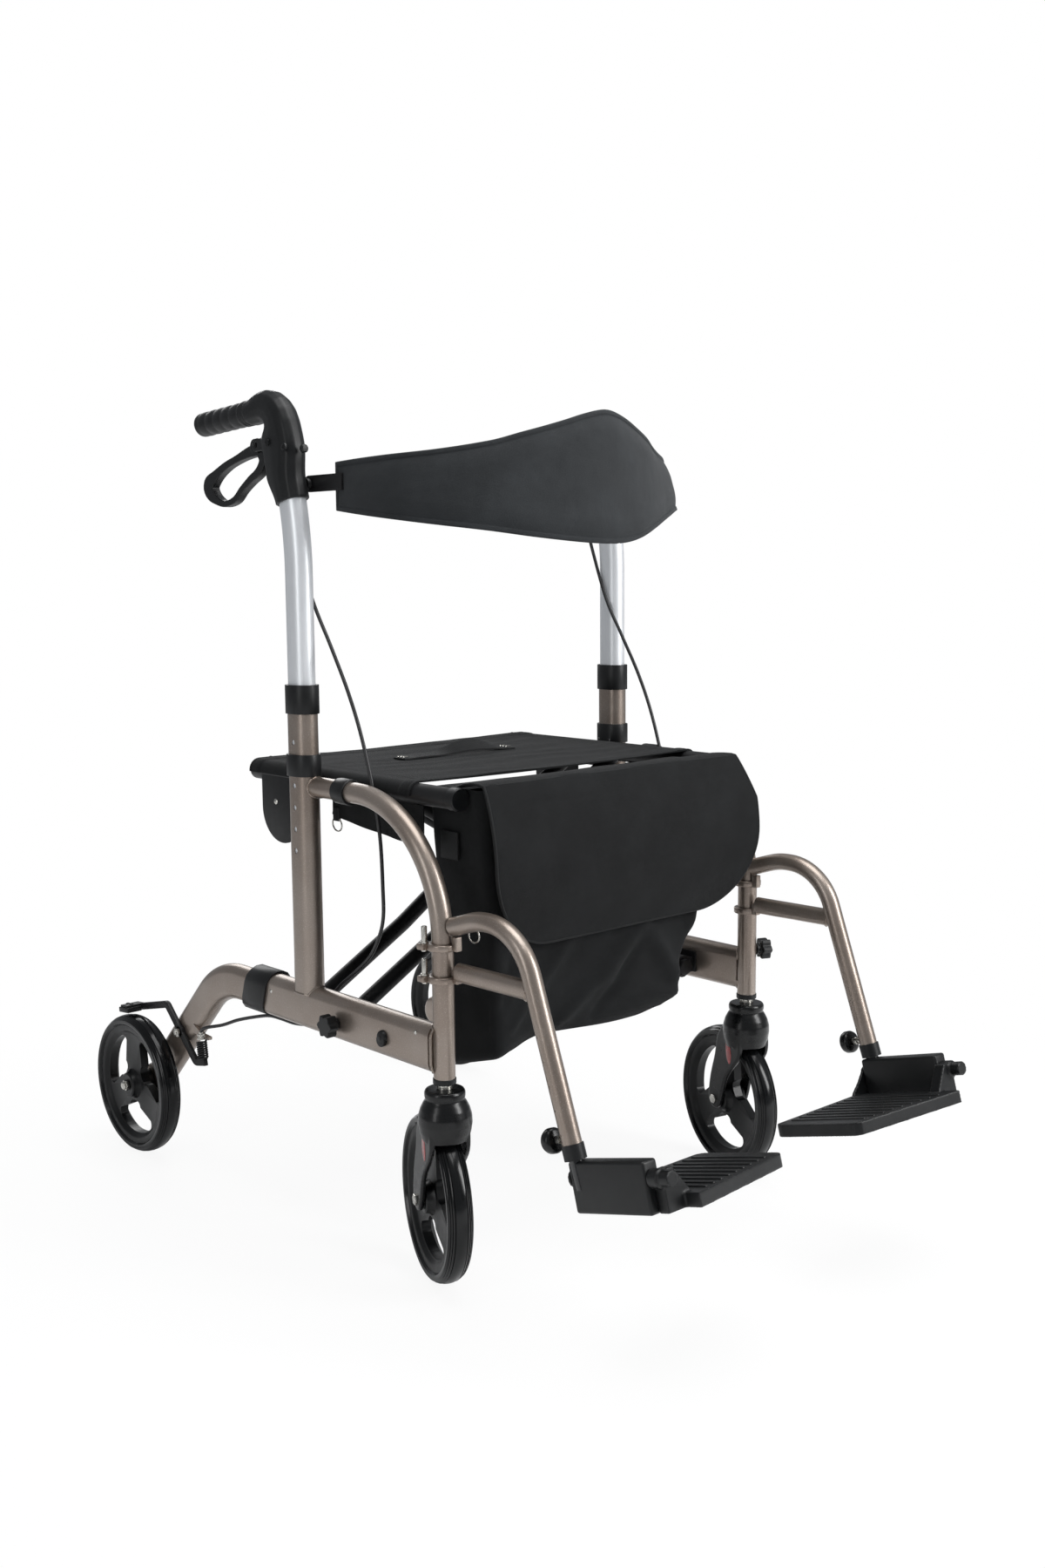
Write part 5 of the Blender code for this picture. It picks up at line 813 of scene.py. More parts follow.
sheath = Finish("cable_sheath", (0.011, 0.011, 0.012), 0.34)
sheath.feed("Roughness", 0.26 + sheath.grain(0.02) * 0.16)
CABLE_DIAMETER = 0.0046
start, end = Vector((-0.261, 0.1735, 0.9137)), SPRING_TOP - SPRING_WAY * 0.0105
route = [start, start - Vector((0, 0, 0.012)), (-0.2575, 0.160, 0.868), (-0.2530, 0.126, 0.793)]
route += [(-0.2518, 0.095, 0.7435), (-0.2517, 0.0615, 0.689), (-0.2517, 0.037, 0.638)]
route += [(-0.2517, 0.0175, 0.580), (-0.2517, 0.004, 0.520), (-0.2515, 0.0005, 0.457)]
route += [(-0.2505, 0.0025, 0.4194), (-0.2495, 0.0155, 0.390), (-0.2490, 0.034, 0.366)]
route += [(-0.2488, 0.066, 0.341), (-0.2488, 0.098, 0.318), (-0.2492, 0.120, 0.295)]
route += [(-0.2512, 0.133, 0.272), (-0.2570, 0.152, 0.2600), (-0.2610, 0.180, 0.2555)]
route += [(-0.2620, 0.212, 0.2555), (-0.2630, 0.2368, 0.2545), (-0.2655, 0.2650, 0.2480)]
route += [(-0.2700, 0.3050, 0.2360), (-0.2760, 0.3350, 0.2240), end + Vector((0.0010, -0.0110, 0.0080)), end]


def smooth_line(points, count=7):
    """A smooth curve through points, with a number of steps between each two."""
    points = [Vector(point) for point in points]
    ends = [2 * points[0] - points[1]] + points + [2 * points[-1] - points[-2]]
    line = []
    for a, b, c, d in zip(ends, ends[1:], ends[2:], ends[3:]):
        for k in range(count):
            t = k / count
            curve = 2 * b + (c - a) * t + (2 * a - 5 * b + 4 * c - d) * t**2
            line.append(0.5 * (curve + (3 * b - a - 3 * c + d) * t**3))
    return line + [points[-1]]


cable_line = smooth_line(route)
for label, side in (("left", -1), ("right", 1)):
    cable, nodes = tube(cable_line, CABLE_DIAMETER, steps=14), [f"brake_cable_{label}"]
    sheathed = piece(cable, f"cable_{label}", None, sheath, nodes, 60, side)
    low = to_model @ Vector((-0.25 * -side, 0.03, 0.60))
    high = to_model @ Vector((-0.25 * -side, 0.03, 0.89))
    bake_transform(sheathed)
x, y, z = start
collar, nut = (0.0038, z - 0.0125, z - 0.001, 24, 0.0008), (0.0046, z - 0.006, z - 0.001, 6, 0.0005)
ferrule = bars("Z", (x, y), collar, nut)
pair(ferrule, "cable_ferrule", "handle_%", steel)


# Rolling parts. The tyre is a glossy solid polyurethane ring with two fine grooves on each shoulder,
# and the rim is moulded nylon with three kidney-shaped openings round the hub.
gloss = Finish("tyre_polyurethane", (0.006, 0.0065, 0.007), 0.22, Coat_Weight=0.12, Coat_Roughness=0.10)
gloss.feed("Specular IOR Level", 0.25)
gloss.feed("Roughness", 0.15 + gloss.grain(0.02) * 0.12)
gloss.feed("Base Color", gloss.tint(gloss.grain(0.06), (0.0022, 0.0024, 0.0027), (0.0045, 0.005, 0.0055)))
rim_black = Finish("rim_nylon", (0.0024, 0.0027, 0.003), 0.32, Specular_IOR_Level=0.28)
rim_black.feed("Roughness", 0.26 + rim_black.grain(0.01) * 0.16)
rim_black.relief((rim_black.grain(0.0008, detail=1.0), 0.00004))
TYRE_HALF, WHEEL_RADIUS, TYRE_FOOT = 0.0155, 0.100, 0.0865


def tyre_ring():
    """The tyre about its own middle, spun from half of its section and that half's mirror image."""
    profile = [(TYRE_FOOT, -0.012), (0.0885, -0.0148), (0.0905, -TYRE_HALF), (0.0935, -0.0153)]
    profile += [(0.0955, -0.0138), (0.0960, -0.0129), (0.0954, -0.0125), (0.0962, -0.0121), (0.0975, -0.0108)]
    profile += [(0.0968, -0.0102), (0.0976, -0.0098), (0.0988, -0.0080), (0.0980, -0.0073), (0.0988, -0.0068)]
    profile += [(0.0997, -0.0040), (WHEEL_RADIUS, 0.0)]
    profile += [(radius, -height) for radius, height in profile[-2::-1]]
    profile += [(TYRE_FOOT, -0.012)]
    return turned(profile, 96, "X")


def kidney(turn):
    """A cutter for one opening: a ring sector with round corners, through the rim."""
    inner, outer, round_off = 0.0255, 0.0725, 0.010
    wide = math.radians(43) - round_off / (outer - round_off)
    narrow = math.radians(43) - 0.016 / inner
    points = []
    for reach, swing, first in (
        (outer - round_off, wide, wide + math.pi / 2),
        (outer - round_off, -wide, -wide),
        (inner + round_off, -narrow, 3 * math.pi / 2 - narrow),
        (inner + round_off, narrow, math.pi + narrow),
    ):
        centre = Vector((math.sin(swing), math.cos(swing))) * reach
        for k in range(5):
            angle = first - math.pi / 2 * k / 4
            points.append(centre + Vector((math.sin(angle), math.cos(angle))) * round_off)
    arc = [wide * (1 - 2 * k / 12) for k in range(1, 12)]
    points[5:5] = [Vector((math.sin(angle), math.cos(angle))) * outer for angle in arc]
    return leaned(plate(points, -0.03, 0.06), turn, "X", (0, 0, 0))


def wheel_rim():
    """The rim about its own middle: a thin disc between hub and tyre seat, with its openings."""
    outline = [(0.0049, -0.0175), (0.0150, -0.0175), (0.0172, -0.0160), (0.0185, -0.0110), (0.0215, -0.0072)]
    outline += [(0.0260, -0.0060), (0.0720, -0.0060), (0.0752, -0.0075), (0.0775, -0.0105), (0.0800, -0.0118)]
    outline += [(0.0862, -0.0120)]
    outline += [(radius, -height) for radius, height in outline[::-1]]
    outline += [outline[0]]
    disc = turned(outline, 96, "X")
    return carved(disc, [kidney(2 * math.pi * (k + 0.5) / 3) for k in range(3)])


WHEEL_PARTS = (("tyre", tyre_ring, gloss, "tyre"), ("rim", wheel_rim, rim_black, "black_plastic"))
for kind, make, finish, slot in WHEEL_PARTS:
    wheel = shifted(make(), (WHEEL_X, REAR_AXLE_Y, AXLE_Z))
    pair(wheel, f"rear_wheel_{kind}", "rear_wheel_%", finish, [f"rear_{kind}_%"], 30)

# The caster forks are glossy mouldings: a stepped cap, a domed head over the wheel and two blades
# sweeping back to the axle, turned a little on their stems. A plated race shows above the cap, a
# plated bolt at each axle end, and each outer blade has a red reflector.


def melted(bm, voxel, passes):
    """The mesh as one skin of even quads with its corners worn round, as moulding leaves them."""
    rough = placed(bm, "rough")
    skin = rough.modifiers.new("skin", "REMESH")
    skin.mode = "VOXEL"
    skin.voxel_size = voxel
    soft = rough.modifiers.new("soft", "SMOOTH")
    soft.factor = 0.5
    soft.iterations = passes
    return reshaped(rough)


TRAIL, FORK_TOP, WELL_RADIUS, WELL_HALF = 0.040, 0.2445, 0.1035, 0.0182
BLADE_INSIDE, BLADE_THICK = 0.0186, 0.0062
CASTER_TURNS = {"left": math.radians(-22), "right": math.radians(-15)}


def at_caster(bm, label):
    """Turns a caster piece drawn about the swivel axis and puts it under its post."""
    across = FRAME_X if label == "left" else -FRAME_X
    turn = Matrix.Translation((across, POST_Y, 0)) @ Matrix.Rotation(CASTER_TURNS[label], 4, "Z")
    bmesh.ops.transform(bm, verts=bm.verts, matrix=turn)
    return bm


def fork_shell():
    """The head, hollowed over the tyre, and the two blades with their edges rounded."""
    dome = [(0, 0.1850), (0.0270, 0.1850), (0.0300, 0.1950), (0.0316, 0.2050), (0.0312, 0.2140)]
    dome += [(0.0288, 0.2225), (0.0255, 0.2290), (0.0232, 0.2325), (0.0226, 0.2342), (0.0238, 0.2358)]
    dome += [(0.0240, 0.2412), (0.0222, FORK_TOP), (0, FORK_TOP)]
    well = bar("X", (TRAIL, AXLE_Z), WELL_RADIUS, -WELL_HALF, WELL_HALF, 96)
    shell = carved(turned(dome, 48), [well])
    edge = [(-0.0100, 0.2200), (-0.0180, 0.2020), (-0.0165, 0.1720), (TRAIL - 0.0275, 0.1380)]
    edge += [(TRAIL - 0.0150, 0.1030), (TRAIL - 0.0090, 0.0905), (TRAIL, 0.0868), (TRAIL + 0.0090, 0.0905)]
    edge += [(TRAIL + 0.0148, 0.1030), (TRAIL + 0.0110, 0.1320), (0.0405, 0.1650), (0.0340, 0.1940)]
    edge += [(0.0140, 0.2200)]
    outline = [(point.y, point.z) for point in smooth_line([(0, y, z) for y, z in edge], 5)]
    for side in (-1, 1):
        blade = plate(outline, side * BLADE_INSIDE, side * BLADE_THICK)
        rim = [edge for edge in blade.edges if all(abs(vert.co.x) > 0.022 for vert in edge.verts)]
        joined(shell, bevelled(blade, rim, 0.0022, 3))
    return shell


fork_black = Finish("fork_nylon", (0.0030, 0.0033, 0.0036), 0.24, Coat_Weight=0.08, Coat_Roughness=0.18)
fork_black.feed("Specular IOR Level", 0.3)
fork_black.feed("Roughness", 0.22 + fork_black.grain(0.02) * 0.12)
red = Finish("red_reflector", (0.26, 0.006, 0.008), 0.22, Coat_Weight=0.6, Coat_Roughness=0.05)
bands = {"wave_type": "BANDS", "bands_direction": "DIAGONAL"}
facet = red.node("TexWave", bands, Vector=red.place(), Scale=260)
red.feed("Base Color", red.tint(facet, (0.16, 0.003, 0.004), (0.42, 0.012, 0.014)))
red.relief((facet, 0.0002))
LENS_SIZE, LENS_LEAN = (0.0165, 0.0058, 0.0085, 1), -0.16
for label in ("left", "right"):
    for kind, make, finish, slot in WHEEL_PARTS:
        wheel = at_caster(shifted(make(), (0, TRAIL, AXLE_Z)), label)
        body, nodes = f"caster_wheel_{label}", [f"caster_{kind}_{label}"]
        piece(wheel, f"front_wheel_{kind}_{label}", body, finish, nodes, 30)
    body = f"caster_fork_{label}"
    fork = at_caster(melted(fork_shell(), 0.0009, 9), label)
    piece(fork, f"fork_{label}", body, fork_black, [body], 60)
    race_lows = [FORK_TOP + 0.0006 + 0.0019 * k for k in range(3)]
    plated = bars("Z", (0, 0), *[(0.0092, low, low + 0.0010) for low in race_lows])
    joined(plated, bars("Z", (0, 0), (0.0085, FORK_TOP - 0.002, 0.2512), (0.0060, 0.2500, 0.2600, 24)))
    joined(plated, bar("X", (TRAIL, AXLE_Z), 0.0042, -0.0250, 0.0250, 20))
    lens = bmesh.new()
    for face in (-1, 1):
        low, high = sorted((face * 0.0240, face * 0.0282))
        joined(plated, bar("X", (TRAIL, AXLE_Z), 0.0068, low, high, 6, 0.0008))
        low, high = sorted((face * 0.0180, face * 0.0188))
        joined(plated, bar("X", (TRAIL, AXLE_Z), 0.0085, low, high, 24))
        spot = bmesh.new()
        bmesh.ops.create_circle(spot, segments=40, radius=1, cap_ends=True)
        thickened(spot, (0, 0, 0.12))
        bevelled(spot, [edge for edge in spot.edges if all(vert.co.z > 0.1 for vert in edge.verts)], 0.06, 3)
        leaning = Matrix.Translation((face * 0.0242, 0.0060, 0.176)) @ Matrix.Rotation(LENS_LEAN, 4, "X")
        outward = Matrix.Rotation(face * math.pi / 2, 4, "Y") @ Matrix.Diagonal(LENS_SIZE)
        bmesh.ops.transform(spot, verts=spot.verts, matrix=leaning @ outward)
        joined(lens, spot)
    piece(at_caster(plated, label), f"caster_hardware_{label}", body, steel)
    piece(at_caster(lens, label), f"reflector_{label}", body, red)

# Handle tubes: drawn oval aluminium, anodised silver, straight in the upright and bent back above it.
# A fine brushing runs along them.
anodised = Finish("anodised_silver", rgb(229, 231, 234), 0.40, 0.55)
brushed = anodised.grain(0.0012, detail=2.0, stretch=(1, 1, 0.02))
anodised.feed("Base Color", anodised.tint(brushed, rgb(222, 225, 229), rgb(236, 238, 240)))
anodised.feed("Roughness", 0.37 + brushed * 0.08)
anodised.relief((brushed, 0.00001))
TUBE_LOW, BEND_Z, BEND_RADIUS, BEND_LENGTH = 0.465, 0.830, 0.43, 0.112
HANDLE_WIDTH, HANDLE_DEPTH = 0.028, 0.038


def handle_line(above):
    """A point on the handle tube's middle, a length above the start of its bend."""
    angle = above / BEND_RADIUS
    back = BEND_RADIUS * (1 - math.cos(angle))
    return Vector((UPRIGHT_X, UPRIGHT_Y + back, BEND_Z + BEND_RADIUS * math.sin(angle)))


handle_path = [Vector((UPRIGHT_X, UPRIGHT_Y, TUBE_LOW))]
handle_path += [handle_line(BEND_LENGTH * k / 14) for k in range(15)]
handle = tube(handle_path, HANDLE_WIDTH, HANDLE_DEPTH)
pair(handle, "handle_oval_tube", "handle_%", anodised, ["handle_tube_%"])

# The housing is one smooth nylon elbow from the tube to the grip, closed by two screws on its outer
# face, with a catch in front. The CAD shape is swelled outward over the elbow, and behind it is filled
# out for the lever's cheeks.
ELBOW = Vector((UPRIGHT_X, 0.200, 0.985))
GRIP_SIDE_Y = 0.222


def step(value, low, high):
    """0 below low, 1 above high, and smooth in between."""
    share = min(max((value - low) / (high - low), 0.0), 1.0)
    return share * share * (3 - 2 * share)


housing = melted(from_cad("handle_housing_left", 0), 0.0009, 34)
for vert in housing.verts:
    y, z = vert.co.y, vert.co.z
    if y > GRIP_SIDE_Y:
        continue
    middle = 0.145 + 0.28 * (z - 0.95)
    behind = step(y, middle, middle + 0.028) * step(z, 0.915, 0.950) * (1 - step(z, 0.992, 1.014))
    reach = Vector((0, y - ELBOW.y, z - ELBOW.z))
    bulk = 0.0045 + 0.0075 * max(0.0, -reach.normalized().y)
    above = step(reach.length, 0.020, 0.045) * step(z, 0.940, 0.990) * (1 - step(y, 0.196, 0.220))
    above *= step(middle + 0.02 - y + max(0.0, z - 1.0) * 3, 0.0, 0.02)
    vert.co += reach.normalized() * bulk * above + Vector((0, 0.0140 * behind, 0))
every_way = {"use_axis_x": True, "use_axis_y": True, "use_axis_z": True}
bmesh.ops.smooth_vert(housing, verts=housing.verts, factor=0.5, **every_way)
pair(housing, "housing", "handle_%", moulded, ["handle_housing_%"], 60)
SCREW = [(0, 0.0004), (0.0021, 0.0006), (0.0027, 0.0015), (0.0046, 0.0011), (0.0050, -0.0010)]
screws = bmesh.new()
for y, z in ((0.1655, 0.9900), (0.1290, 0.9820)):
    joined(screws, button(SCREW, 32, (UPRIGHT_X - 0.0182, y, z)))
catch = turned([(0, 0.0035), (0.0035, 0.0032), (0.0050, 0.0016), (0.0052, -0.002)], 32)
shifted(leaned(catch, math.pi / 2, "X", (0, 0, 0)), (UPRIGHT_X, 0.1130, 0.9800))
pair(joined(screws, catch), "housing_screws", "handle_%", moulded)

# The grip is a rubber sleeve pushed over the housing's stem, with two rings by the elbow, shallow
# finger ridges and a dimpled end.
rubber = Finish("grip_rubber", (0.006, 0.0065, 0.007), 0.40, Specular_IOR_Level=0.38)
rubber.feed("Roughness", 0.36 + rubber.grain(0.01) * 0.16)
rubber.relief((rubber.grain(0.0005, detail=1.0), 0.00004))
GRIP_ROOT = Vector((UPRIGHT_X, 0.2229, 1.0303))
GRIP_WAY = Vector((0, math.cos(math.radians(3.5)), -math.sin(math.radians(3.5))))
RIDGES_LOW, RIDGE_PITCH, RIDGES = 0.0170, 0.0188, 5
outline = [(0, 0.0002), (0.0148, 0.0002), (0.0159, 0.0014), (0.0159, 0.0052), (0.0146, 0.0062)]
outline += [(0.0146, 0.0074), (0.0159, 0.0086), (0.0159, 0.0130), (0.0149, 0.0142)]
for k in range(RIDGES):
    low = RIDGES_LOW + RIDGE_PITCH * k
    outline += [(0.0143, low), (0.0146, low + 0.0016), (0.0153, low + 0.0060), (0.0155, low + 0.0100)]
    outline += [(0.0153, low + 0.0140), (0.0146, low + 0.0172)]
outline += [(0.0152, 0.1130), (0.0150, 0.1155), (0.0138, 0.1173), (0.0070, 0.1176), (0.0050, 0.1160)]
outline += [(0, 0.1158)]
grip = aimed(turned(outline, 56), GRIP_ROOT, GRIP_WAY)
pair(grip, "grip", "handle_%", rubber, ["hand_grip_%"], 50)

# The brake lever is a flat nylon loop for the fingers, hanging under the grip on its pin. Each row of
# its middle line is the loop's width in its plane, and a place (y, z).
LEVER_LINE = (
    (0.0170, 0.2040, 0.9850), (0.0130, 0.2291, 0.9815), (0.0095, 0.2562, 0.9751), (0.0100, 0.2819, 0.9682),
    (0.0130, 0.3060, 0.9580), (0.0220, 0.3240, 0.9460), (0.0180, 0.3200, 0.9345), (0.0110, 0.3060, 0.9256),
    (0.0080, 0.2869, 0.9205), (0.0085, 0.2639, 0.9248), (0.0085, 0.2470, 0.9364), (0.0095, 0.2276, 0.9474),
    (0.0110, 0.2073, 0.9572), (0.0130, 0.1968, 0.9697), (0.0150, 0.2000, 0.9800),
)
LEVER_THICK, LEVER_PIN = 0.012, (0.2133, 0.9890)
lever = ribbon(smooth_line(LEVER_LINE, 6), UPRIGHT_X - LEVER_THICK / 2, LEVER_THICK)
joined(lever, bar("X", LEVER_PIN, 0.0088, UPRIGHT_X - 0.0066, UPRIGHT_X + 0.0066, 32, 0.0012))
lever = melted(lever, 0.0008, 10)
pair(lever, "lever", "brake_lever_%", moulded, ["brake_lever_%"], 60)

# The backrest's brackets are flat steel, powder coated like the cross. They turn on pins at the inner
# side of the housings and carry the ends of the band.
for label, body in (("left", "backrest"), ("right", "backrest_bracket_right")):
    node = f"backrest_bracket_{label}"
    piece(from_cad(node, 0.0006), f"backrest_bar_{label}", body, powder, [node])

# Footrest hangers: a round tube turns on the post by two rings, each closed with a vertical plated
# pin, and comes down to a black sleeve. A strut braces it, and its back has the row of height holes.
HANGER_X, HANGER_TOP, HANGER_RADIUS, HANGER_DROP = -0.262, 0.4495, 0.011, 0.2325
HANGER_HOLES, HANGER_HOLE, HANGER_HOLE_PITCH = 5, 0.0076, 0.0262
STRUT_WIDTH, STRUT_DEPTH = 0.017, 0.022
RING_ZS, RING_HALF, LUG_HALF = (0.4115, 0.374), 0.004, 0.0036
PIN_X, PIN_Y = FRAME_X - 0.015, POST_Y + 0.0145
rake = math.radians(20)
hanger_down = Vector((0, -math.sin(rake), -math.cos(rake)))
hanger_foot = Vector((HANGER_X, POST_Y - 0.211, HANGER_TOP - HANGER_DROP))
hanger_corner = hanger_foot - hanger_down * (HANGER_DROP / math.cos(rake))
hanger_back = Vector((0, math.cos(rake), -math.sin(rake)))
hanger_start = (HANGER_X, POST_Y - POST_RADIUS - 0.0015, HANGER_TOP - 0.014)
hanger_rise = (HANGER_X, POST_Y - 0.058, HANGER_TOP - 0.0005)
hanger_path = rounded([hanger_start, hanger_rise, hanger_corner, hanger_foot], [0.09, 0.0714], 14)
hole_way = (hanger_back * 0.20 + Vector((-1, 0, 0))).normalized()
cutters = []
for k in range(HANGER_HOLES):
    hole = hanger_foot - hanger_down * (0.0271 + HANGER_HOLE_PITCH * k)
    cutters.append(tube([hole + hole_way * 0.004, hole + hole_way * 0.02], HANGER_HOLE, steps=20))
cutters.append(tube([hanger_foot + hanger_down * 0.01, hanger_foot - hanger_down * 0.125], 0.0185, steps=32))
hanger = carved(tube(hanger_path, 2 * HANGER_RADIUS, steps=36), cutters)
strut_start = Vector((HANGER_X, POST_Y - POST_RADIUS - 0.010, 0.384))
strut_end = hanger_corner + hanger_down * 0.068
strut = tube([strut_start, strut_end], STRUT_WIDTH, STRUT_DEPTH, steps=28)
way, sideways = (strut_end - strut_start).normalized(), Vector((1, 0, 0))
around = []
for angle in turns(48):
    x = STRUT_WIDTH / 2 * math.cos(angle)
    spot = strut_end + sideways * x + way.cross(sideways) * (STRUT_DEPTH / 2 + 0.0002) * math.sin(angle)
    depth = math.sqrt(max(HANGER_RADIUS**2 - x**2, 0.00001))
    around.append(spot - way * (depth + 0.0008) / max(way.dot(-hanger_back), 0.6))
rings = bmesh.new()
for z in RING_ZS:
    outside = bar("Z", (FRAME_X, POST_Y), 0.0180, z - RING_HALF, z + RING_HALF, 56, 0.0016)
    ring = carved(outside, [bar("Z", (FRAME_X, POST_Y), 0.0130, z - 0.01, z + 0.01, 48)])
    low, high = z - LUG_HALF, z + LUG_HALF
    lug = slab((FRAME_X - 0.022, POST_Y + 0.009, low), (FRAME_X - 0.005, POST_Y + 0.0205, high), 0.0012)
    corner = (HANGER_X + 0.0042, POST_Y - 0.0147, z + 0.0130)
    neck = slab((HANGER_X - 0.0042, POST_Y - 0.0235, low), corner, 0.0010)
    joined(rings, ring, lug, neck)
joined(hanger, strut, bead(around, 0.0013), rings)
pair(hanger, "hanger", "footrest_%", bronze, ["footrest_hanger_%"], 40)
pins = bmesh.new()
for z in RING_ZS:
    pin, collar = (0.0034, z - 0.006, z + 0.0235, 24, 0.0008), (0.0050, z + 0.0035, z + 0.0060, 24, 0.0006)
    joined(pins, bars("Z", (PIN_X, PIN_Y), pin, collar))
pair(pins, "ring_pins", "footrest_%", steel)
sleeve = carved(
    tube([hanger_foot - hanger_down * 0.0160, hanger_foot + hanger_down * 0.0005], 0.0249, steps=44),
    [tube([hanger_foot - hanger_down * 0.03, hanger_foot + hanger_down * 0.03], 0.0186, steps=32)],
)
pair(sleeve, "hanger_sleeve", "footrest_%", moulded)

# The plunger locks the leg at one of its heights. It has a round moulded knob with a flat face, on a
# plated pin and collar.
shoulder = hanger_foot - hanger_down * 0.022 + hanger_back * 0.0225
outline = [(0, 0.0004), (0.0100, 0), (0.0128, 0.0014), (0.0140, 0.0038), (0.0140, 0.0098), (0.0127, 0.0124)]
outline += [(0.0105, 0.0135), (0.0085, 0.0131), (0.0080, 0.0124), (0, 0.0124)]
knob = aimed(turned(outline, 44), shoulder, hanger_back)
pair(knob, "plunger_knob", "footrest_knob_%", fork_black, ["footrest_knob_%"], 50)
pin = tube([shoulder - hanger_back * 0.0130, shoulder + hanger_back * 0.001], 0.0062, steps=24)
joined(pin, tube([shoulder - hanger_back * 0.0075, shoulder - hanger_back * 0.001], 0.0096, steps=24))
pair(pin, "plunger_pin", "footrest_knob_%", steel)

# The lower leg is a polished black tube that slides in the hanger. It carries the hinge block, a
# moulding bored for the footplate's pin.
polished = Finish("polished_black_tube", (0.006, 0.006, 0.007), 0.12, Coat_Weight=0.4, Coat_Roughness=0.05)
polished.feed("Roughness", 0.10 + polished.grain(0.01) * 0.08)
leg = tube([hanger_foot - hanger_down * 0.115, hanger_foot + hanger_down * 0.032], 0.0160, steps=40)
pair(leg, "leg_inner_tube", "footrest_leg_%", polished)
BLOCK_HALF = 0.0565
PITCH = math.radians(15.5)
PIN_MIDDLE = Vector((-0.258, -0.39347, 0.20986))


def pitched(bm):
    """Turns a shape drawn level about the footplate's pin into the plate's pitch, toes up."""
    return leaned(bm, -PITCH, "X", PIN_MIDDLE)


x, y, z = PIN_MIDDLE
front, rear = y - BLOCK_HALF, y + BLOCK_HALF
block = slab((x - 0.0105, front, z - 0.036), (x + 0.0105, rear, z + 0.019), 0.0032, 4)
block = carved(block, [bar("Y", (x, z), 0.0058, y - 0.1, y + 0.1, 32)])
pair(pitched(block), "hinge_block", "footrest_leg_%", moulded, ["footrest_leg_%"], 30)

# The footplate is moulded with a raised tread of ribs, cheeks round the hinge block, a round pin end
# forward and two notches in its front edge. The ribs start farther back toward the chair's middle.
RIB_X, RIB_PITCH, RIB_HALF, RIBS = -0.208, 0.0148, 0.0021, 9
footplate = melted(from_cad("footplate_left", 0), 0.0011, 3)
top = z - 0.021
for k in range(RIBS):
    across = RIB_X + RIB_PITCH * k
    start_y = front - 0.024 + 0.026 * max(0.0, (across - RIB_X) / 0.142)
    low, high = (across - RIB_HALF, start_y, top - 0.001), (across + RIB_HALF, rear - 0.006, top + 0.0011)
    joined(footplate, pitched(slab(low, high, 0.0008, 2)))
pair(footplate, "footplate_moulding", "footplate_%", moulded, ["footplate_%"], 40)

# Star knobs: hand screws with a moulded head, its lobes worn round, on the left rail and on the right
# post.
for node in ("rail_knob", "post_knob"):
    star = melted(from_cad(node, 0), 0.0006, 4)
    piece(star, node + "_moulding", node, moulded, [node], 60)

# Small plated rivets with domed heads on each rail, one by the leg collar and one beside the front
# post.
dots = bmesh.new()
for y, z in ((0.2005, 0.2985), (-0.0985, 0.3075)):
    dot = button([(0, 0.0013), (0.0016, 0.0010), (0.0026, 0)], 20, (RAIL_X - RAIL_WIDTH / 2, y, z))
    joined(dots, dot)
pair(dots, "rail_rivets", "%_frame", steel)


# Cloth. Every soft piece is drawn as a sheet of rows with its own flat coordinates in metres, so the
# weave, the seams and the wear follow the cloth.
def smooth_table(table, share):
    """A value read from a table of (place, value) rows along a smooth curve."""
    spots = [place for place, _ in table]
    index = max(k for k in range(len(table) - 1) if spots[k] <= share or k == 0)
    (p0, v0), (p1, v1) = table[index], table[index + 1]
    before, after = table[max(index - 1, 0)], table[min(index + 2, len(table) - 1)]
    t = min(max((share - p0) / (p1 - p0), 0.0), 1.0)
    width = p1 - p0
    m0 = (v1 - before[1]) / max(p1 - before[0], 1e-6) * width
    m1 = (after[1] - v0) / max(after[0] - p0, 1e-6) * width
    start = (2 * t**3 - 3 * t**2 + 1) * v0 + (t**3 - 2 * t**2 + t) * m0
    return start + (3 * t**2 - 2 * t**3) * v1 + (t**3 - t**2) * m1


def cloth_sheet(rows, flat):
    """A skin over closed rows of points. flat holds each row's places in the flat cloth, and its first
    place again where the row closes."""
    bm = bmesh.new()
    layer = bm.loops.layers.uv.new("cloth")
    verts = [[bm.verts.new(point) for point in row] for row in rows]
    count = len(rows[0])
    for j in range(len(rows) - 1):
        for i in range(count):
            n = (i + 1) % count
            face = bm.faces.new((verts[j][i], verts[j][n], verts[j + 1][n], verts[j + 1][i]))
            spots = (flat[j][i], flat[j][i + 1], flat[j + 1][i + 1], flat[j + 1][i])
            for corner, spot in zip(face.loops, spots):
                corner[layer].uv = spot
    return bm


def filled(bm, below=math.inf):
    """Closes the mesh where its open edges lie below a height."""
    edges = [edge for edge in bm.edges if edge.is_boundary and edge.verts[0].co.z < below]
    bmesh.ops.holes_fill(bm, edges=edges, sides=0)
    return bm


def doubled(strips):
    """Cloth with a thickness. Each strip is a row of points, the row behind it and their flat places."""
    rows = [face + back[::-1] for face, back, _ in strips]
    flat = [spots + spots[::-1] + [spots[0]] for _, _, spots in strips]
    return filled(cloth_sheet(rows, flat))


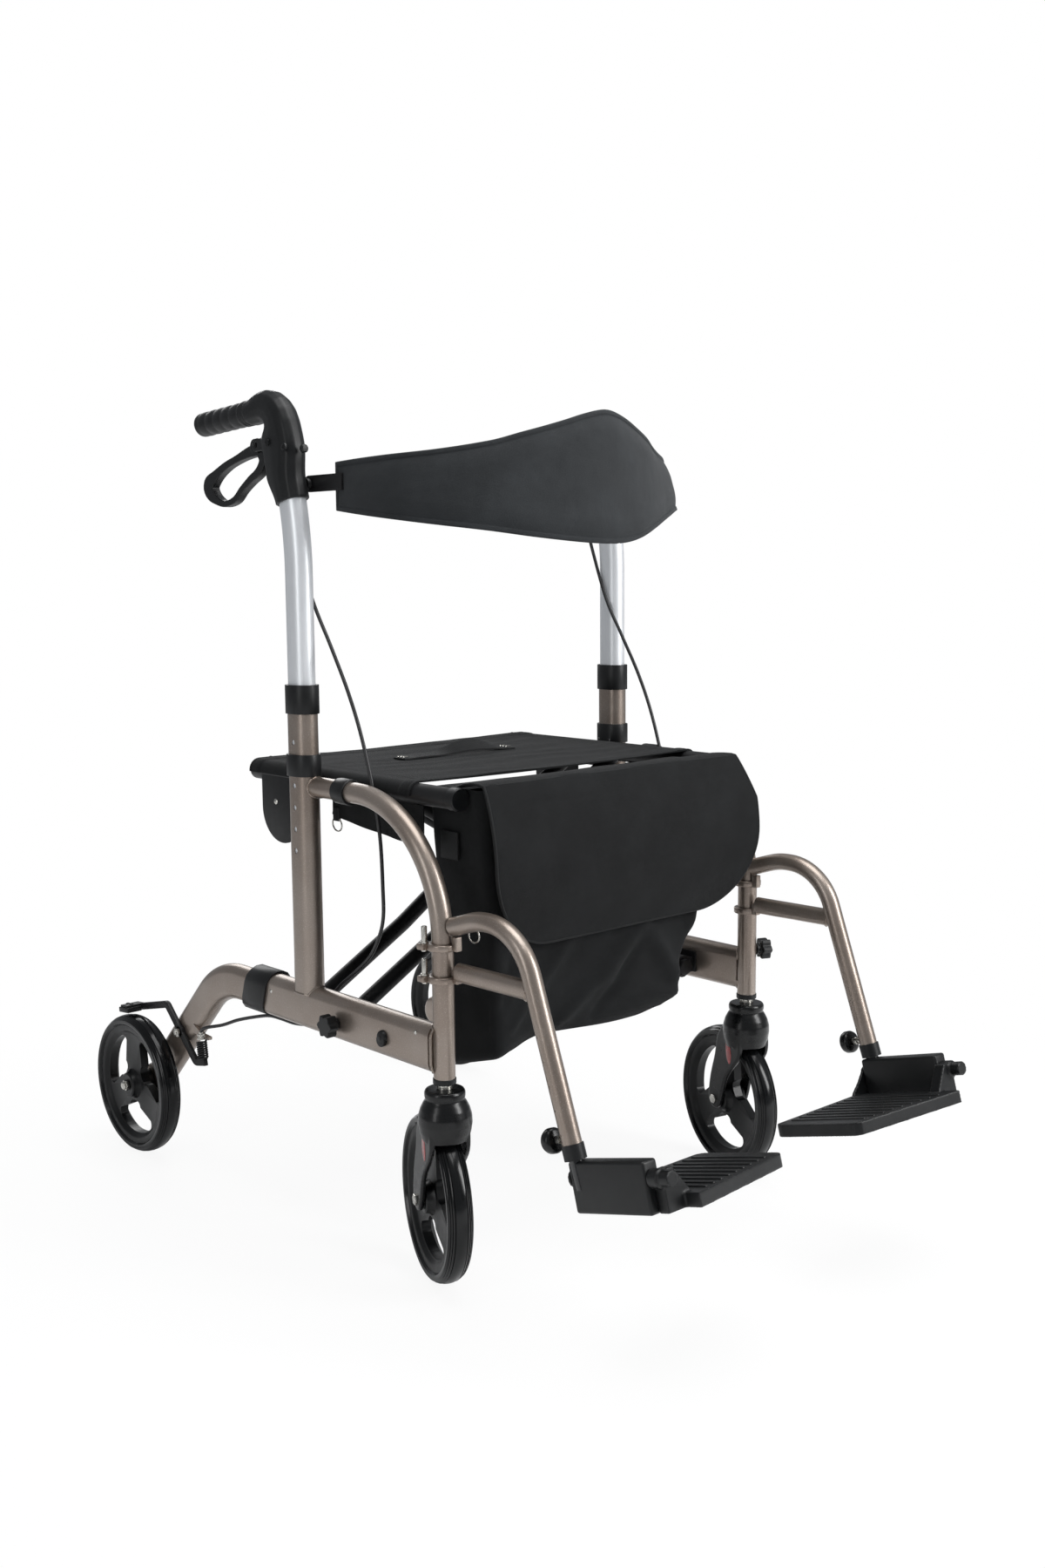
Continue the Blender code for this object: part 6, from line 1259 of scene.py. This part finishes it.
def woven(name, colour, worn_and_lit, pitch, depth, **fixed):
    """A plain weave: threads over and under each other, uneven in tone, with a painted highlight on the
    thread crests that leaves painted shade in the hollows.
    """
    cloth = Finish(name, colour, 0.85, **fixed)
    flat = cloth.node("UVMap", {"uv_map": "cloth"})
    along = cloth.node("SeparateXYZ", None, flat, output=0) * (math.pi / pitch)
    across = cloth.node("SeparateXYZ", None, flat, output=1) * (math.pi / pitch)
    warp, weft = along.maths("SINE", along), across.maths("SINE", across)
    over = (warp * weft) > 0
    lift = warp.maths("ABSOLUTE", warp) * over + weft.maths("ABSOLUTE", weft) * (1 - over)
    soft = cloth.node("TexNoise", None, Vector=flat, Scale=14.0, Detail=3.0, Roughness=0.6)
    fine = cloth.node("TexNoise", None, Vector=flat, Scale=420.0, Detail=2.0, Roughness=0.6)
    # The share toward the lighter tone is random uneven tone, plus the thread height: crests get a painted
    # highlight and the hollows between them painted shade.
    share = soft.between(0.35, 0.75) * 0.55 + fine.between(0.45, 0.8) * 0.30 + lift * 0.15
    cloth.feed("Base Color", cloth.tint(share, colour, worn_and_lit))
    cloth.feed("Roughness", 0.78 + fine * 0.14)
    cloth.relief((soft, 0.0016), (fine, 0.00022), (lift, depth))
    return cloth


# Each pair is the cloth's colour and its lighter tone. The lighter tone serves for wear and for the painted
# highlight on the thread crests.
black = ((0.0036, 0.0040, 0.0044), (0.0095, 0.0104, 0.0112))
black_cloth = woven("black_oxford_cloth", *black, 0.0009, 0.00012, Sheen_Weight=0.03, Sheen_Roughness=0.5)
black_cloth.feed("Specular IOR Level", 0.20)
piping_cloth = Finish("bias_binding", (0.0045, 0.005, 0.0055), 0.62, Specular_IOR_Level=0.25)
ribs = piping_cloth.node("TexWave", {"bands_direction": "DIAGONAL"}, Vector=piping_cloth.place(), Scale=420)
piping_cloth.relief((ribs, 0.00012), (piping_cloth.grain(0.01), 0.0004))

# The seat is black cloth stretched between the two seat tubes and sewn round them, with a hem at its
# front and back, two seams along each tube and a webbing strap that lifts it to fold the chair.
SEAT_FRONT, SEAT_REAR, SEAT_SAG = -0.050, 0.290, 0.004
WRAP = SEAT_RADIUS + 0.0002


def seat_point(across, share, lift):
    """A point above the seat's underside. across is the cloth's distance from the middle plane."""
    side = math.copysign(1, across)
    reach = abs(across)
    sag = SEAT_SAG * (0.55 + 0.45 * math.sin(math.pi * share))
    y = SEAT_FRONT + (SEAT_REAR - SEAT_FRONT) * share
    if reach > -SEAT_X:
        angle = (reach + SEAT_X) / (WRAP + 0.0020)
        outward = Vector((side * math.sin(angle), 0, math.cos(angle)))
        return Vector((-SEAT_X * side, y, SEAT_Z)) + outward * (WRAP + lift)
    level = SEAT_Z + WRAP - sag * (1 - (reach / SEAT_X) ** 2)
    return Vector((across, y, level + lift))


def seat_height(across, y):
    """How far the cloth's top stands off its underside: hems, tube seams, creases and ripples."""
    edge = min(y - SEAT_FRONT, SEAT_REAR - y)
    height = 0.0013
    height += 0.0012 * min(1.0, max(0.0, (0.0225 - edge) / 0.0015))
    for seam in (0.0050, 0.0195):
        height -= 0.0007 * math.exp(-(((edge - seam) / 0.0011) ** 2))
    for seam in (0.2190, 0.2120):
        height -= 0.0006 * math.exp(-(((abs(across) - seam) / 0.0012) ** 2))
    height += 0.0008 * math.exp(-(((abs(across) - 0.2155) / 0.0040) ** 2))
    spot = Vector((across * 9, y * 16, 0.3))
    drawn = max(0.0, 1 - (abs(across) / 0.236) ** 6)
    height += drawn * (0.0011 * noise.noise(spot) + 0.0006 * noise.noise(spot * 2.7))
    drift = 5.0 * noise.noise(Vector((across * 5, y * 7, 2)))
    height += drawn * 0.0004 * math.sin(2 * math.pi * y / 0.047 + drift)
    return max(height, 0.0007)


half_flat = -SEAT_X + (WRAP + 0.002) * math.radians(96)
ys = [SEAT_FRONT + (SEAT_REAR - SEAT_FRONT) * k / 150 for k in range(151)]
places = [half_flat * (-1 + 2 * k / 180) for k in range(181)]
strips = []
for y in ys:
    share = (y - SEAT_FRONT) / (SEAT_REAR - SEAT_FRONT)
    top = [seat_point(across, share, seat_height(across, y)) for across in places]
    under = [seat_point(across, share, 0.0) for across in places]
    strips.append((top, under, [(across, y) for across in places]))
sling = piece(doubled(strips), "seat_cloth", None, black_cloth, ["seat_sling"], 60)

# The strap lies flat at both ends, where three staples hold it, and stands up as a loop between them.
# Each row of its line is a place across and the rise of its back edge, which its front edge follows less.
STRAP_Y, STRAP_HALF, STRAP_WIDE, STAPLE_X = 0.163, 0.086, 0.0125, 0.0905
STRAP_RISE = (
    (-0.0980, 0.0), (-0.086, 0.0012), (-0.066, 0.0030), (-0.045, 0.0026), (-0.028, 0.0034), (-0.010, 0.0085),
    (0.010, 0.0142), (0.026, 0.0158), (0.042, 0.0145), (0.058, 0.0105), (0.072, 0.0055), (0.086, 0.0012),
    (0.0980, 0.0),
)
strap_foot = SEAT_Z + WRAP - SEAT_SAG * 0.75 + 0.0016
webbing = Finish("webbing", (0.0055, 0.006, 0.0065), 0.60, Specular_IOR_Level=0.3)
cords = webbing.node("TexWave", {"bands_direction": "X"}, Vector=webbing.place(), Scale=300, Distortion=0.4)
webbing.relief((cords, 0.00030), (webbing.grain(0.006), 0.0003))
section = [(-STRAP_WIDE, 0), (-0.0121, 0.0017), (0.0121, 0.0017), (STRAP_WIDE, 0), (0.0121, -0.0003)]
section += [(-0.0121, -0.0003)]
rows, flat = [], []
for k in range(61):
    across = STRAP_HALF * 1.13 * (2 * k / 60 - 1)
    rise = smooth_table(STRAP_RISE, across)
    row = []
    for u, v in section:
        lean = 1 - 0.42 * (1 - u / STRAP_WIDE)
        row.append(Vector((across, STRAP_Y + u * (1 - rise * 18), strap_foot + rise * lean + v)))
    rows.append(row)
    flat.append([(across, 0.004 * index) for index in range(7)])
strap = piece(filled(cloth_sheet(rows, flat)), "lift_strap", None, webbing, sharp=40)
wires = bmesh.new()
for x in (-STAPLE_X, STAPLE_X):
    for y in (STRAP_Y - 0.0058, STRAP_Y + 0.0002, STRAP_Y + 0.0060):
        low, high = strap_foot + 0.0010, strap_foot + 0.0034
        corners = [(x - 0.0052, y, low), (x - 0.0046, y, high)]
        corners += [(x + 0.0046, y + 0.001, high), (x + 0.0052, y + 0.001, low)]
        joined(wires, tube(rounded(corners, [0.0008, 0.0008], 4), 0.0013, steps=10, across=(0, 1, 0)))
staples = piece(wires, "strap_staples", None, steel)
low, high = to_model @ Vector((SEAT_X, 0.1, 0.575)), to_model @ Vector((-SEAT_X, 0.1, 0.575))
for made in (sling, strap, staples):
    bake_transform(made)

# A skirt of the same cloth hangs under each seat tube, from behind the upright to the bag, with a
# small wire ring sewn to its back end.
SKIRT_X, SKIRT_REAR, SKIRT_LENGTH = -0.2372, 0.118, 0.180
# Each row of its lower and upper edge is a distance in front of the middle, and a height.
lower_edge = [(-0.118, 0.5335), (-0.105, 0.5300), (-0.060, 0.5240), (-0.010, 0.5190), (0.032, 0.5150)]
lower_edge += [(0.062, 0.5110)]
upper_edge = [(-0.118, 0.5535), (-0.070, 0.5535), (-0.025, 0.5540), (0.010, 0.5620), (0.062, 0.5625)]
strips = []
for k in range(61):
    y = SKIRT_REAR - SKIRT_LENGTH * k / 60
    low_z, high_z = smooth_table(lower_edge, -y), smooth_table(upper_edge, -y)
    outer, inner = [], []
    for i in range(13):
        share = i / 12
        z = low_z + (high_z - low_z) * share
        wave = 0.0014 * noise.noise(Vector((y * 30, z * 26, 4))) + 0.0010 * (1 - share) * math.sin(y * 95)
        x = SKIRT_X + wave
        thick = 0.0009 if share > 0.16 else 0.0014
        outer.append(Vector((x - thick, y, z)))
        inner.append(Vector((x + thick, y, z)))
    strips.append((outer, inner, [(y, point.z) for point in outer]))
skirts = pair(doubled(strips), "seat_skirt", BRACES, black_cloth, sharp=60)


def wire_ring(middle, half_deep, half_high, bowed=0.0):
    """A ring of thin wire hanging in the plane of Y and Z."""
    path = []
    for angle in turns(30):
        out, y, z = bowed * math.sin(angle / 2), -half_deep * math.sin(angle), half_high * math.cos(angle)
        path.append(Vector(middle) + Vector((out, y, z)))
    return tube(path, 0.0020, steps=12)


ring = wire_ring((-0.2392, 0.1100, 0.5210), 0.0095, 0.0085, 0.002)
pair(ring, "skirt_ring", BRACES, steel)
tab = slab((-0.2402, 0.1040, 0.5255), (-0.2362, 0.1160, 0.5430), 0.0008, 2)
pair(tab, "skirt_tab", BRACES, webbing)

# The bag is an open cloth pouch hung in front of the cross, slack at the bottom and drawn in at its
# lower right, so that folds run slantwise down its front.
BAG_FRONT, BAG_REAR, BAG_LOW, BAG_HIGH = -0.148, -0.045, 0.2425, 0.572
# Each row is a share of the height, how far the bag reaches left and right there, and how much its
# front and its back are shifted.
BAG_ROWS = (
    (0.00, 0.170, 0.096, 0.012, -0.010),
    (0.04, 0.194, 0.108, 0.004, -0.003),
    (0.13, 0.201, 0.113, 0.000, 0.000),
    (0.30, 0.205, 0.129, -0.003, 0.000),
    (0.47, 0.209, 0.155, -0.003, 0.000),
    (0.65, 0.212, 0.179, -0.002, 0.000),
    (0.85, 0.216, 0.204, 0.000, 0.000),
    (1.00, 0.2198, 0.2198, 0.000, 0.000),
)


def bag_outline(share):
    """The bag's outline at a share of its height, from its back left corner round by the front."""
    left, right, front_shift, rear_shift = (
        smooth_table([(row[0], row[k]) for row in BAG_ROWS], share) for k in (1, 2, 3, 4)
    )
    front, rear, round_off = BAG_FRONT + front_shift, BAG_REAR + rear_shift, 0.014
    arcs = []
    for x, y, quarter in (
        (-left + round_off, rear - round_off, 1),
        (-left + round_off, front + round_off, 2),
        (right - round_off, front + round_off, 3),
        (right - round_off, rear - round_off, 4),
    ):
        angles = [math.pi / 2 * (quarter + k / 6) for k in range(7)]
        arcs.append([(x + round_off * math.cos(angle), y + round_off * math.sin(angle)) for angle in angles])
    points = []
    for index, arc in enumerate(arcs):
        (x, y), (next_x, next_y) = arc[-1], arcs[(index + 1) % 4][0]
        runs = 44 if index % 2 else 11
        points += arc + [(x + (next_x - x) * k / runs, y + (next_y - y) * k / runs) for k in range(1, runs)]
    return points


# Each fold of the bag's front runs from one (x, z) to another, with its half width and its height.
BAG_FOLDS = (
    ((-0.150, 0.262), (0.040, 0.385), 0.0120, 0.0075),
    ((-0.178, 0.300), (-0.060, 0.430), 0.0100, 0.0050),
    ((0.126, 0.284), (-0.020, 0.330), 0.0110, 0.0060),
    ((0.120, 0.300), (0.020, 0.420), 0.0140, 0.0080),
    ((0.146, 0.330), (0.130, 0.430), 0.0100, 0.0045),
    ((-0.110, 0.270), (0.110, 0.292), 0.0130, 0.0060),
    ((-0.040, 0.290), (0.060, 0.400), 0.0090, -0.0050),
    ((-0.190, 0.330), (-0.150, 0.470), 0.0090, -0.0040),
)


def bag_fold(x, y, z):
    """How far the cloth stands out: long slanting folds in front, soft waves at the sides, small dents."""
    share = (z - BAG_LOW) / (BAG_HIGH - BAG_LOW)
    spot = Vector((x + 0.006 * noise.noise(Vector((x * 14, z * 14, 2))), z))
    fold = 0.0
    for begin, end, half, height in BAG_FOLDS if y < -0.12 else ():
        begin, run = Vector(begin), Vector(end) - Vector(begin)
        along = min(max((spot - begin).dot(run) / run.length_squared, 0.0), 1.0)
        gap = (spot - begin - run * along).length / (half * (0.7 + 0.6 * along))
        fold += height * math.exp(-(gap**2)) * (0.35 + 0.65 * math.sin(math.pi * (0.12 + 0.76 * along)))
    slack = max(0.0, 1 - share)
    fold += 0.0035 * slack * noise.noise(Vector((x * 7, y * 9, z * 7)) + Vector((3, 1, 7)))
    fold += 0.0007 * noise.noise(Vector((x * 40, y * 40, z * 36)))
    return fold * min(1.0, (1 - share) * 9)


# The bottom hangs lowest at the left corner. Each row is a place across and how far it is drawn up.
BAG_HEM = (
    (-0.235, -0.026), (-0.205, -0.023), (-0.190, -0.017), (-0.170, -0.005), (-0.145, 0.005), (-0.120, 0.009),
    (-0.080, 0.006), (-0.010, 0.001), (0.040, 0.000), (0.080, 0.004), (0.115, 0.004), (0.230, 0.010),
)

rows, flat = [], []
levels = [0.0, 0.012, 0.03] + [0.05 + 0.95 * k / 66 for k in range(67)]
for share in levels:
    outline = bag_outline(share)
    middle = Vector((sum(p[0] for p in outline) / len(outline), (BAG_FRONT + BAG_REAR) / 2))
    ring, run = [], 0.0
    spots = []
    for index, (x, y) in enumerate(outline):
        forward = (BAG_REAR - y) / (BAG_REAR - BAG_FRONT)
        z = BAG_LOW + (BAG_HIGH - BAG_LOW) * share + 0.034 * forward * (1 - share) ** 3
        z += smooth_table(BAG_HEM, x) * (1 - share) ** 2
        z -= 0.014 * (1 - step(forward, 0.0, 0.35)) * share**6
        z += 0.013 * step(forward, 0.1, 0.4) * step(-x, 0.19, 0.21) * share**6
        ahead, behind = Vector(outline[(index + 1) % len(outline)]), Vector(outline[index - 1])
        way = ahead - behind
        outward = Vector((-way.y, way.x)).normalized()
        if outward.dot(Vector((x, y)) - middle) < 0:
            outward = -outward
        out = bag_fold(x, y, z) - 0.0012
        out = min(out, 0.0006) if abs(x) > 0.2 or y > -0.06 else out
        ring.append(Vector((x + outward.x * out, y + outward.y * out, z)))
        spots.append((run, z))
        run += (Vector(outline[(index + 1) % len(outline)]) - Vector((x, y))).length
    rows.append(ring)
    flat.append(spots + [(run, spots[-1][1])])
bag_bm = filled(cloth_sheet(rows, flat), below=BAG_LOW + 0.05)
bmesh.ops.triangulate(bag_bm, faces=[face for face in bag_bm.faces if len(face.verts) > 4])
bmesh.ops.recalc_face_normals(bag_bm, faces=bag_bm.faces)
bmesh.ops.solidify(bag_bm, geom=list(bag_bm.faces), thickness=0.0012)
bag = piece(bag_bm, "bag_pouch", "bag", black_cloth, ["bag"], 60)
patch = slab((-0.2196, -0.1020, 0.5000), (-0.2168, -0.0700, 0.5330), 0.0008, 2)
patch = piece(patch, "hook_tape", "bag", webbing)

# The flap is a stiffer panel that folds over the bag's mouth and down its front. Its edge is bound
# with piping, and a seam runs across it below the fold.
FLAP_HINGE_Y, FLAP_BACK_Z, FLAP_TOP, FLAP_ROLL, FLAP_LOW = -0.112, 0.5875, 0.5965, 0.004, 0.399
FLAP_HALF, FLAP_CORNER, FLAP_IN = 0.226, 0.100, 0.021
FLAP_FRONT = BAG_FRONT - 0.006
TOP_RUN = FLAP_FRONT - FLAP_HINGE_Y
FLAP_LENGTH = abs(TOP_RUN) + FLAP_TOP - FLAP_LOW


def flap_line(share):
    """The flap's middle line: its back edge at 0, over the bag's front edge, its bottom edge at 1."""
    corner_share = abs(TOP_RUN) / FLAP_LENGTH
    if share < corner_share:
        along = share / corner_share
        fallen = (FLAP_TOP - FLAP_BACK_Z) * (1 - along) ** 2 + FLAP_ROLL * along**2
        return FLAP_HINGE_Y + TOP_RUN * along, FLAP_TOP - fallen
    fall = (share - corner_share) / (1 - corner_share)
    bulge = 0.024 * math.sin(math.pi * min(fall * 0.92 + 0.02, 1.0)) ** 0.8
    return FLAP_FRONT - bulge, FLAP_TOP - FLAP_ROLL - (FLAP_TOP - FLAP_LOW - FLAP_ROLL) * fall


def flap_point(across, share, lift):
    """A point on the flap, a share of its width and length, lifted off its middle."""
    y, z = flap_line(share)
    ahead, behind = flap_line(min(share + 0.02, 1.0)), flap_line(max(share - 0.02, 0.0))
    along = Vector((0, ahead[0] - behind[0], ahead[1] - behind[1])).normalized()
    outward = along.cross(Vector((1, 0, 0)))
    missing = max(0.0, FLAP_CORNER - max(0.0, z - FLAP_LOW))
    half = FLAP_HALF - FLAP_CORNER + math.sqrt(max(FLAP_CORNER**2 - missing**2, 0.0))
    on_top = max(0.0, 1 - share / 0.17)
    below = min((FLAP_TOP - z) / 0.06, 1.0)
    right = half - FLAP_IN * (1 - 1.2 * below) - 2 * FLAP_IN * on_top
    reach = half if across < 0 else right
    return Vector((reach * across, y, z)) + outward * lift, outward


def flap_lift(x, z, across):
    """How far the cloth stands off its line: soft waves, and the seam below the fold."""
    lift = 0.0010 * noise.noise(Vector((x * 11, z * 13, 1)))
    lift += 0.0005 * noise.noise(Vector((x * 34, z * 30, 5)))
    seam = 0.0009 * math.exp(-(((z - 0.5665 - 0.012 * (x + 0.22)) / 0.0012) ** 2))
    return (lift - seam) * max(0.0, 1 - abs(across) ** 10)


flap_shares = [0.5 * (1 - math.cos(math.pi * k / 90)) for k in range(91)]
flap_columns = [math.sin(math.pi / 2 * (-1 + 2 * k / 100)) for k in range(101)]
strips = []
for share in flap_shares:
    upper, lower, spots = [], [], []
    for across in flap_columns:
        base, outward = flap_point(across, share, 0.0)
        lift = flap_lift(base.x, base.z, across)
        upper.append(base + outward * (0.00115 + lift))
        lower.append(base + outward * (lift - 0.0011))
        spots.append((base.x, share * FLAP_LENGTH))
    strips.append((upper, lower, spots))
flap = piece(doubled(strips), "flap_panel", "bag_flap", black_cloth, ["bag_flap"], 50)
edge_line = [flap_point(-1, share, 0)[0] for share in flap_shares[2:]]
edge_line += [flap_point(across, 1.0, 0)[0] for across in flap_columns[1:-1]]
edge_line += [flap_point(1, share, 0)[0] for share in flap_shares[:1:-1]]
spaced = [edge_line[0]]
for point in edge_line[1:]:
    if (point - spaced[-1]).length > 0.0035:
        spaced.append(point)
binding = tube(spaced, 0.0038, steps=12)
binding = piece(binding, "flap_piping", "bag_flap", piping_cloth, sharp=60)

# Behind the flap's fold a strip of cloth covers the rest of the bag's mouth down to its back wall.
STRIP_LEFT, STRIP_RIGHT = -0.2255, 0.178
strip_line = [(0, FLAP_HINGE_Y + 0.0030, FLAP_BACK_Z - 0.0052)]
strip_line += [(0, FLAP_HINGE_Y + 0.011, FLAP_BACK_Z - 0.0022)]
strip_line += [(0, -0.085, FLAP_BACK_Z - 0.0016), (0, -0.068, FLAP_BACK_Z - 0.0034)]
strip_line += [(0, -0.060, FLAP_BACK_Z - 0.0090), (0, -0.056, FLAP_BACK_Z - 0.0240)]
strip_line = smooth_line(strip_line, 5)
strips, run = [], 0.0
for index, spot in enumerate(strip_line):
    before, after = strip_line[max(index - 1, 0)], strip_line[min(index + 1, len(strip_line) - 1)]
    outward = (after - before).cross(Vector((1, 0, 0))).normalized()
    outward = outward if outward.z > 0 or outward.y > 0 else -outward
    run += (spot - before).length
    upper, lower, spots = [], [], []
    for k in range(81):
        x = STRIP_LEFT + (STRIP_RIGHT - STRIP_LEFT) * k / 80
        wave = 0.0008 * noise.noise(Vector((x * 16, spot.y * 30, 6))) - 0.0016 * (1 - abs(x) / 0.23)
        wave = min(wave, 0.0)
        base = Vector((x, spot.y, spot.z))
        upper.append(base + outward * (0.0009 + wave))
        lower.append(base + outward * (wave - 0.0007))
        spots.append((x, run))
    strips.append((upper, lower, spots))
strip = piece(doubled(strips), "bag_top_strip", "bag", black_cloth, sharp=60)

# A second wire ring hangs from a tab low on the bag's left side. The bag's pieces each get a mesh of their
# own.
bag_ring = wire_ring((-0.2370, -0.150, 0.4220), 0.0090, 0.0080)
bag_ring = piece(bag_ring, "bag_ring", "bag", steel)
ring_tab = slab((-0.2385, -0.1550, 0.4280), (-0.2130, -0.1450, 0.4310), 0.0008, 2)
ring_tab = piece(ring_tab, "bag_ring_tab", "bag", webbing)
for made in (bag, patch, flap, binding, strip, bag_ring, ring_tab):
    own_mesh(made)

# The backrest is a padded charcoal band, tallest in the middle and bowed forward, with a bound edge
# and a line of stitching beside the binding.
PIVOT_REST, END_Y, REST_DEPTH, REST_LEAN = 0.940, 0.089, 0.229, 0.018
REST_HALF, REST_THICK, REST_EDGE = 0.2447, 0.013, 0.0021
# Each row of its upper and lower edge is a share of the way from left to right, and a height.
REST_TOP = (
    (0.00, 0.024), (0.10, 0.029), (0.20, 0.0345), (0.29, 0.0440), (0.34, 0.0535), (0.38, 0.0610),
    (0.42, 0.0690),
    (0.46, 0.0775), (0.50, 0.0836), (0.525, 0.0832), (0.56, 0.0765), (0.60, 0.0660), (0.64, 0.0560),
    (0.67, 0.0465), (0.71, 0.0400), (0.78, 0.0365), (0.90, 0.029), (1.00, 0.024),
)
REST_LOW = (
    (0.00, -0.034), (0.10, -0.044), (0.20, -0.0535), (0.28, -0.0606), (0.36, -0.0686), (0.44, -0.0744),
    (0.50, -0.0760), (0.54, -0.0738), (0.58, -0.0673), (0.62, -0.0575), (0.66, -0.0481), (0.70, -0.0400),
    (0.74, -0.0330), (0.78, -0.0310), (0.88, -0.032), (1.00, -0.034),
)
grey = ((0.017, 0.019, 0.021), (0.028, 0.031, 0.034))
charcoal = woven("charcoal_cloth", *grey, 0.0008, 0.00010, Sheen_Weight=0.10, Sheen_Roughness=0.5)
charcoal.feed("Specular IOR Level", 0.22)


def rest_place(share):
    """The band's middle at a share of its half turn from left to right, and the angle there."""
    angle = -math.pi / 2 + math.pi * share
    return Vector((REST_HALF * math.sin(angle), END_Y - REST_DEPTH * math.cos(angle), 0)), angle


ARC_STEPS = 800
arc = [0.0]
for k in range(ARC_STEPS):
    step_way = rest_place((k + 1) / ARC_STEPS)[0] - rest_place(k / ARC_STEPS)[0]
    arc.append(arc[-1] + step_way.length)
band_length = arc[-1]


def share_at(run):
    """The share of the half turn at a distance along the band."""
    index = min(max(k for k, length in enumerate(arc) if length <= run + 1e-9), ARC_STEPS - 1)
    return (index + (run - arc[index]) / (arc[index + 1] - arc[index])) / ARC_STEPS


near = [0.0, 0.0008, 0.0018, 0.0030, 0.0042, 0.0052, 0.0060, 0.0068, 0.0078, 0.0095, 0.0125, 0.0170, 0.0230]
stations = near + [near[-1] + (band_length - 2 * near[-1]) * k / 130 for k in range(1, 130)]
stations += [band_length - run for run in near[::-1]]


def pad_half(gap, swell):
    """Half the band's thickness at a distance in from its edge: binding, stitch line, then padding."""
    if gap < 0.0056:
        return 0.0008 + 0.0020 * math.sqrt(max(0.0, 1 - (1 - min(gap / 0.0022, 1.0)) ** 2))
    if gap < 0.0068:
        return REST_EDGE
    rise = min((gap - 0.0068) / 0.022, 1.0)
    return REST_EDGE + (swell - REST_EDGE) * (1 - (1 - rise) ** 2.2)


strips = []
for run in stations:
    share = share_at(run)
    centre, angle = rest_place(share)
    outward = Vector((math.sin(angle) / REST_HALF, -math.cos(angle) / REST_DEPTH, 0)).normalized()
    if share in (0.0, 1.0):
        outward = Vector((math.copysign(1, centre.x), 0, 0))
    top, low = PIVOT_REST + smooth_table(REST_TOP, share), PIVOT_REST + smooth_table(REST_LOW, share)
    swell = REST_THICK / 2 * (0.75 + 0.25 * math.cos(angle))
    end_gap = min(run, band_length - run)
    tall = top - low
    heights = near + [near[-1] + (tall - 2 * near[-1]) * k / 22 for k in range(1, 22)]
    heights += [tall - gap for gap in near[::-1]]
    outer, inner, spots = [], [], []
    for height in heights:
        gap = min(height, tall - height)
        gap = min(gap, end_gap) if end_gap < 0.023 else gap
        half = pad_half(gap, swell)
        v = low + height
        crease = 0.0006 * noise.noise(Vector((run * 16, v * 15, 0)))
        crease += 0.0004 * noise.noise(Vector((run * 60, v * 44, 3)))
        crease *= min(gap / 0.012, 1.0)
        lean = REST_LEAN * math.cos(angle) / tall * height
        lean -= 0.010 * math.exp(-(((share - 0.775) / 0.07) ** 2)) * (1 - 0.75 * height / tall)
        base = centre - outward * (REST_THICK / 2 - 0.0035 + lean) + Vector((0, 0, v))
        outer.append(base + outward * (half + crease))
        inner.append(base - outward * (half + crease * 0.6))
        spots.append((run, v))
    strips.append((outer, inner, spots))
band = piece(doubled(strips), "backrest_band", "backrest", charcoal, ["backrest"], 60)
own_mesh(band)
